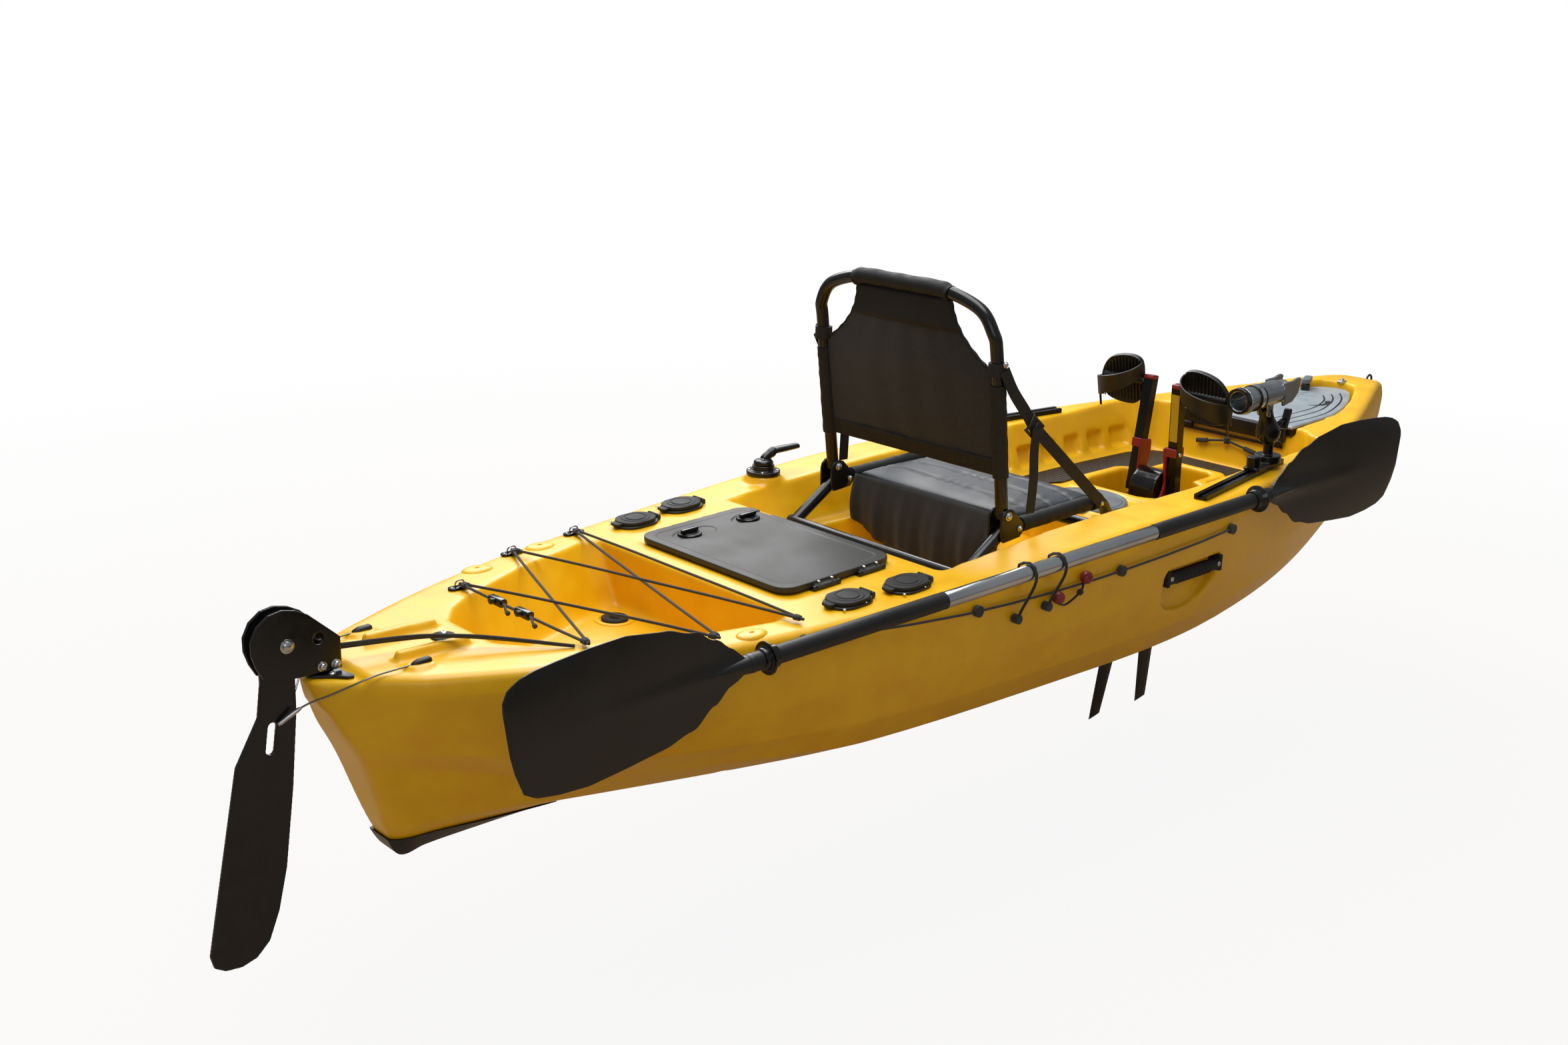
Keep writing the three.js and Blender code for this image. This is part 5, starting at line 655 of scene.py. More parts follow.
# The keel guard and the stern fittings' plastics: black glass-filled nylon and polyethylene, moulded, with
# a fine spark-eroded grain that breaks the highlights up. They are screwed to the hull.
def surface(name, dark, light, rough, grain, bump, metallic=0.0, ior=1.5, edge=0.0012, patch=0.05,
            stretch=None):
    """A material whose colour and gloss drift over patches, with a fine grain and softly rounded edges."""
    material, tree = new_material(name)
    place = object_place(tree)
    if stretch:
        place = add_node(tree, "ShaderNodeMapping", inputs={"Scale": stretch},
                         links={"Vector": place}).outputs["Vector"]
    drift = noise(tree, place, 1 / patch, 4.0)
    gloss = add_node(tree, "ShaderNodeMapRange", links={"Value": drift},
                     inputs={"From Min": 0.3, "From Max": 0.7, "To Min": rough[0], "To Max": rough[1]})
    edges = add_node(tree, "ShaderNodeBevel", {"samples": 4}, {"Radius": edge}).outputs["Normal"]
    finish_surface(tree, {"Metallic": metallic, "IOR": ior},
                   {"Base Color": toned(tree, drift, (0.35, dark), (0.65, light)),
                    "Roughness": gloss.outputs["Result"],
                    "Normal": bumped(tree, noise(tree, place, 1 / grain, 3.0), 1.0, bump, edges)})
    return material


def twin_of(node):
    """A copy of a solid's mesh, to be worked on further."""
    return mesh_object("moulded_" + node, [tuple(v.co) for v in nodes[node].data.vertices],
                       [tuple(p.vertices) for p in nodes[node].data.polygons])


def moulding(node, voxel, passes):
    """A softened twin of a solid: even fine skin, edges drawn to the radii of a moulding."""
    return softened(twin_of(node), voxel * (1), passes)


def spun(name, centre, axis, profile, sides=40):
    """A turned piece: rings of (distance along the axis, radius) about a centre."""
    turn = Vector((0, 0, 1)).rotation_difference(Vector(axis).normalized())
    return smooth(lofted(name, [ring_about(Vector(centre), turn, r, h, sides) for h, r in profile]), 40)


def moulded(node, voxel, passes, material, body, slot, angle=None):
    """A softened twin that stands for its solid, with its material and body. Its slot is not used."""
    made = moulding(node, voxel, passes)
    return dressed(smooth(made, angle) if angle else made, material, body, slot, node)


def ball_profile(radius):
    """The profile of a ball, from pole to pole."""
    return [(radius * math.sin(a), max(radius * math.cos(a), 0.0002))
            for a in [math.radians(-88 + 11 * i) for i in range(17)]]


def dome_screw(name, centre, axis, radius):
    """A pan-head screw with a hexagon recess, turned about its axis."""
    rise = radius * 0.5
    profile = [(-0.001, radius), (rise * 0.35, radius), (rise * 0.8, radius * 0.8), (rise, radius * 0.5),
               (rise, radius * 0.36), (rise * 0.3, radius * 0.3), (rise * 0.3, 0.0002)]
    return spun(name, centre, axis, profile, 24)


def steel(made, body="kayak"):
    """Dresses a small fitting in brushed stainless steel."""
    return dressed(made, stainless, body, "cable_steel")


def screwed(name, centre, axis, radius, body="kayak"):
    """A stainless screw in one of the bodies."""
    return steel(dome_screw(name, centre, axis, radius), body)


def eased(made, width, segments=3):
    """Rounds the sharp edges of a piece."""
    return applied(made, "BEVEL", width=width, segments=segments, limit_method="ANGLE")


def block(name, outline_points, low, high, width, axis="z", segments=3):
    """A prism with its edges eased."""
    return eased(prism(name, outline_points, low, high, axis), width, segments)


def gathered(name, pieces):
    """Several meshes as one piece, with a name."""
    body = joined(pieces[0], *pieces[1:])
    body.name = name
    return body


def flowing(points, count):
    """Evenly many points on a smooth line through some points."""
    p = [Vector(q) for q in points]
    p = [p[0] * 2 - p[1]] + p + [p[-1] * 2 - p[-2]]
    line = []
    for i in range(count):
        s = (len(points) - 1) * i / (count - 1)
        k = min(int(s), len(points) - 2)
        t = s - k
        a, b, c, d = p[k:k + 4]
        line.append(0.5 * ((2 * b) + (c - a) * t + (2 * a - 5 * b + 4 * c - d) * t * t
                           + (3 * b - 3 * c + d - a) * t * t * t))
    return line


def strand(name, points, radius, count=40, sides=12):
    """A round cord, cable or bent tube along a smooth line."""
    line = flowing(points, count)
    normal = (line[1] - line[0]).orthogonal().normalized()
    rings = []
    for i, at in enumerate(line):
        run = (line[min(i + 1, count - 1)] - line[max(i - 1, 0)]).normalized()
        normal = (normal - run * normal.dot(run)).normalized()
        other = run.cross(normal)
        r = radius(i / (count - 1)) if callable(radius) else radius
        rings.append([at + normal * r * math.cos(2 * math.pi * j / sides)
                      + other * r * math.sin(2 * math.pi * j / sides) for j in range(sides)])
    return smooth(lofted(name, rings), 50)


black_nylon = surface("black_grained_nylon", "#0d0d0e", "#161617", (0.34, 0.50), 0.0006, 0.00006)
satin_black = surface("black_satin_polyethylene", "#0b0b0c", "#131314", (0.24, 0.36), 0.0012, 0.00004,
                      patch=0.03)
stainless = surface("brushed_stainless_steel", "#b9bcbf", "#d3d6d8", (0.18, 0.32), 0.0008, 0.00002,
                    metallic=1.0, stretch=(1, 1, 12))
guard_rings = []
for i in range(91):
    x = -1.540 + 0.385 * i / 90
    guard_rings.append(whole_section(x - 0.003, [(y + 0.0025, z - 0.0025) for y, z in half_section(x)]))
guard = lofted("keel_guard", guard_rings)
guard_outline = [(-1.560, -0.020), (-1.160, -0.020), (-1.160, 0.004), (-1.485, 0.034), (-1.560, 0.041)]
guard_side = prism("guard_side", guard_outline, -0.2, 0.2, "y")
applied(guard, "BOOLEAN", operation="INTERSECT", object=guard_side, solver="EXACT")
bpy.data.objects.remove(guard_side)
dressed(smooth(guard), black_nylon, "kayak", "black_plastic", "keel_guard")

# The rudder: a nylon head between two plates on a vertical pin, and a blade that folds up about a bolt.
# Plates and blade are pressed black plastic with a satin skin, bolted with stainless dome nuts.
moulded("rudder_bracket", 0.001, 4, satin_black, "kayak", "black_plastic")
moulded("rudder_head", 0.001, 4, satin_black, "rudder_head", "black_plastic")
moulded("rudder_blade", 0.0014, 4, satin_black, "rudder_blade", "black_plastic")
for i, (x, z, r) in enumerate(((-1.629, 0.398, 0.0085), (-1.574, 0.352, 0.006), (-1.551, 0.351, 0.006))):
    for side in (-1, 1):
        profile = [(-0.0006, r * 1.35), (0.0012, r * 1.35), (0.0014, r * 1.2), (0.0014, r * 0.98),
                   (0.0045, r * 0.94), (0.0066, r * 0.62), (0.0072, 0.0002)]
        steel(spun(f"rudder_bolt_{i}_{side + 1}", (x, side * 0.0154, z), (0, side, 0), profile, 28),
              "rudder_head")
screwed("bracket_foot_bolt", (-1.562, -0.022, 0.3395), (0, 0, 1), 0.0055)

# The steering cables are stranded steel wire, about 3 mm with its skin, that come out of bushes in the deck,
# bend down over the nose and end in pressed aluminium ferrules on the blade.
wire, tree = new_material("stranded_steel_wire")
strands = add_node(tree, "ShaderNodeTexWave", {"wave_type": "BANDS", "bands_direction": "DIAGONAL"},
                   {"Scale": 320.0, "Distortion": 0.4}, {"Vector": object_place(tree)}).outputs["Fac"]
# Painted shade: the wire's colour runs dark in the grooves between the strands and light on their crowns,
# following the same bands as the relief.
finish_surface(tree, {"Metallic": 1.0, "Roughness": 0.35},
               {"Base Color": toned(tree, strands, (0.0, "#4a4d50"), (1.0, "#a9adb0")),
                "Normal": bumped(tree, strands, 0.8, 0.0003)})
both_sides = ((-1, "starboard"), (1, "port"))
cable_points = [(-1.440, -0.092, 0.351), (-1.470, -0.091, 0.350), (-1.515, -0.089, 0.348),
                (-1.537, -0.085, 0.344), (-1.554, -0.076, 0.336), (-1.580, -0.050, 0.318),
                (-1.610, -0.020, 0.298), (-1.648, -0.009, 0.274)]
for side, hand in both_sides:
    route = [(x, -side * y, z) for x, y, z in cable_points]
    cable = strand(f"steering_cable_{hand}", route, 0.0016, 64, 10)
    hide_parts(f"rudder_cable_{hand}")
    ferrule = strand(f"cable_ferrule_{hand}", flowing(route, 64)[-9:],
                     lambda t: 0.0022 + 0.0016 * min(1, 6 * t, 6 * (1 - t) + 0.4), 14, 14)
    for made, material in ((cable, wire), (ferrule, stainless)):
        coated(made, material)
        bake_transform(made)
    bush = spun(f"cable_bush_{hand}", (-1.452, side * 0.0918, 0.3505), (-1, 0, -0.05),
                [(-0.022, 0.004), (-0.018, 0.0075), (0.0, 0.0075), (0.006, 0.006), (0.012, 0.0036),
                 (0.014, 0.0018)])
    dressed(bush, black_nylon, "kayak", "black_plastic")

# The lift line: two strands of braided black cord from the rudder's head to the first pad-eye.
braid, tree = new_material("braided_black_cord")
place = object_place(tree)
weave = [add_node(tree, "ShaderNodeTexWave", {"bands_direction": direction},
                  {"Scale": 260.0, "Distortion": 0.6}, {"Vector": place}).outputs["Fac"]
         for direction in ("X", "Y", "Z")]
knit = worked_out(tree, "ADD", worked_out(tree, "ADD", weave[0], weave[1]), weave[2])
finish_surface(tree, {"Roughness": 0.72, "Sheen Weight": 0.25},
               {"Base Color": toned(tree, weave[1], (0.0, "#0a0a0b"), (1.0, "#1d1d1f")),
                "Normal": bumped(tree, knit, 0.9, 0.0003)})
lift_end = (-1.215, -0.172, 0.3458)
outer_strand = [(-1.536, -0.003, 0.375), (-1.440, -0.028, 0.372), (-1.385, -0.052, 0.369),
                (-1.320, -0.095, 0.363)]
inner_strand = [(-1.536, 0.005, 0.368), (-1.440, -0.020, 0.366), (-1.385, -0.047, 0.366),
                (-1.320, -0.090, 0.360)]
for i, route in enumerate((outer_strand, inner_strand)):
    line = strand(f"lift_line_{i}", route + [lift_end], 0.003, 56, 10)
    coated(line, braid)
    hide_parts("rudder_lift_line")
    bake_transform(line)

# The deck behind the tank well: a drain plug with a silver screw and its tethered wing nut, and four
# low moulded pads with a screw hole in each.
dark_rubber = surface("matt_black_rubber", "#121213", "#1b1b1c", (0.62, 0.78), 0.0005, 0.00008)
drain_place = (-1.353, -0.002)
drain_level = sheer(drain_place[0])
plug = spun("drain_plug", (*drain_place, drain_level - 0.001), (0, 0, 1),
            [(0, 0.021), (0.003, 0.021), (0.0045, 0.0195), (0.0045, 0.013), (0.007, 0.012),
             (0.0085, 0.009), (0.0085, 0.0002)])
tether_points = [(-1.352, -0.016, 0.3505), (-1.350, -0.028, 0.3515), (-1.349, -0.042, 0.3495),
                 (-1.351, -0.054, 0.3475)]
tether = strand("drain_tether", tether_points, lambda t: 0.0022 + 0.004 * max(0, t - 0.6), 24, 12)
for made in (plug, tether):
    dressed(made, dark_rubber, "kayak", "black_rubber")
screwed("drain_screw", (*drain_place, drain_level + 0.0075), (0, 0, 1), 0.0065)
for side in (-1, 1):
    for i, (x, y) in enumerate(((-0.954, 0.304), (-1.120, 0.262))):
        pad = spun(f"deck_pad_{i}_{side + 1}", (x, side * y, sheer(x) - 0.002), (0, 0, 1),
                   [(0, 0.021), (0.003, 0.020), (0.0055, 0.0165), (0.0062, 0.012), (0.0062, 0.0035),
                    (0.0035, 0.0030), (0.0035, 0.0002)])
        there, longer = Matrix.Translation((x, 0, 0)), Matrix.Diagonal((1.5, 1, 1, 1))
        pad.data.transform(there @ longer @ there.inverted())
        dressed(pad, moulded_polyethylene, "kayak", "hull_plastic")

# Tank well lacing: elastic cord, 5 mm, laced between six pad-eyes. Each pad-eye is an oval glossy nylon base
# under two silver screws, with a stainless ring that holds the cord. Two locks take up the aft run.
gloss_black = surface("black_gloss_nylon", "#0a0a0b", "#101011", (0.10, 0.20), 0.002, 0.00002, patch=0.02)
eyes = {"aft": (-1.201, 0.191), "mid": (-1.020, 0.300), "fore": (-0.859, 0.327)}
eye_rise = 0.0095


def eye_at(name, side):
    """The middle of a pad-eye's ring."""
    x, y = eyes[name]
    return Vector((x, side * y, sheer(x) + eye_rise))


for name in eyes:
    for side in (-1, 1):
        x, y, z = eye_at(name, side)
        base = block("pad_eye_base", rounded_outline(0.046, 0.019, 0.0092, 8), 0.0003, 0.0045, 0.0014)
        on_deck(base, x, side * y)
        base.name = f"pad_eye_{name}_{side + 1}"
        dressed(smooth(base), gloss_black, "kayak", "black_plastic")
        if name == "aft":
            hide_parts("tank_lacing")
        for end in (-1, 1):
            screwed(f"eye_screw_{name}_{side + 1}_{end + 1}",
                    (x + end * 0.0165, side * y, sheer(x) + 0.0045), (0, 0, 1), 0.0036)
        ring = [(x + 0.0095 * math.cos(a), side * y, z - 0.0005 + 0.0068 * math.sin(a))
                for a in [2 * math.pi * i / 16 for i in range(17)]]
        steel(strand(f"eye_ring_{name}_{side + 1}", ring, 0.0014, 48, 10))
runs = [("aft", 1, "aft", -1), ("aft", 1, "mid", -1), ("mid", 1, "aft", -1), ("mid", 1, "fore", -1),
        ("fore", 1, "mid", -1), ("fore", 1, "fore", -1)]
for i, (a, a_side, b, b_side) in enumerate(runs):
    start, end = eye_at(a, a_side), eye_at(b, b_side)
    lift = Vector((0, 0, 0.0022 if i % 2 else -0.0012))
    middle = (start + end) / 2 + lift
    line = strand(f"lacing_{i}", [start, start.lerp(middle, 0.5) + lift * 0.5, middle,
                                  middle.lerp(end, 0.5) + lift * 0.5, end], 0.0026, 64, 10)
    dressed(line, braid, "kayak", "black_cord")
    for at, toward in ((start, end), (end, start)):
        run = (toward - at).normalized()
        hitch = spun(f"lacing_knot_{i}_{0 if at is start else 1}", at + run * 0.013, run,
                     [(-0.007, 0.0028), (-0.005, 0.0048), (-0.002, 0.0043), (0.0, 0.0052), (0.003, 0.0044),
                      (0.006, 0.0048), (0.008, 0.0027)], 20)
        dressed(hitch, braid, "kayak", "black_cord")
lock_x, lock_z = eyes["aft"][0], sheer(eyes["aft"][0]) + eye_rise
for i, y in enumerate((0.0535, -0.0265)):
    barrel = block("cord_lock", rounded_outline(0.017, 0.015, 0.006, 6), -0.019, 0.019, 0.002)
    laid_down = Matrix.Rotation(math.radians(90), 4, "X")
    barrel.data.transform(Matrix.Translation((lock_x, y + 0.019, lock_z)) @ laid_down)
    barrel.name = f"cord_lock_{i}"
    dressed(smooth(barrel), gloss_black, "kayak", "black_plastic")
    button = spun(f"cord_lock_button_{i}", (lock_x - 0.006, y + 0.019, lock_z + 0.001), (-1, 0, 0.2),
                  [(0, 0.0055), (0.008, 0.0055), (0.0095, 0.0045), (0.0098, 0.0002)])
    dressed(button, satin_black, "kayak", "black_plastic")
    tail_points = [(lock_x - back, y - side, lock_z - drop) for back, side, drop in
                   ((0, -0.002, 0), (0.004, 0.010, 0.001), (0.010, 0.022, 0.004), (0.012, 0.032, 0.0065))]
    tail = strand(f"cord_tail_{i}", tail_points, lambda t: 0.0024 if t < 0.8 else 0.0042, 30, 10)
    dressed(tail, braid, "kayak", "black_cord")

# Scupper plugs: soft black rubber mushrooms with a pull ring, pressed into the tank well's two drains.
for side, hand in both_sides:
    x, y, z = scupper_places[0][0], side * scupper_places[0][1], tank_floor
    plug = spun(f"scupper_plug_{hand}_top", (x, y, z + 0.0003), (0, 0, 1),
                [(-0.034, 0.013), (-0.002, 0.016), (0.0, 0.0255), (0.003, 0.026), (0.0055, 0.024),
                 (0.0062, 0.020), (0.0052, 0.016), (0.0052, 0.011), (0.0105, 0.009), (0.012, 0.0065),
                 (0.012, 0.0002)])
    dressed(plug, dark_rubber, f"scupper_plug_{hand}", "black_rubber", f"scupper_plug_{hand}")
    collar = spun(f"scupper_collar_{hand}", (x, y, z - 0.002), (0, 0, 1),
                  [(0, 0.040), (0.004, 0.0385), (0.0055, 0.035), (0.0045, 0.0300), (0.001, 0.0285)])
    dressed(collar, moulded_polyethylene, "kayak", "hull_plastic")

# The centre hatch: a rim screwed into the platform, and a lid of matt charcoal plastic with a pebbled face,
# a raised border and two long latch recesses, hinged on its starboard edge.
charcoal = surface("pebbled_charcoal_plastic", "#232321", "#31312d", (0.46, 0.62), 0.0016, 0.00022,
                   patch=0.12)
hatch_x, hatch_z = lid_place, -0.0013


def on_hatch(made):
    """Lays a piece made about the hatch's middle on the sloping platform."""
    return on_deck(made, hatch_x, 0, hatch_z)


lid = twin_of("centre_hatch_lid")
latch_places = ((-0.057, 0.149), (0.089, 0.146))
panel = prism("panel", rounded_outline(0.238, 0.382, 0.024, 8), 0.0141, 0.03)
cut_from(lid, on_hatch(panel))
for x, y in latch_places:
    slot = prism("slot", rounded_outline(0.098, 0.040, 0.0195, 8), 0.0121, 0.03)
    cut_from(lid, on_hatch(moved(slot, x + 0.012, y, 0)))
softened(lid, 0.0014, 4)
dressed(lid, charcoal, "centre_hatch_lid", "grey_plastic", "centre_hatch_lid")
moulded("centre_hatch_rim", 0.0015, 4, black_nylon, "kayak", "black_plastic")
for (x, y), end in zip(latch_places, ("aft", "fore")):
    knob = spun(f"latch_disc_{end}", (x, y, 0.0126), (0, 0, 1),
                [(0, 0.024), (0.0028, 0.024), (0.0042, 0.0225), (0.0042, 0.0195), (0.0034, 0.0185),
                 (0.0034, 0.0165), (0.0048, 0.0155), (0.0048, 0.0002)], 48)
    grip = block("latch_grip", rounded_outline(0.042, 0.0095, 0.0046, 8), 0.0045, 0.0125, 0.0022, segments=4)
    latch = on_hatch(smooth(joined(knob, moved(grip, x, y, 0.0126))))
    dressed(latch, gloss_black, f"hatch_latch_{end}", "black_plastic", f"hatch_latch_{end}")
for place in (-0.044, 0.069):
    for end in (-1, 1):
        bolt = dome_screw(f"hinge_bolt_{int(place * 1000)}_{end + 1}",
                          (place + end * 0.016, -0.2145, 0.0148), (0, 0, 1), 0.0032)
        steel(on_hatch(bolt), "centre_hatch_lid")

# Flush rod holders: a black nylon tube with a long hexagonal flange, held by two screws, and a flip cap
# with a round pressed crown, a ring groove and a pull tab.
for (x, y), end in zip(rod_cup_places, ("aft", "fore")):
    for side, hand in both_sides:
        moulded(f"rod_cup_{end}_{hand}", 0.0014, 4, black_nylon, "kayak", "black_plastic")
        crown = spun("crown", (0, 0, 0.0120), (0, 0, 1),
                     [(-0.002, 0.0290), (0.0006, 0.0290), (0.0018, 0.0275), (0.0018, 0.0235),
                      (0.0006, 0.0225), (0.0006, 0.0205), (0.0024, 0.0190), (0.0030, 0.0120),
                      (0.0032, 0.0002)], 56)
        tab = block("tab", rounded_outline(0.016, 0.024, 0.006, 6), 0.0058, 0.0108, 0.0014)
        crown = on_deck(smooth(joined(crown, moved(tab, -0.0465, 0, 0))), x, side * y, 0.0003)
        cap = gathered(f"rod_cap_{end}_{hand}_crowned",
                       [moulding(f"rod_cap_{end}_{hand}", 0.0012, 4), crown])
        dressed(cap, dark_rubber, f"rod_cap_{end}_{hand}", "black_plastic", f"rod_cap_{end}_{hand}")
        for place in (-1, 1):
            screw = dome_screw(f"cup_screw_{end}_{hand}_{place + 1}",
                               (0.026 * place - 0.012, 0.0310 * side, 0.0047), (0, 0, 1), 0.0030)
            steel(on_deck(screw, x, side * y, 0.0003))

# The steering lever: a round nylon base screwed to its cone, a turning cap and a moulded cranked grip.
lever_screw_circle, grip_height = 0.0305, 0.4285
moulded("lever_base", 0.0012, 6, satin_black, "kayak", "black_plastic")
grip_points = [(*lever_place, 0.411), (-0.345, 0.3385, 0.4185), (-0.326, 0.3365, 0.4265),
               (-0.300, 0.335, grip_height), (-0.262, 0.335, grip_height)]
grip = strand("grip", grip_points, lambda t: 0.0095
              + 0.0022 * math.sin(math.pi * min(1, max(0, t * 1.4 - 0.4))), 60, 24)
for vertex in grip.data.vertices:
    if vertex.co.x > -0.33:
        vertex.co.z = grip_height + (vertex.co.z - grip_height) * 0.62
cap = spun("lever_cap", (*lever_place, 0.4006), (0, 0, 1),
           [(0, 0.0205), (0.003, 0.0215), (0.007, 0.0210), (0.010, 0.018), (0.0115, 0.0125),
            (0.0115, 0.0002)], 48)
joined(grip, cap)
softened(grip, 0.0012, 5)
grip.name = "steering_lever_grip"
dressed(grip, satin_black, "steering_lever", "black_plastic", "steering_lever")
screwed("lever_bolt", (*lever_place, 0.4118), (0, 0, 1), 0.0055, "steering_lever")
for i in range(4):
    turn = math.radians(45 + 90 * i)
    screwed(f"lever_base_screw_{i}", (lever_place[0] + lever_screw_circle * math.cos(turn),
                                      lever_place[1] + lever_screw_circle * math.sin(turn), 0.3893),
            (0, 0, 1), 0.0034)

# The seat's frame: 25 mm aluminium tube, bent and powder coated in a satin black, on two cross tubes with
# end plugs. Two pressed plates a side hold the back's pivot, on a bolt with a stainless dome nut.
coated_tube = surface("black_powder_coat", "#0c0c0d", "#141415", (0.20, 0.30), 0.0007, 0.00003, patch=0.08)
tube_radius, seat_half, cross_height = 0.0125, 0.235, 0.2988
cross_back, cross_front = -0.360, 0.120
rail_line = [(-0.228, 0.3738), (-0.120, 0.3760), (0.020, 0.3792), (0.050, 0.3785), (0.068, 0.3690),
             (0.084, 0.3480), (0.108, 0.3150), (cross_front, cross_height)]
leg_line = [(-0.248, 0.3700), (-0.290, 0.3430), (-0.335, 0.3145), (cross_back, cross_height)]
frame_tubes = []
for side in (-1, 1):
    y = side * seat_half
    frame_tubes.append(strand("rail", [(x, y, z) for x, z in rail_line], tube_radius, 70, 24))
    frame_tubes.append(strand("back_leg", [(x, y, z) for x, z in leg_line], tube_radius, 30, 24))
    outline_points = [(-0.270, 0.358), (-0.262, 0.352), (-0.214, 0.356), (-0.206, 0.364), (-0.206, 0.384),
                      (-0.236, 0.414), (-0.246, 0.418), (-0.258, 0.417), (-0.268, 0.408), (-0.271, 0.398)]
    for low in (-0.0180, 0.0130):
        plate = block("pivot_plate", outline_points, y + low, y + low + 0.005, 0.0012, "y")
        frame_tubes.append(smooth(plate))
for x in (cross_back, cross_front):
    frame_tubes.append(tube_between("cross_tube", (x, -0.246, cross_height), (x, 0.246, cross_height),
                                    tube_radius, sides=28))
    for side in (-1, 1):
        frame_tubes.append(spun("end_plug", (x, side * 0.2445, cross_height), (0, side, 0),
                                [(0, 0.0128), (0.0016, 0.0131), (0.0030, 0.0118), (0.0034, 0.0002)]))
dressed(smooth(gathered("seat_frame_tubes", frame_tubes), 40), coated_tube, "kayak", "black_tube",
        "seat_frame")
for side in (-1, 1):
    for i, (x, z, r) in enumerate(((-0.251, 0.404, 0.0068), (-0.2165, 0.3740, 0.0046))):
        for face in (-1, 1):
            profile = [(-0.0004, r * 1.3), (0.0010, r * 1.3), (0.0012, r), (0.0040, r * 0.95),
                       (0.0058, r * 0.6), (0.0063, 0.0002)]
            steel(spun(f"seat_nut_{side + 1}_{i}_{face + 1}", (x, side * seat_half + face * 0.0179, z),
                       (0, face, 0), profile, 24))

# The back: one tube bent to an inverted U, and a sheet of woven polyester mesh stretched over it. A sleeve
# holds the mesh along each side and the top, its corners are cut away and bound, and a band closes its foot.
shoulder_x, shoulder_z, top_x, top_z, corner_y, corner_z = -0.299, 0.763, -0.310, 0.830, 0.195, 0.801
pivot_x, pivot_z = -0.251, 0.404


def back_x(z):
    """Where the plane of the back stands at a height."""
    return pivot_x + (shoulder_x - pivot_x) * (z - pivot_z) / (shoulder_z - pivot_z)


half_tube = [(pivot_x, seat_half, pivot_z), (back_x(0.5835), seat_half, 0.5835),
             (back_x(0.723), seat_half, 0.723), (shoulder_x - 0.003, seat_half - 0.005, shoulder_z),
             (shoulder_x - 0.007, corner_y, corner_z + 0.004), (top_x, 0.100, top_z)]
back_route = [(x, -y, z) for x, y, z in half_tube] + [(top_x, 0, top_z)] + list(reversed(half_tube))
back_tube = strand("backrest_tube", back_route, tube_radius, 240, 24)
feet = [spun("foot", (pivot_x, side * seat_half - 0.0122, pivot_z), (0, 1, 0),
             [(0, 0.0120), (0.001, 0.0128), (0.0234, 0.0128), (0.0244, 0.0120)]) for side in (-1, 1)]
dressed(smooth(joined(back_tube, *feet), 40), coated_tube, "backrest", "black_tube", "backrest_frame")

mesh_cloth, tree = new_material("black_woven_mesh")
place = add_node(tree, "ShaderNodeSeparateXYZ", links={0: object_place(tree)})
thread_pitch = 0.0024
threads = [worked_out(tree, "SINE", worked_out(tree, "MULTIPLY", place.outputs[axis],
                                               2 * math.pi / thread_pitch)) for axis in ("Y", "Z")]
net = worked_out(tree, "MULTIPLY", *threads)
# Painted highlight: the base colour lightens along the weave in soft patches, standing in for the cloth's
# whitish moiré sheen.
highlight_patches = noise(tree, object_place(tree), 22.0, 3.0, Distortion=1.6)
painted_moire_highlight = worked_out(tree, "MULTIPLY", net, highlight_patches)
finish_surface(tree, {"Roughness": 0.62, "Sheen Weight": 0.18, "Sheen Roughness": 0.4},
               {"Base Color": toned(tree, painted_moire_highlight, (0.05, "#080808"), (0.62, "#232322")),
                "Normal": bumped(tree, net, 0.8, 0.0005)})
webbing = surface("black_polyester_webbing", "#0b0b0c", "#151516", (0.60, 0.78), 0.0009, 0.00022,
                  patch=0.02, stretch=(1, 1, 3))

foot_z, sleeve_top = 0.481, 0.664
wing_rows = [(0.481, 0.235), (0.560, 0.235), (0.640, 0.235), (0.668, 0.2345), (0.690, 0.214), (0.712, 0.184),
             (0.740, 0.155), (0.770, 0.136), (0.800, 0.127), (0.830, 0.125)]


def wing(z):
    """Half width of the cloth at a height."""
    for (low, a), (high, b) in zip(wing_rows, wing_rows[1:]):
        if z <= high:
            return a + (b - a) * (z - low) / (high - low)
    return wing_rows[-1][1]


def belly(share, z):
    """How far the cloth hangs back from its plane, at a share of its half width."""
    return 0.014 * (1 - share * share) * math.sin(math.pi * (z - foot_z) / (top_z - foot_z))


def double_skin(name, points, rows, columns, rim=True):
    """A thin piece from two equal grids of points, one for each face, closed along the rim."""
    stride = columns + 1
    count = (rows + 1) * stride
    faces = []
    for i in range(rows):
        for j in range(columns):
            a = i * stride + j
            faces.append((a, a + 1, a + stride + 1, a + stride))
            faces.append((count + a, count + a + stride, count + a + stride + 1, count + a + 1))
    if rim:
        loop = list(range(stride)) + [i * stride + columns for i in range(1, rows + 1)]
        loop += [rows * stride + j for j in range(columns - 1, -1, -1)]
        loop += [i * stride for i in range(rows - 1, 0, -1)]
        faces += [(a, count + a, count + b, b) for a, b in zip(loop, loop[1:] + loop[:1])]
    return mesh_object(name, points, faces)


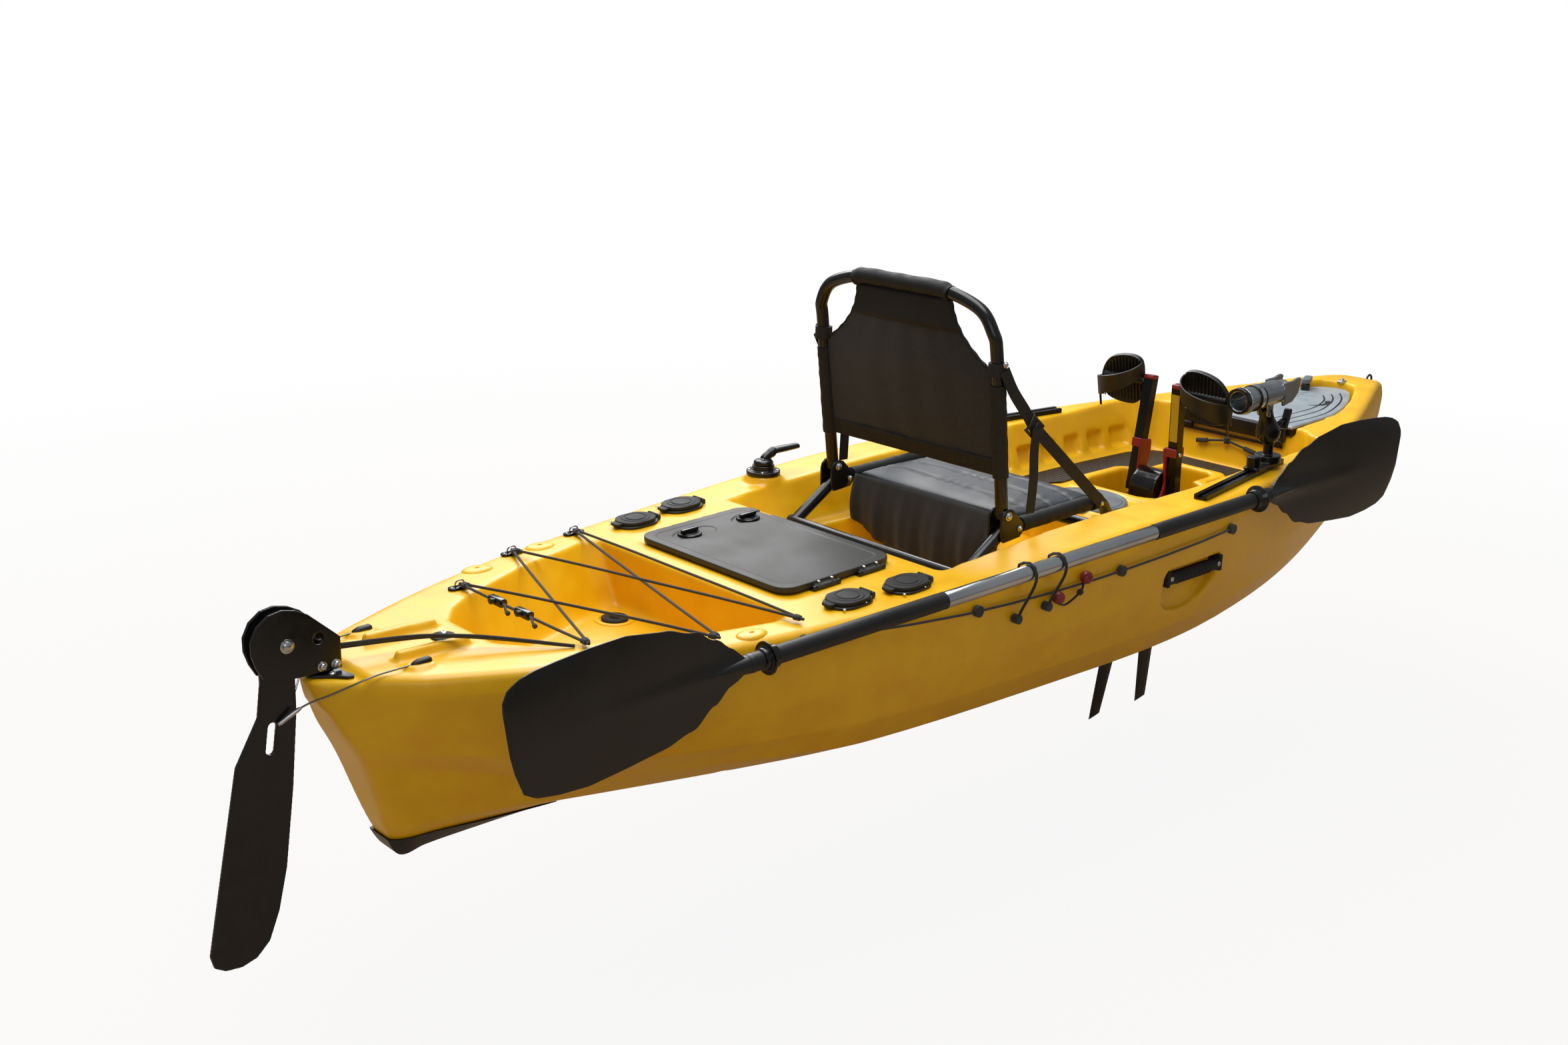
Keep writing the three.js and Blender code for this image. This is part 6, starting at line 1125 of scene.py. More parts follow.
levels, columns = 84, 60
skin_points = []
for face in (1, -1):
    for i in range(levels + 1):
        z = foot_z + (top_z - foot_z) * i / levels
        for j in range(columns + 1):
            share = 2 * j / columns - 1
            y = share * wing(z)
            pull = 0.0016 * math.sin(9 * share + 26 * z) * math.sin(31 * z - 7 * share) * (1 - abs(share))
            skin_points.append((back_x(z) - belly(share, z) + pull + face * 0.0012, y, z))
back_cloth = outward(double_skin("backrest_mesh", skin_points, levels, columns))
dressed(back_cloth, mesh_cloth, "backrest", "black_fabric", "backrest_fabric")
trims = []
sleeve_radius = 0.0156
for side in (-1, 1):
    run = [(back_x(z), side * seat_half, z) for z in (foot_z, 0.53, 0.59, 0.63, sleeve_top)]
    trims.append(strand("side_sleeve", run,
                        lambda t: sleeve_radius + 0.0006 * math.sin(34 * t) * math.sin(13 * t), 90, 26))
    bind = [(back_x(z) + 0.0002, side * wing(z), z)
            for z in (0.666, 0.678, 0.690, 0.712, 0.740, 0.770, 0.800, 0.822)]
    trims.append(strand("binding", bind, lambda t: 0.0030 + 0.0006 * math.sin(60 * t), 70, 10))
top_run = [p for p in back_route if abs(p[1]) <= 0.1001]
top_run = [(top_x, -0.126, top_z - 0.0068)] + top_run + [(top_x, 0.126, top_z - 0.0068)]
trims.append(strand("top_sleeve", top_run, lambda t: sleeve_radius + 0.0005 * math.sin(40 * t), 90, 26))
for face in (1, -1):
    hem = [(back_x(0.515) - 0.014 * (1 - s * s) * 0.28 + face * 0.0020, s * 0.222,
            0.515 + 0.003 * math.sin(5 * s)) for s in (-1, -0.66, -0.33, 0, 0.33, 0.66, 1)]
    trims.append(strand("hem_cord", hem, 0.0013, 60, 8))
for z0, z1 in ((0.482, 0.5135), (0.752, 0.812)):
    for face in (1, -1):
        rows = []
        for k in range(9):
            z = z0 + (z1 - z0) * k / 8
            rows.append([(back_x(z) - belly(s, z) + face * 0.0026, s * wing(z) * 0.985, z)
                         for s in [2 * j / 40 - 1 for j in range(41)]])
        trims.append(applied(lofted("band", rows, closed=False), "SOLIDIFY", thickness=0.0009, offset=0.0))
trim = gathered("backrest_bindings", trims)
dressed(trim, webbing, "backrest", "black_webbing")

# The seat: a foam pad in a woven polyester cover, quilted by seams across it. Sleeves hold it to the rails,
# a web of webbing bears it, and a skirt of the same cloth hangs behind it under the back.
quilted = surface("blue_grey_woven_cover", "#1b1e22", "#33383f", (0.42, 0.60), 0.0011, 0.00024, patch=0.09,
                  edge=0.002)
pad_back, pad_front, pad_half = -0.200, 0.062, 0.216
steps_x, steps_y = 72, 96
seam_places = (-0.128, -0.062, 0.004)
pad_points = []
for face in (1, -1):
    for i in range(steps_x + 1):
        u = 2 * i / steps_x - 1
        for j in range(steps_y + 1):
            v = 2 * j / steps_y - 1
            x = (pad_back + pad_front) / 2 + (pad_front - pad_back) / 2 * u * math.sqrt(1 - 0.10 * v * v)
            y = pad_half * v * math.sqrt(1 - 0.06 * u * u)
            full = max(0.0, 1 - max(abs(u) ** 7, abs(v) ** 9)) ** 0.42
            crown = 0.0130 + 0.0075 * (1 - u * u) * (1 - v ** 4)
            z = crown * full if face == 1 else -0.0085 * full
            if face == 1:
                for k, seam in enumerate(seam_places):
                    off = x - seam - 0.006 * math.sin(2.6 * v + k)
                    z -= 0.0055 * math.exp(-(off / 0.0042) ** 2) * full
                    gather = math.sin(150 * y + 3 * k + 4 * math.sin(31 * y))
                    z -= 0.0011 * math.exp(-(off / 0.016) ** 2) * gather * full
                z += 0.0010 * math.sin(23 * x + 11 * y) * math.sin(17 * y - 9 * x) * full
            pad_points.append((x, y, 0.3782 + z))
cushion = double_skin("seat_cushion_pad", pad_points, steps_x, steps_y, rim=False)
applied(cushion, "WELD", merge_threshold=0.00005)
outward(cushion)
dressed(cushion, quilted, "kayak", "black_fabric", "seat_cushion")
sleeve_line = ((-0.196, 0.3744), (-0.120, 0.3762), (-0.050, 0.3779), (0.018, 0.3794))
rail_sleeves = [strand("rail_sleeve", [(x, side * seat_half, z) for x, z in sleeve_line],
                       lambda t: 0.0155 + 0.0005 * math.sin(33 * t) * math.sin(12 * t), 60, 24)
                for side in (-1, 1)]
web_corners = [(x, y, z) for z in (0.3722, 0.3742) for x in (-0.196, 0.018) for y in (-0.232, 0.232)]
web = mesh_object("pad_web", web_corners, [(0, 1, 3, 2), (4, 6, 7, 5), (0, 4, 5, 1), (2, 3, 7, 6),
                                           (0, 2, 6, 4), (1, 5, 7, 3)], smooth=False)
dressed(joined(*rail_sleeves, web), webbing, "kayak", "black_webbing")
skirt_rows = []
for k in range(15):
    t = k / 14
    row = []
    for j in range(49):
        s = 2 * j / 48 - 1
        drop = t * (0.135 + 0.012 * math.cos(3 * s) - 0.03 * abs(s) ** 3)
        fold = 0.0045 * t * math.sin(15 * s + 1.5 * t) + 0.002 * t * math.sin(37 * s)
        row.append((-0.2035 - 0.020 * math.sin(2.2 * t) + fold, s * (0.214 - 0.012 * t),
                    0.3830 - drop + 0.004 * (1 - s * s) * (1 - t)))
    skirt_rows.append(row)
skirt = applied(lofted("seat_skirt", skirt_rows, closed=False), "SOLIDIFY", thickness=0.0014, offset=0.0)
dressed(skirt, mesh_cloth, "kayak", "black_fabric")

# Side straps: 25 mm polyester webbing from the back's tube to the front of the rail, with a ladder buckle of
# moulded nylon between them. The spare end hangs slack below it.
def ribbon(name, points, width, thick, y, count=40):
    """A band of webbing that runs through points (x, z) at one side of the boat."""
    line = flowing([(x, y + sway, z) for x, z, sway in points], count)
    rings = []
    for i, at in enumerate(line):
        run = line[min(i + 1, count - 1)] - line[max(i - 1, 0)]
        wide = Vector((-run.z, 0, run.x)).normalized() * width / 2
        out = Vector((0, thick / 2, 0))
        rings.append([at + wide + out, at + wide * 0.9 + out * 1.1, at - wide * 0.9 + out * 1.1,
                      at - wide + out, at - wide - out, at - wide * 0.9 - out * 1.1,
                      at + wide * 0.9 - out * 1.1, at + wide - out])
    return smooth(lofted(name, rings), 50)


strap_top, strap_buckle, strap_low = (back_x(0.694), 0.694), (-0.192, 0.571), (0.040, 0.3798)
strap_width, strap_y = 0.025, 0.2535
for side, hand in both_sides:
    y = side * strap_y
    upper = [(*strap_top, 0), (-0.262, 0.650, side * 0.0016), (-0.222, 0.607, 0), (*strap_buckle, 0)]
    lower = [(*strap_buckle, side * 0.0012), (-0.120, 0.511, side * 0.0022), (-0.040, 0.446, 0),
             (*strap_low, 0)]
    spare = [(-0.190, 0.572, side * 0.0040), (-0.194, 0.520, side * 0.0052), (-0.193, 0.470, side * 0.0068),
             (-0.196, 0.402, side * 0.0060)]
    pieces = [ribbon("strap_band", line, strap_width, thick, y)
              for line, thick in ((upper, 0.0022), (lower, 0.0022), (spare, 0.0018))]
    for x, z, dx, dz in ((*strap_top, 0.0, 1.0), (*strap_low, 1.0, 0.03)):
        loop = [(x + along * dx, side * seat_half, z + along * dz) for along in (-0.0125, 0.0, 0.0125)]
        pieces.append(strand("strap_loop", loop, 0.0176, 8, 28))
    strap = gathered("seat_strap_" + hand, pieces)
    coated(strap, webbing)
    run = Vector((strap_low[0] - strap_buckle[0], 0, strap_low[1] - strap_buckle[1])).normalized()
    wide = Vector((-run.z, 0, run.x))
    buckle_at, half_bar = Vector((strap_buckle[0], y, strap_buckle[1])), 0.0165
    bars = []
    for along in (-0.019, 0.0, 0.019):
        a, b = [buckle_at + run * along + wide * w for w in (-half_bar, half_bar)]
        bowed_out = (a + b) / 2 + Vector((0, side * 0.0022, 0))
        bars.append(strand("buckle_bar", [a, bowed_out, b], 0.0027, 10, 10))
    for w in (-half_bar, half_bar):
        a, b = [buckle_at + run * along + wide * w for along in (-0.021, 0.021)]
        bars.append(strand("buckle_side", [a, (a + b) / 2, b], 0.0031, 6, 10))
    buckle = gathered("strap_buckle_" + hand, bars)
    coated(buckle, satin_black)
    for made in (strap, buckle):
        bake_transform(made)
    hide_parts("seat_strap_" + hand)
    for body, x, z in (("backrest", strap_top[0] + 0.001, 0.7055), ("kayak", 0.0405, 0.3797)):
        bolt = spun(f"strap_bolt_{hand}_{body}", (x, side * (seat_half + 0.0176), z), (0, side, 0),
                    [(0, 0.0062), (0.0012, 0.0062), (0.0016, 0.0050), (0.0042, 0.0044), (0.0056, 0.0022),
                     (0.0058, 0.0002)], 24)
        steel(bolt, body)

# The round hatch before the seat: a screwed polyethylene lid in grey, with a flat rim, a low dome and a
# ribbed grip bar across it. It shuts on the boss with a dark ring of rubber.
grey_lid = surface("blue_grey_moulded_lid", "#5d666e", "#747e86", (0.30, 0.44), 0.0010, 0.00005, patch=0.07)
lid_x, lid_base, lid_radius, lid_thick = round_lid_place, 0.2743, round_lid_radius, 0.009
cover = spun("round_hatch_cover", (lid_x, 0, lid_base), (0, 0, 1),
             [(0.0004, 0.0955), (0.0012, 0.0976), (0.0066, lid_radius), (0.0086, 0.0966),
              (lid_thick, 0.0945), (0.0092, 0.0895), (0.0080, 0.0885), (0.0080, 0.0866), (0.0094, 0.0856),
              (0.0105, 0.0740), (0.0114, 0.0560), (0.0119, 0.0300), (0.0120, 0.0004)], 96)
grips = [block("grip", [(lid_x + a, b) for a, b in rounded_outline(0.112, 0.020, 0.008)], lid_base + 0.0085,
               lid_base + 0.0132, 0.0018)]
for i in range(9):
    rib = prism("rib", rounded_outline(0.0042, 0.0176, 0.0016), lid_base + 0.0128, lid_base + 0.0150)
    grips.append(moved(rib, lid_x - 0.044 + i * 0.011, 0, 0))
dressed(smooth(joined(cover, *grips), 30), grey_lid, "round_hatch_lid", "grey_plastic", "round_hatch_lid")
ring = spun("round_hatch_seal", (lid_x, 0, lid_base - 0.0012), (0, 0, 1),
            [(0, 0.0925), (0.0008, 0.0962), (0.0022, 0.0962), (0.0026, 0.093)], 96)
dressed(ring, dark_rubber, "round_hatch_lid", "black_rubber")

# The footwell's mats: 4 mm closed-cell foam, cut to the floor and stamped with staggered bricks that drain
# between them. They are glued down.
foam, tree = new_material("black_stamped_foam")
place = object_place(tree)
bricks = add_node(tree, "ShaderNodeTexBrick", {"offset": 0.5},
                  {"Scale": 1.0, "Brick Width": 0.030, "Row Height": 0.0125, "Mortar Size": 0.0030,
                   "Mortar Smooth": 0.9, "Color1": linear("#111112"), "Color2": linear("#19191a"),
                   "Mortar": linear("#050505")}, {"Vector": place})
stamped = bumped(tree, bricks.outputs["Fac"], 1.0, 0.0022, invert=True)
porous = bumped(tree, noise(tree, place, 1500.0, 2.0), 0.5, 0.0002, stamped)
finish_surface(tree, {"Roughness": 0.52}, {"Base Color": bricks.outputs["Color"], "Normal": porous})
for hand in ("port", "starboard"):
    dressed(eased(twin_of("mat_" + hand), 0.0016, 2), foam, "kayak", "grey_foam", "mat_" + hand)

# The pedal drive: a glossy moulded housing that drops into the well, two red cast brackets, two black
# anodised masts with red caps, pedals like sandals, and two flexing fins on stainless rods below the hull.
red_coat = surface("red_powder_coat", "#7a1418", "#8d1c1f", (0.26, 0.38), 0.0009, 0.00004)
black_anodised = surface("black_anodised_aluminium", "#101012", "#1b1b1e", (0.22, 0.32), 0.0009, 0.00003,
                         metallic=0.55, patch=0.12)
pedal_rubber = surface("black_moulded_pedal", "#0d0d0d", "#171716", (0.36, 0.52), 0.0009, 0.00010)
fin_rubber = surface("black_flexible_fin", "#0c0c0d", "#151517", (0.30, 0.46), 0.0012, 0.00005, patch=0.08)
moulded("drive_housing", 0.0026, 4, gloss_black, "kayak", "black_plastic", 60)
steel(tube_between("fin_rod", (0.4465, 0, -0.022), (0.6585, 0, -0.022), 0.0053, sides=20))
for x in (0.462, 0.700):
    for y in (-0.040, 0.040):
        screwed(f"flange_screw_{x}_{y}", (x, y, 0.1176), (0, 0, 1), 0.0062)
drive_pivot = Vector((0.582, 0, 0.262))
pedal_tilt = math.radians(-12)
pedal_rise = Vector((math.sin(pedal_tilt), 0, math.cos(pedal_tilt)))
pedal_face = Vector((-math.cos(pedal_tilt), 0, math.sin(pedal_tilt)))


def mast_ways(axle):
    """The directions up a mast and forward of it."""
    up = Vector((axle[0] - drive_pivot.x, 0, axle[1] - drive_pivot.z)).normalized()
    return up, Vector((up.z, 0, -up.x))


def on_pedal(side, middle, across, up, out):
    """A place on a pedal: across it from the mast, up its sole, and out from its face."""
    return middle + Vector((0, side * across, 0)) + pedal_rise * up + pedal_face * out


sole_outline = [(u, v, 0) for u, v in (
    (-0.050, -0.050), (-0.059, -0.010), (-0.060, 0.044), (-0.040, 0.060), (0.000, 0.058), (0.034, 0.044),
    (0.056, 0.014), (0.062, -0.020), (0.050, -0.052), (0.018, -0.064), (-0.026, -0.064), (-0.050, -0.050))]
port_axle, starboard_axle = (0.6184, 0.5053), (0.5700, 0.5077)
for side, hand, axle in ((1, "port", port_axle), (-1, "starboard", starboard_axle)):
    body = "mast_" + hand
    up, fore = mast_ways(axle)
    moulded("crank_bracket_" + hand, 0.0013, 4, red_coat, body, "red_plastic", 60)
    mast = eased(twin_of("mast_" + hand), 0.0022)
    dressed(smooth(mast), black_anodised, body, "black_tube", "mast_" + hand)
    corners = [drive_pivot + up * (0.2535 + a) + fore * b
               for a, b in ((0, -0.0122), (0, 0.0122), (0.0060, 0.0122), (0.0098, 0.0085),
                            (0.0098, -0.0085), (0.0060, -0.0122))]
    low, high = sorted((side * 0.0440, side * 0.0698))
    cap = block("mast_cap", [(p.x, p.z) for p in corners], low, high, 0.0020, "y")
    cap.name = "mast_cap_" + hand
    dressed(smooth(cap), red_coat, body, "red_plastic")
    for along, radius in ((0.0, 0.0085), (0.112 * 0.86, 0.0052)):
        at = drive_pivot + up * along
        bolt = spun(f"crank_bolt_{hand}_{along}", (at.x, side * 0.0690, at.z), (0, side, 0),
                    [(-0.001, radius), (0.0022, radius), (0.0036, radius * 0.8), (0.0042, radius * 0.5),
                     (0.0030, radius * 0.45), (0.0028, 0.0002)], 24)
        steel(bolt, body)
    middle = Vector((axle[0], side * 0.136, axle[1]))
    rim = flowing(sole_outline, 73)[:-1]
    sole = lofted("pedal_" + hand, [[on_pedal(side, middle, p.x * f, p.y * f, w) for p in rim]
                                    for f, w in ((0.93, -0.0075), (1, -0.0045), (1, 0.0030),
                                                 (0.97, 0.0062), (0.93, 0.0050))])
    hoop = []
    for i in range(41):
        t = i / 40
        turn = math.pi * t
        normal = Vector((-0.050 * math.cos(turn), 0.061 * math.sin(turn))).normalized()
        upper, lower = 0.048 - 0.052 * t, 0.014 - 0.070 * t
        edges = ((upper - 0.0012, 0.0022), (upper, 0.0), (upper - 0.0012, -0.0022),
                 (lower + 0.0012, -0.0022), (lower, 0.0), (lower + 0.0012, 0.0022))
        hoop.append([on_pedal(side, middle, -0.0605 * math.cos(turn) + normal.x * w, v,
                              0.002 + 0.050 * math.sin(turn) ** 0.85 + normal.y * w) for v, w in edges])
    band = lofted("band", hoop)
    boss = spun("boss", middle + Vector((0, -side * 0.0625, 0)), (0, side, 0),
                [(0, 0.0105), (0.001, 0.0115), (0.112, 0.0115), (0.114, 0.0100)], 32)
    tail = block("tail", rounded_outline(0.0075, 0.0032, 0.002), -0.026, 0.026, 0.001, segments=2)
    for vertex in tail.data.vertices:
        x, y, z = vertex.co
        vertex.co = on_pedal(side, middle, 0.060 + y, z - 0.052, 0.016 + x)
    dressed(smooth(outward(joined(sole, outward(band), boss, tail)), 40), pedal_rubber, "pedal_" + hand,
            "black_rubber", "pedal_" + hand)
    for i in range(12):
        across = (i - 5.5) * 0.0095
        top = 0.052 - max(0.0, across) ** 1.5 * 3.4
        ends = [on_pedal(side, middle, across, height, 0.0062) for height in (-0.054, 0.0, top)]
        rib = strand("rib", ends, 0.0016, 12, 8)
        rib.name = f"pedal_rib_{hand}_{i}"
        dressed(rib, pedal_rubber, "pedal_" + hand, "black_rubber")
    hub_bolt = spun("pedal_bolt_" + hand, (axle[0], side * 0.0735, axle[1]), (0, -side, 0),
                    [(-0.003, 0.0078), (0.0015, 0.0078), (0.0020, 0.0060), (0.0038, 0.0056),
                     (0.0042, 0.0002)], 24)
    steel(hub_bolt, "pedal_" + hand)
label_yellow, tree = new_material("yellow_printed_vinyl")
spot = add_node(tree, "ShaderNodeSeparateXYZ", links={0: object_place(tree)})
print_lines = worked_out(tree, "SINE", worked_out(tree, "MULTIPLY", spot.outputs["Z"], 1500.0))
finish_surface(tree, {"Roughness": 0.35},
               {"Base Color": toned(tree, print_lines, (0.55, "#c9a21d"), (0.95, "#8c7016"))})
up, fore = mast_ways(starboard_axle)
corners = [drive_pivot + up * a - fore * b for a, b in
           ((0.128, 0.0111), (0.128, 0.0114), (0.240, 0.0114), (0.240, 0.0111))]
label = prism("mast_label", [(p.x, p.z) for p in corners], -0.0675, -0.0465, "y")
dressed(label, label_yellow, "mast_starboard", "black_tube")
for end in ("aft", "fore"):
    moulded("fin_" + end, 0.0016, 4, fin_rubber, "fin_" + end, "black_rubber", 60)

# Gear tracks on the gunwales: black anodised rails, screwed down. The starboard one carries a rod holder,
# with a sliding foot, a moulded arm with a thumb nut on a ball, and an alloy tube between black rings.
for side, hand in reversed(both_sides):
    rail = eased(twin_of("gear_track_" + hand), 0.0008, 2)
    dressed(smooth(rail, 30), black_anodised, "kayak", "black_tube", "gear_track_" + hand)
moulded("rod_holder_base", 0.0013, 5, satin_black, "rod_holder_base", "black_plastic", 60)


def collar(name, centre, axis, profile, sides=56):
    """A turned ring: a closed profile of (distance along the axis, radius) swept round it."""
    turn = Vector((0, 0, 1)).rotation_difference(Vector(axis).normalized())
    count = len(profile)
    hoops = [ring_about(Vector(centre), turn, r, h, sides) for h, r in profile]
    points = [hoop[i] for i in range(sides) for hoop in hoops]
    faces = [(i * count + j, i * count + (j + 1) % count, (i + 1) % sides * count + (j + 1) % count,
              (i + 1) % sides * count + j) for i in range(sides) for j in range(count)]
    return smooth(outward(mesh_object(name, points, faces)), 40)


rod_y = -0.3206
arm_foot, arm_head = Vector((0.5399, rod_y, 0.4448)), Vector((0.5115, rod_y, 0.5260))
arm = spun("rod_holder_arm", arm_foot, arm_head - arm_foot,
           [(-0.001, 0.0085), (0.0030, 0.0120), (0.0075, 0.0190), (0.0140, 0.0240), (0.0230, 0.0264),
            (0.0320, 0.0262), (0.0410, 0.0236), (0.0500, 0.0196), (0.0580, 0.0168), (0.0680, 0.0152),
            (0.0780, 0.0148), (0.0850, 0.0156), (0.0870, 0.0140), (0.0875, 0.0002)], 64)
bolt_foot, bolt_head = Vector((0.5560, rod_y, 0.4800)), Vector((0.5930, rod_y, 0.4890))
barrel = tube_between("arm_bolt", bolt_foot, bolt_head, 0.0062, sides=24)
thumb_wing = block("arm_wing", rounded_outline(0.0125, 0.046, 0.0045), -0.0075, 0.0075, 0.0022, "y")
wing_place = Matrix.Translation((0.5990, rod_y, 0.4905))
thumb_wing.matrix_world = wing_place @ Matrix.Rotation(math.radians(18), 4, "Y")
ball = spun("arm_ball", arm_foot, (0, 0, 1), ball_profile(0.0118), 32)
dressed(joined(arm, barrel, thumb_wing, ball), satin_black, "rod_holder_arm", "black_plastic",
        "rod_holder_arm")
alloy = surface("satin_grey_alloy", "#878c90", "#a0a6aa", (0.18, 0.32), 0.0010, 0.00003, metallic=0.85,
                patch=0.06)
bright_bore = surface("polished_alloy_bore", "#b4bdc4", "#c9d0d5", (0.10, 0.18), 0.0010, 0.00002,
                      metallic=0.95, patch=0.06)
moulded("rod_holder_tube", 0.0013, 3, alloy, "rod_holder_tube", "silver_alloy", 60)
rod_at = Vector((0.5399, rod_y, 0.5545))
for name, along, length, low, high, material, slot in (
        ("front_ring", -0.1395, 0.0110, 0.0216, 0.0284, gloss_black, "black_plastic"),
        ("clamp_ring", -0.0900, 0.0040, 0.0250, 0.0290, gloss_black, "black_plastic"),
        ("clamp_band", -0.0860, 0.0150, 0.0250, 0.0278, stainless, "cable_steel"),
        ("rear_ring", -0.0710, 0.0040, 0.0250, 0.0290, gloss_black, "black_plastic"),
        ("bore_sleeve", -0.1380, 0.1700, 0.0208, 0.0219, bright_bore, "silver_alloy")):
    soft = min(0.0012, (high - low) / 3, length / 4)
    ring = collar("rod_tube_" + name, rod_at + Vector((along, 0, 0.0012)), (1, 0, 0.028),
                  [(0, low + soft), (soft, low), (length - soft, low), (length, low + soft),
                   (length, high - soft), (length - soft, high), (soft, high), (0, high - soft)])
    dressed(ring, material, "rod_holder_tube", slot)

# The front hatch: a blow-moulded polyethylene lid in grey over a seat of black. Five drain grooves sweep
# round its top, beside a crescent hand hold. Its hinges are black, and a lever turns at its front.
lid_floor, lid_rise, groove_count = 0.3744, 0.026, 5


def lid_outline(grow):
    """The lid's outline, seen from above, drawn in or out by a distance."""
    wide, shoulder, tip, front, bend = front_plan(grow)
    side = [(0.890 - grow, wide)]
    for i in range(17):
        t = i / 16
        side.append((curved(t, front_shoulder, bend[0], front - 0.020), curved(t, shoulder, bend[1], tip)))
    nose = [(curved(i / 8, front - 0.020, front + 0.020, front - 0.020), tip * (1 - i / 4))
            for i in range(1, 8)]
    return side + nose + [(x, -y) for x, y in reversed(side)]


def lid_rings(*levels):
    """The lid's outline at several levels, each its growth and its height above the lid's foot."""
    return [[(x, y, lid_floor + height) for x, y in lid_outline(grow)] for grow, height in levels]


black_skirt = lofted("front_lid_side", lid_rings((-0.003, 0), (0, 0.003), (0, 0.017), (-0.004, 0.0185)))
lip = block("front_lid_lip", [(0.8785, -0.156), (0.8905, -0.156), (0.8905, 0.156), (0.8785, 0.156)],
            0.3588, lid_floor + 0.020, 0.003)
barrels = [tube_between("hinge_barrel", (0.878, y - 0.016, 0.3583), (0.878, y + 0.016, 0.3583), 0.0050,
                        sides=20) for y in (-0.128, 0.128)]
dressed(smooth(joined(black_skirt, lip, *barrels), 40), satin_black, "front_hatch_lid", "black_plastic")
top = lofted("front_hatch_top", lid_rings((-0.0015, 0.017), (0.0005, 0.0195), (0.0003, 0.0225),
                                          (-0.0020, 0.0250), (-0.0060, lid_rise)))
grooves = []
for i in range(groove_count):
    reach = 0.145 - 0.027 * i
    route = [(0.884, reach - 0.006), (0.98, reach), (1.085 + 0.012 * i, reach * 0.97),
             (1.19, reach * 0.80 - 0.004), (1.275 - 0.018 * i, reach * 0.52),
             (1.335 - 0.030 * i, reach * 0.24)]
    line = flowing([(x, y, 0) for x, y in route], 40)
    for side in (1, -1):
        if side == -1 and i in (3, 4):
            continue
        left, right = [], []
        for k, at in enumerate(line):
            run = (line[min(k + 1, 39)] - line[max(k - 1, 0)]).normalized()
            wide = Vector((-run.y, run.x, 0)) * 0.0024
            left.append((at.x + wide.x, side * (at.y + wide.y)))
            right.append((at.x - wide.x, side * (at.y - wide.y)))
        grooves.append(prism("groove", left + right[::-1], lid_floor + 0.0232, lid_floor + 0.030))
cut_from(top, *grooves)
crescent_turns = [math.radians(195 + 9 * i) for i in range(17)]
crescent_outer = [(1.182 + 0.050 * math.cos(a), -0.058 + 0.034 * math.sin(a)) for a in crescent_turns]
crescent_inner = [(1.176 + 0.040 * math.cos(a), -0.050 + 0.028 * math.sin(a)) for a in crescent_turns]
cut_from(top, prism("crescent", crescent_outer + crescent_inner[::-1], lid_floor + 0.0190,
                    lid_floor + 0.030))
grey_top = surface("pale_grey_moulded_lid", "#8b959c", "#a3adb4", (0.30, 0.44), 0.0010, 0.00005, patch=0.10)
dressed(smooth(top, 30), grey_top, "front_hatch_lid", "grey_plastic", "front_hatch_lid")
floor_of_grooves = prism("front_lid_core", lid_outline(-0.010), lid_floor + 0.0180, lid_floor + 0.0236)
dressed(floor_of_grooves, satin_black, "front_hatch_lid", "black_plastic")
dressed(eased(twin_of("front_hinge"), 0.0006, 2), satin_black, "kayak", "black_plastic", "front_hinge")
moulded("front_latch", 0.0010, 5, grey_lid, "front_latch", "grey_plastic", 60)
stud = spun("front_latch_stud", (1.296, 0.044, lid_floor + lid_rise - 0.001), (0, 0, 1),
            [(0, 0.0120), (0.0160, 0.0116), (0.0176, 0.0106), (0.0178, 0.0002)], 40)
dressed(stud, satin_black, "front_hatch_lid", "black_plastic")
fitting = spun("bow_fitting", (1.402, 0, sheer(1.402) - 0.0005), (0, 0, 1),
               [(-0.003, 0.0125), (0.0014, 0.0125), (0.0024, 0.0110), (0.0034, 0.0060), (0.0070, 0.0052),
                (0.0080, 0.0035), (0.0082, 0.0002)], 30)
steel(fitting)
tip_place = 1.545
tip_level = sheer(tip_place)
eye_foot = spun("bow_eye_foot", (tip_place, 0, tip_level - 0.001), (0, 0, 1),
                [(-0.003, 0.015), (0.002, 0.015), (0.004, 0.012), (0.0045, 0.0002)], 24)
eye_points = [(tip_place + along, 0, tip_level + height) for along, height in
              ((-0.013, 0), (-0.010, 0.013), (0, 0.018), (0.010, 0.013), (0.013, 0))]
dressed(gathered("bow_pad_eye", [eye_foot, strand("bow_eye", eye_points, 0.0028, 30, 12)]), satin_black,
        "kayak", "black_plastic")
dressed(smooth(eased(twin_of("bulkhead_cord"), 0.0004, 1), 50), braid, "kayak", "black_cord",
        "bulkhead_cord")

# Carry handles on both sides: a thick bar of soft black rubber on two webbing straps, screwed into the
# moulded pockets, with raised finger ribs round the grip.
for side, hand in reversed(both_sides):
    moulded("carry_handle_" + hand, 0.0016, 4, dark_rubber, "kayak", "black_rubber", 60)
    for i in range(9):
        x = pocket_place + (i - 4) * 0.0135
        hoop = spun(f"handle_rib_{hand}_{i}", (x, side * 0.401, 0.246), (1, 0, 0),
                    [(-0.0028, 0.0128), (-0.0016, 0.0142), (0.0016, 0.0142), (0.0028, 0.0128)], 28)
        dressed(hoop, dark_rubber, "kayak", "black_rubber")
    for x in (0.078, 0.242):
        screwed(f"handle_screw_{hand}_{x}", (x, side * 0.4135, 0.250), (0, side, 0), 0.0052)

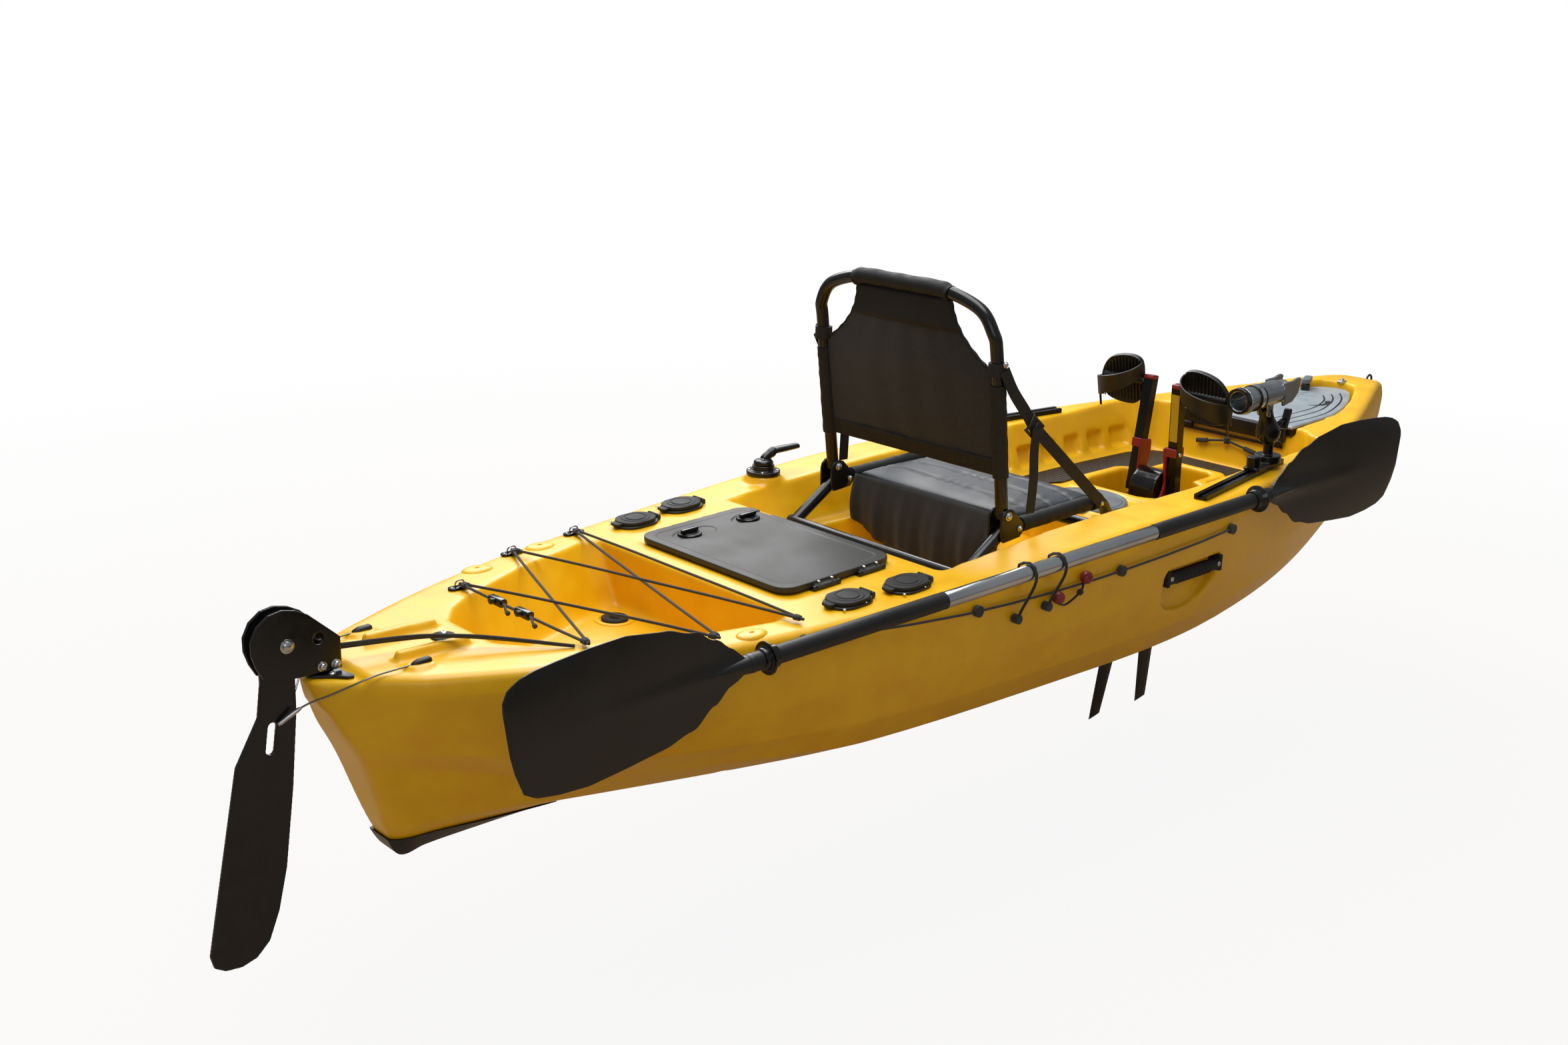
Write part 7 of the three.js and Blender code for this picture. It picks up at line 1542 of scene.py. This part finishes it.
# The paddle: a bright anodised aluminium shaft in black grips, rubber drip rings and blades of glass-filled
# nylon with a spine. The feathered blades are spooned and stiffened, and lie along the hull's side.
paddle_at = Vector((-0.365, -0.434, 0.370))
paddle_run = Vector((1, -0.04167, 0.03549)).normalized()
paddle_out = Vector((0, 0, 1)).cross(paddle_run).normalized()
bright_alloy = surface("bright_anodised_shaft", "#a9aeb3", "#c6cacd", (0.10, 0.18), 0.0010, 0.00001,
                       metallic=0.95, patch=0.25)
blade_nylon = surface("black_glass_filled_nylon", "#0c0c0d", "#151618", (0.24, 0.38), 0.0010, 0.00005,
                      patch=0.12)
shaft_sleeve = surface("black_matt_sleeve", "#0d0d0e", "#161618", (0.38, 0.52), 0.0008, 0.00006, patch=0.10)


def paddle_point(s, rise=0.0, off=0.0):
    """A place along the shaft, raised, and set off from the hull."""
    return paddle_at + paddle_run * s + Vector((0, 0, rise)) + paddle_out * off


shaft = spun("paddle_shaft_tube", paddle_point(0), paddle_run,
             [(-0.2540, 0.0148), (-0.2536, 0.0150), (0.3156, 0.0150), (0.3160, 0.0148)], 48)
dressed(shaft, bright_alloy, "kayak", "silver_alloy", "paddle_shaft")
blade_shares = [(0, 0.109, 0.109), (0.03, 0.20, 0.22), (0.06, 0.25, 0.33), (0.13, 0.46, 0.52),
                (0.23, 0.73, 0.74), (0.36, 0.85, 0.89), (0.52, 0.92, 1.0), (0.67, 0.972, 0.99),
                (0.79, 0.93, 0.957), (0.88, 0.855, 0.92), (0.93, 0.73, 0.87), (0.965, 0.39, 0.80),
                (0.985, 0.10, 0.745), (1.0, -0.40, 0.62)]
blade_start, paddle_reach, blade_half = 0.694, 1.140, 0.110
for direction, end in ((-1, "aft"), (1, "fore")):
    steps, across = 56, 30
    skins = []
    for face in (1, -1):
        for i in range(steps + 1):
            share = i / steps
            k = max(j for j in range(len(blade_shares) - 1) if blade_shares[j][0] <= share)
            a, b = blade_shares[k], blade_shares[k + 1]
            t = (share - a[0]) / (b[0] - a[0])
            t = t * t * (3 - 2 * t) if k in (2, 3, 4) else t
            low, high = -(a[1] + (b[1] - a[1]) * t) * blade_half, (a[2] + (b[2] - a[2]) * t) * blade_half
            for j in range(across + 1):
                v = j / across
                height = low + (high - low) * v
                bend = -0.022 * math.sin(share * math.pi / 2) ** 2 * (1 - 0.5 * (height / blade_half) ** 2)
                rib = 0.0055 * math.exp(-(height / 0.016) ** 2) * max(0.0, 1 - share * 1.25)
                edge = 0.0026 * (1 - 0.55 * abs(2 * v - 1) ** 3)
                skins.append(paddle_point(direction * (blade_start + share * (paddle_reach - blade_start)),
                                          height, bend + face * (edge + rib)))
    blade = smooth(outward(double_skin("paddle_blade_" + end, skins, steps, across)), 60)
    neck = strand("neck", [paddle_point(direction * s) for s in (0.680, 0.720, 0.780, 0.860)],
                  lambda t: 0.0156 * (1 - t) ** 0.7 + 0.0008, 40, 24)
    dressed(joined(blade, neck), blade_nylon, "kayak", "black_rubber", "paddle_end_" + end)
    inner = -0.2542 if direction < 0 else 0.3162
    outer = direction * 0.690
    sleeve_points = [paddle_point(place) for place in (inner, (inner + outer) / 2, outer)]
    sleeve = strand("paddle_sleeve_" + end, sleeve_points,
                    lambda t: 0.0157 - 0.0005 * math.exp(-((t - 0.02) / 0.01) ** 2), 80, 32)
    dressed(sleeve, shaft_sleeve, "kayak", "black_rubber")
    drip = spun("drip_ring_" + end, paddle_point(direction * 0.649), paddle_run * direction,
                [(-0.0170, 0.0166), (-0.0160, 0.0190), (-0.0060, 0.0200), (-0.0010, 0.0262),
                 (0.0005, 0.0280), (0.0022, 0.0280), (0.0030, 0.0262), (0.0022, 0.0225), (0.0040, 0.0195),
                 (0.0120, 0.0186), (0.0130, 0.0166)], 64)
    dressed(drip, gloss_black, "kayak", "black_rubber")

# The anchor trolley along the starboard side: braided cord through moulded buttons, in a light sag, with a
# knot and red sliding beads, and two elastic loops that hold the paddle's shaft against the gunwale.
def hull_side(x, z):
    """How far the hull's side stands from the middle at one height."""
    rows = half_section(x)
    for (y0, z0), (y1, z1) in zip(rows, rows[1:]):
        if z0 <= z <= z1 and z1 > z0:
            return y0 + (y1 - y0) * (z - z0) / (z1 - z0)
    return rows[-1][0]


red_bead = surface("red_moulded_bead", "#7b2022", "#933031", (0.24, 0.36), 0.0010, 0.00003, patch=0.01)
for node in ("anchor_trolley", "paddle_loop_aft", "paddle_loop_fore"):
    dressed(smooth(twin_of(node), 60), braid, "kayak", "black_cord", node)
for x, z in ((-0.226, 0.322), (-0.299, 0.296)):
    out = -hull_side(x, z) - 0.012
    bead = spun(f"red_bead_{x}", (x, out, z), (1, 0.1, 0.5), ball_profile(0.0125), 30)
    dressed(bead, red_bead, "kayak", "red_plastic")
knot_at = Vector((-0.234, -hull_side(-0.234, 0.293) - 0.010, 0.293))
tie_points = [(-0.299, -hull_side(-0.299, 0.296) - 0.012, 0.284),
              (-0.270, -hull_side(-0.27, 0.28) - 0.010, 0.276), knot_at,
              (-0.229, -hull_side(-0.229, 0.310) - 0.011, 0.312)]
dressed(strand("bead_tie", tie_points, 0.0022, 40, 10), braid, "kayak", "black_cord")
knot = spun("bead_knot", knot_at, (1, 0, 0.4),
            [(-0.007, 0.002), (-0.004, 0.0055), (0.0, 0.0062), (0.004, 0.0055), (0.007, 0.002)], 16)
dressed(knot, braid, "kayak", "black_cord")
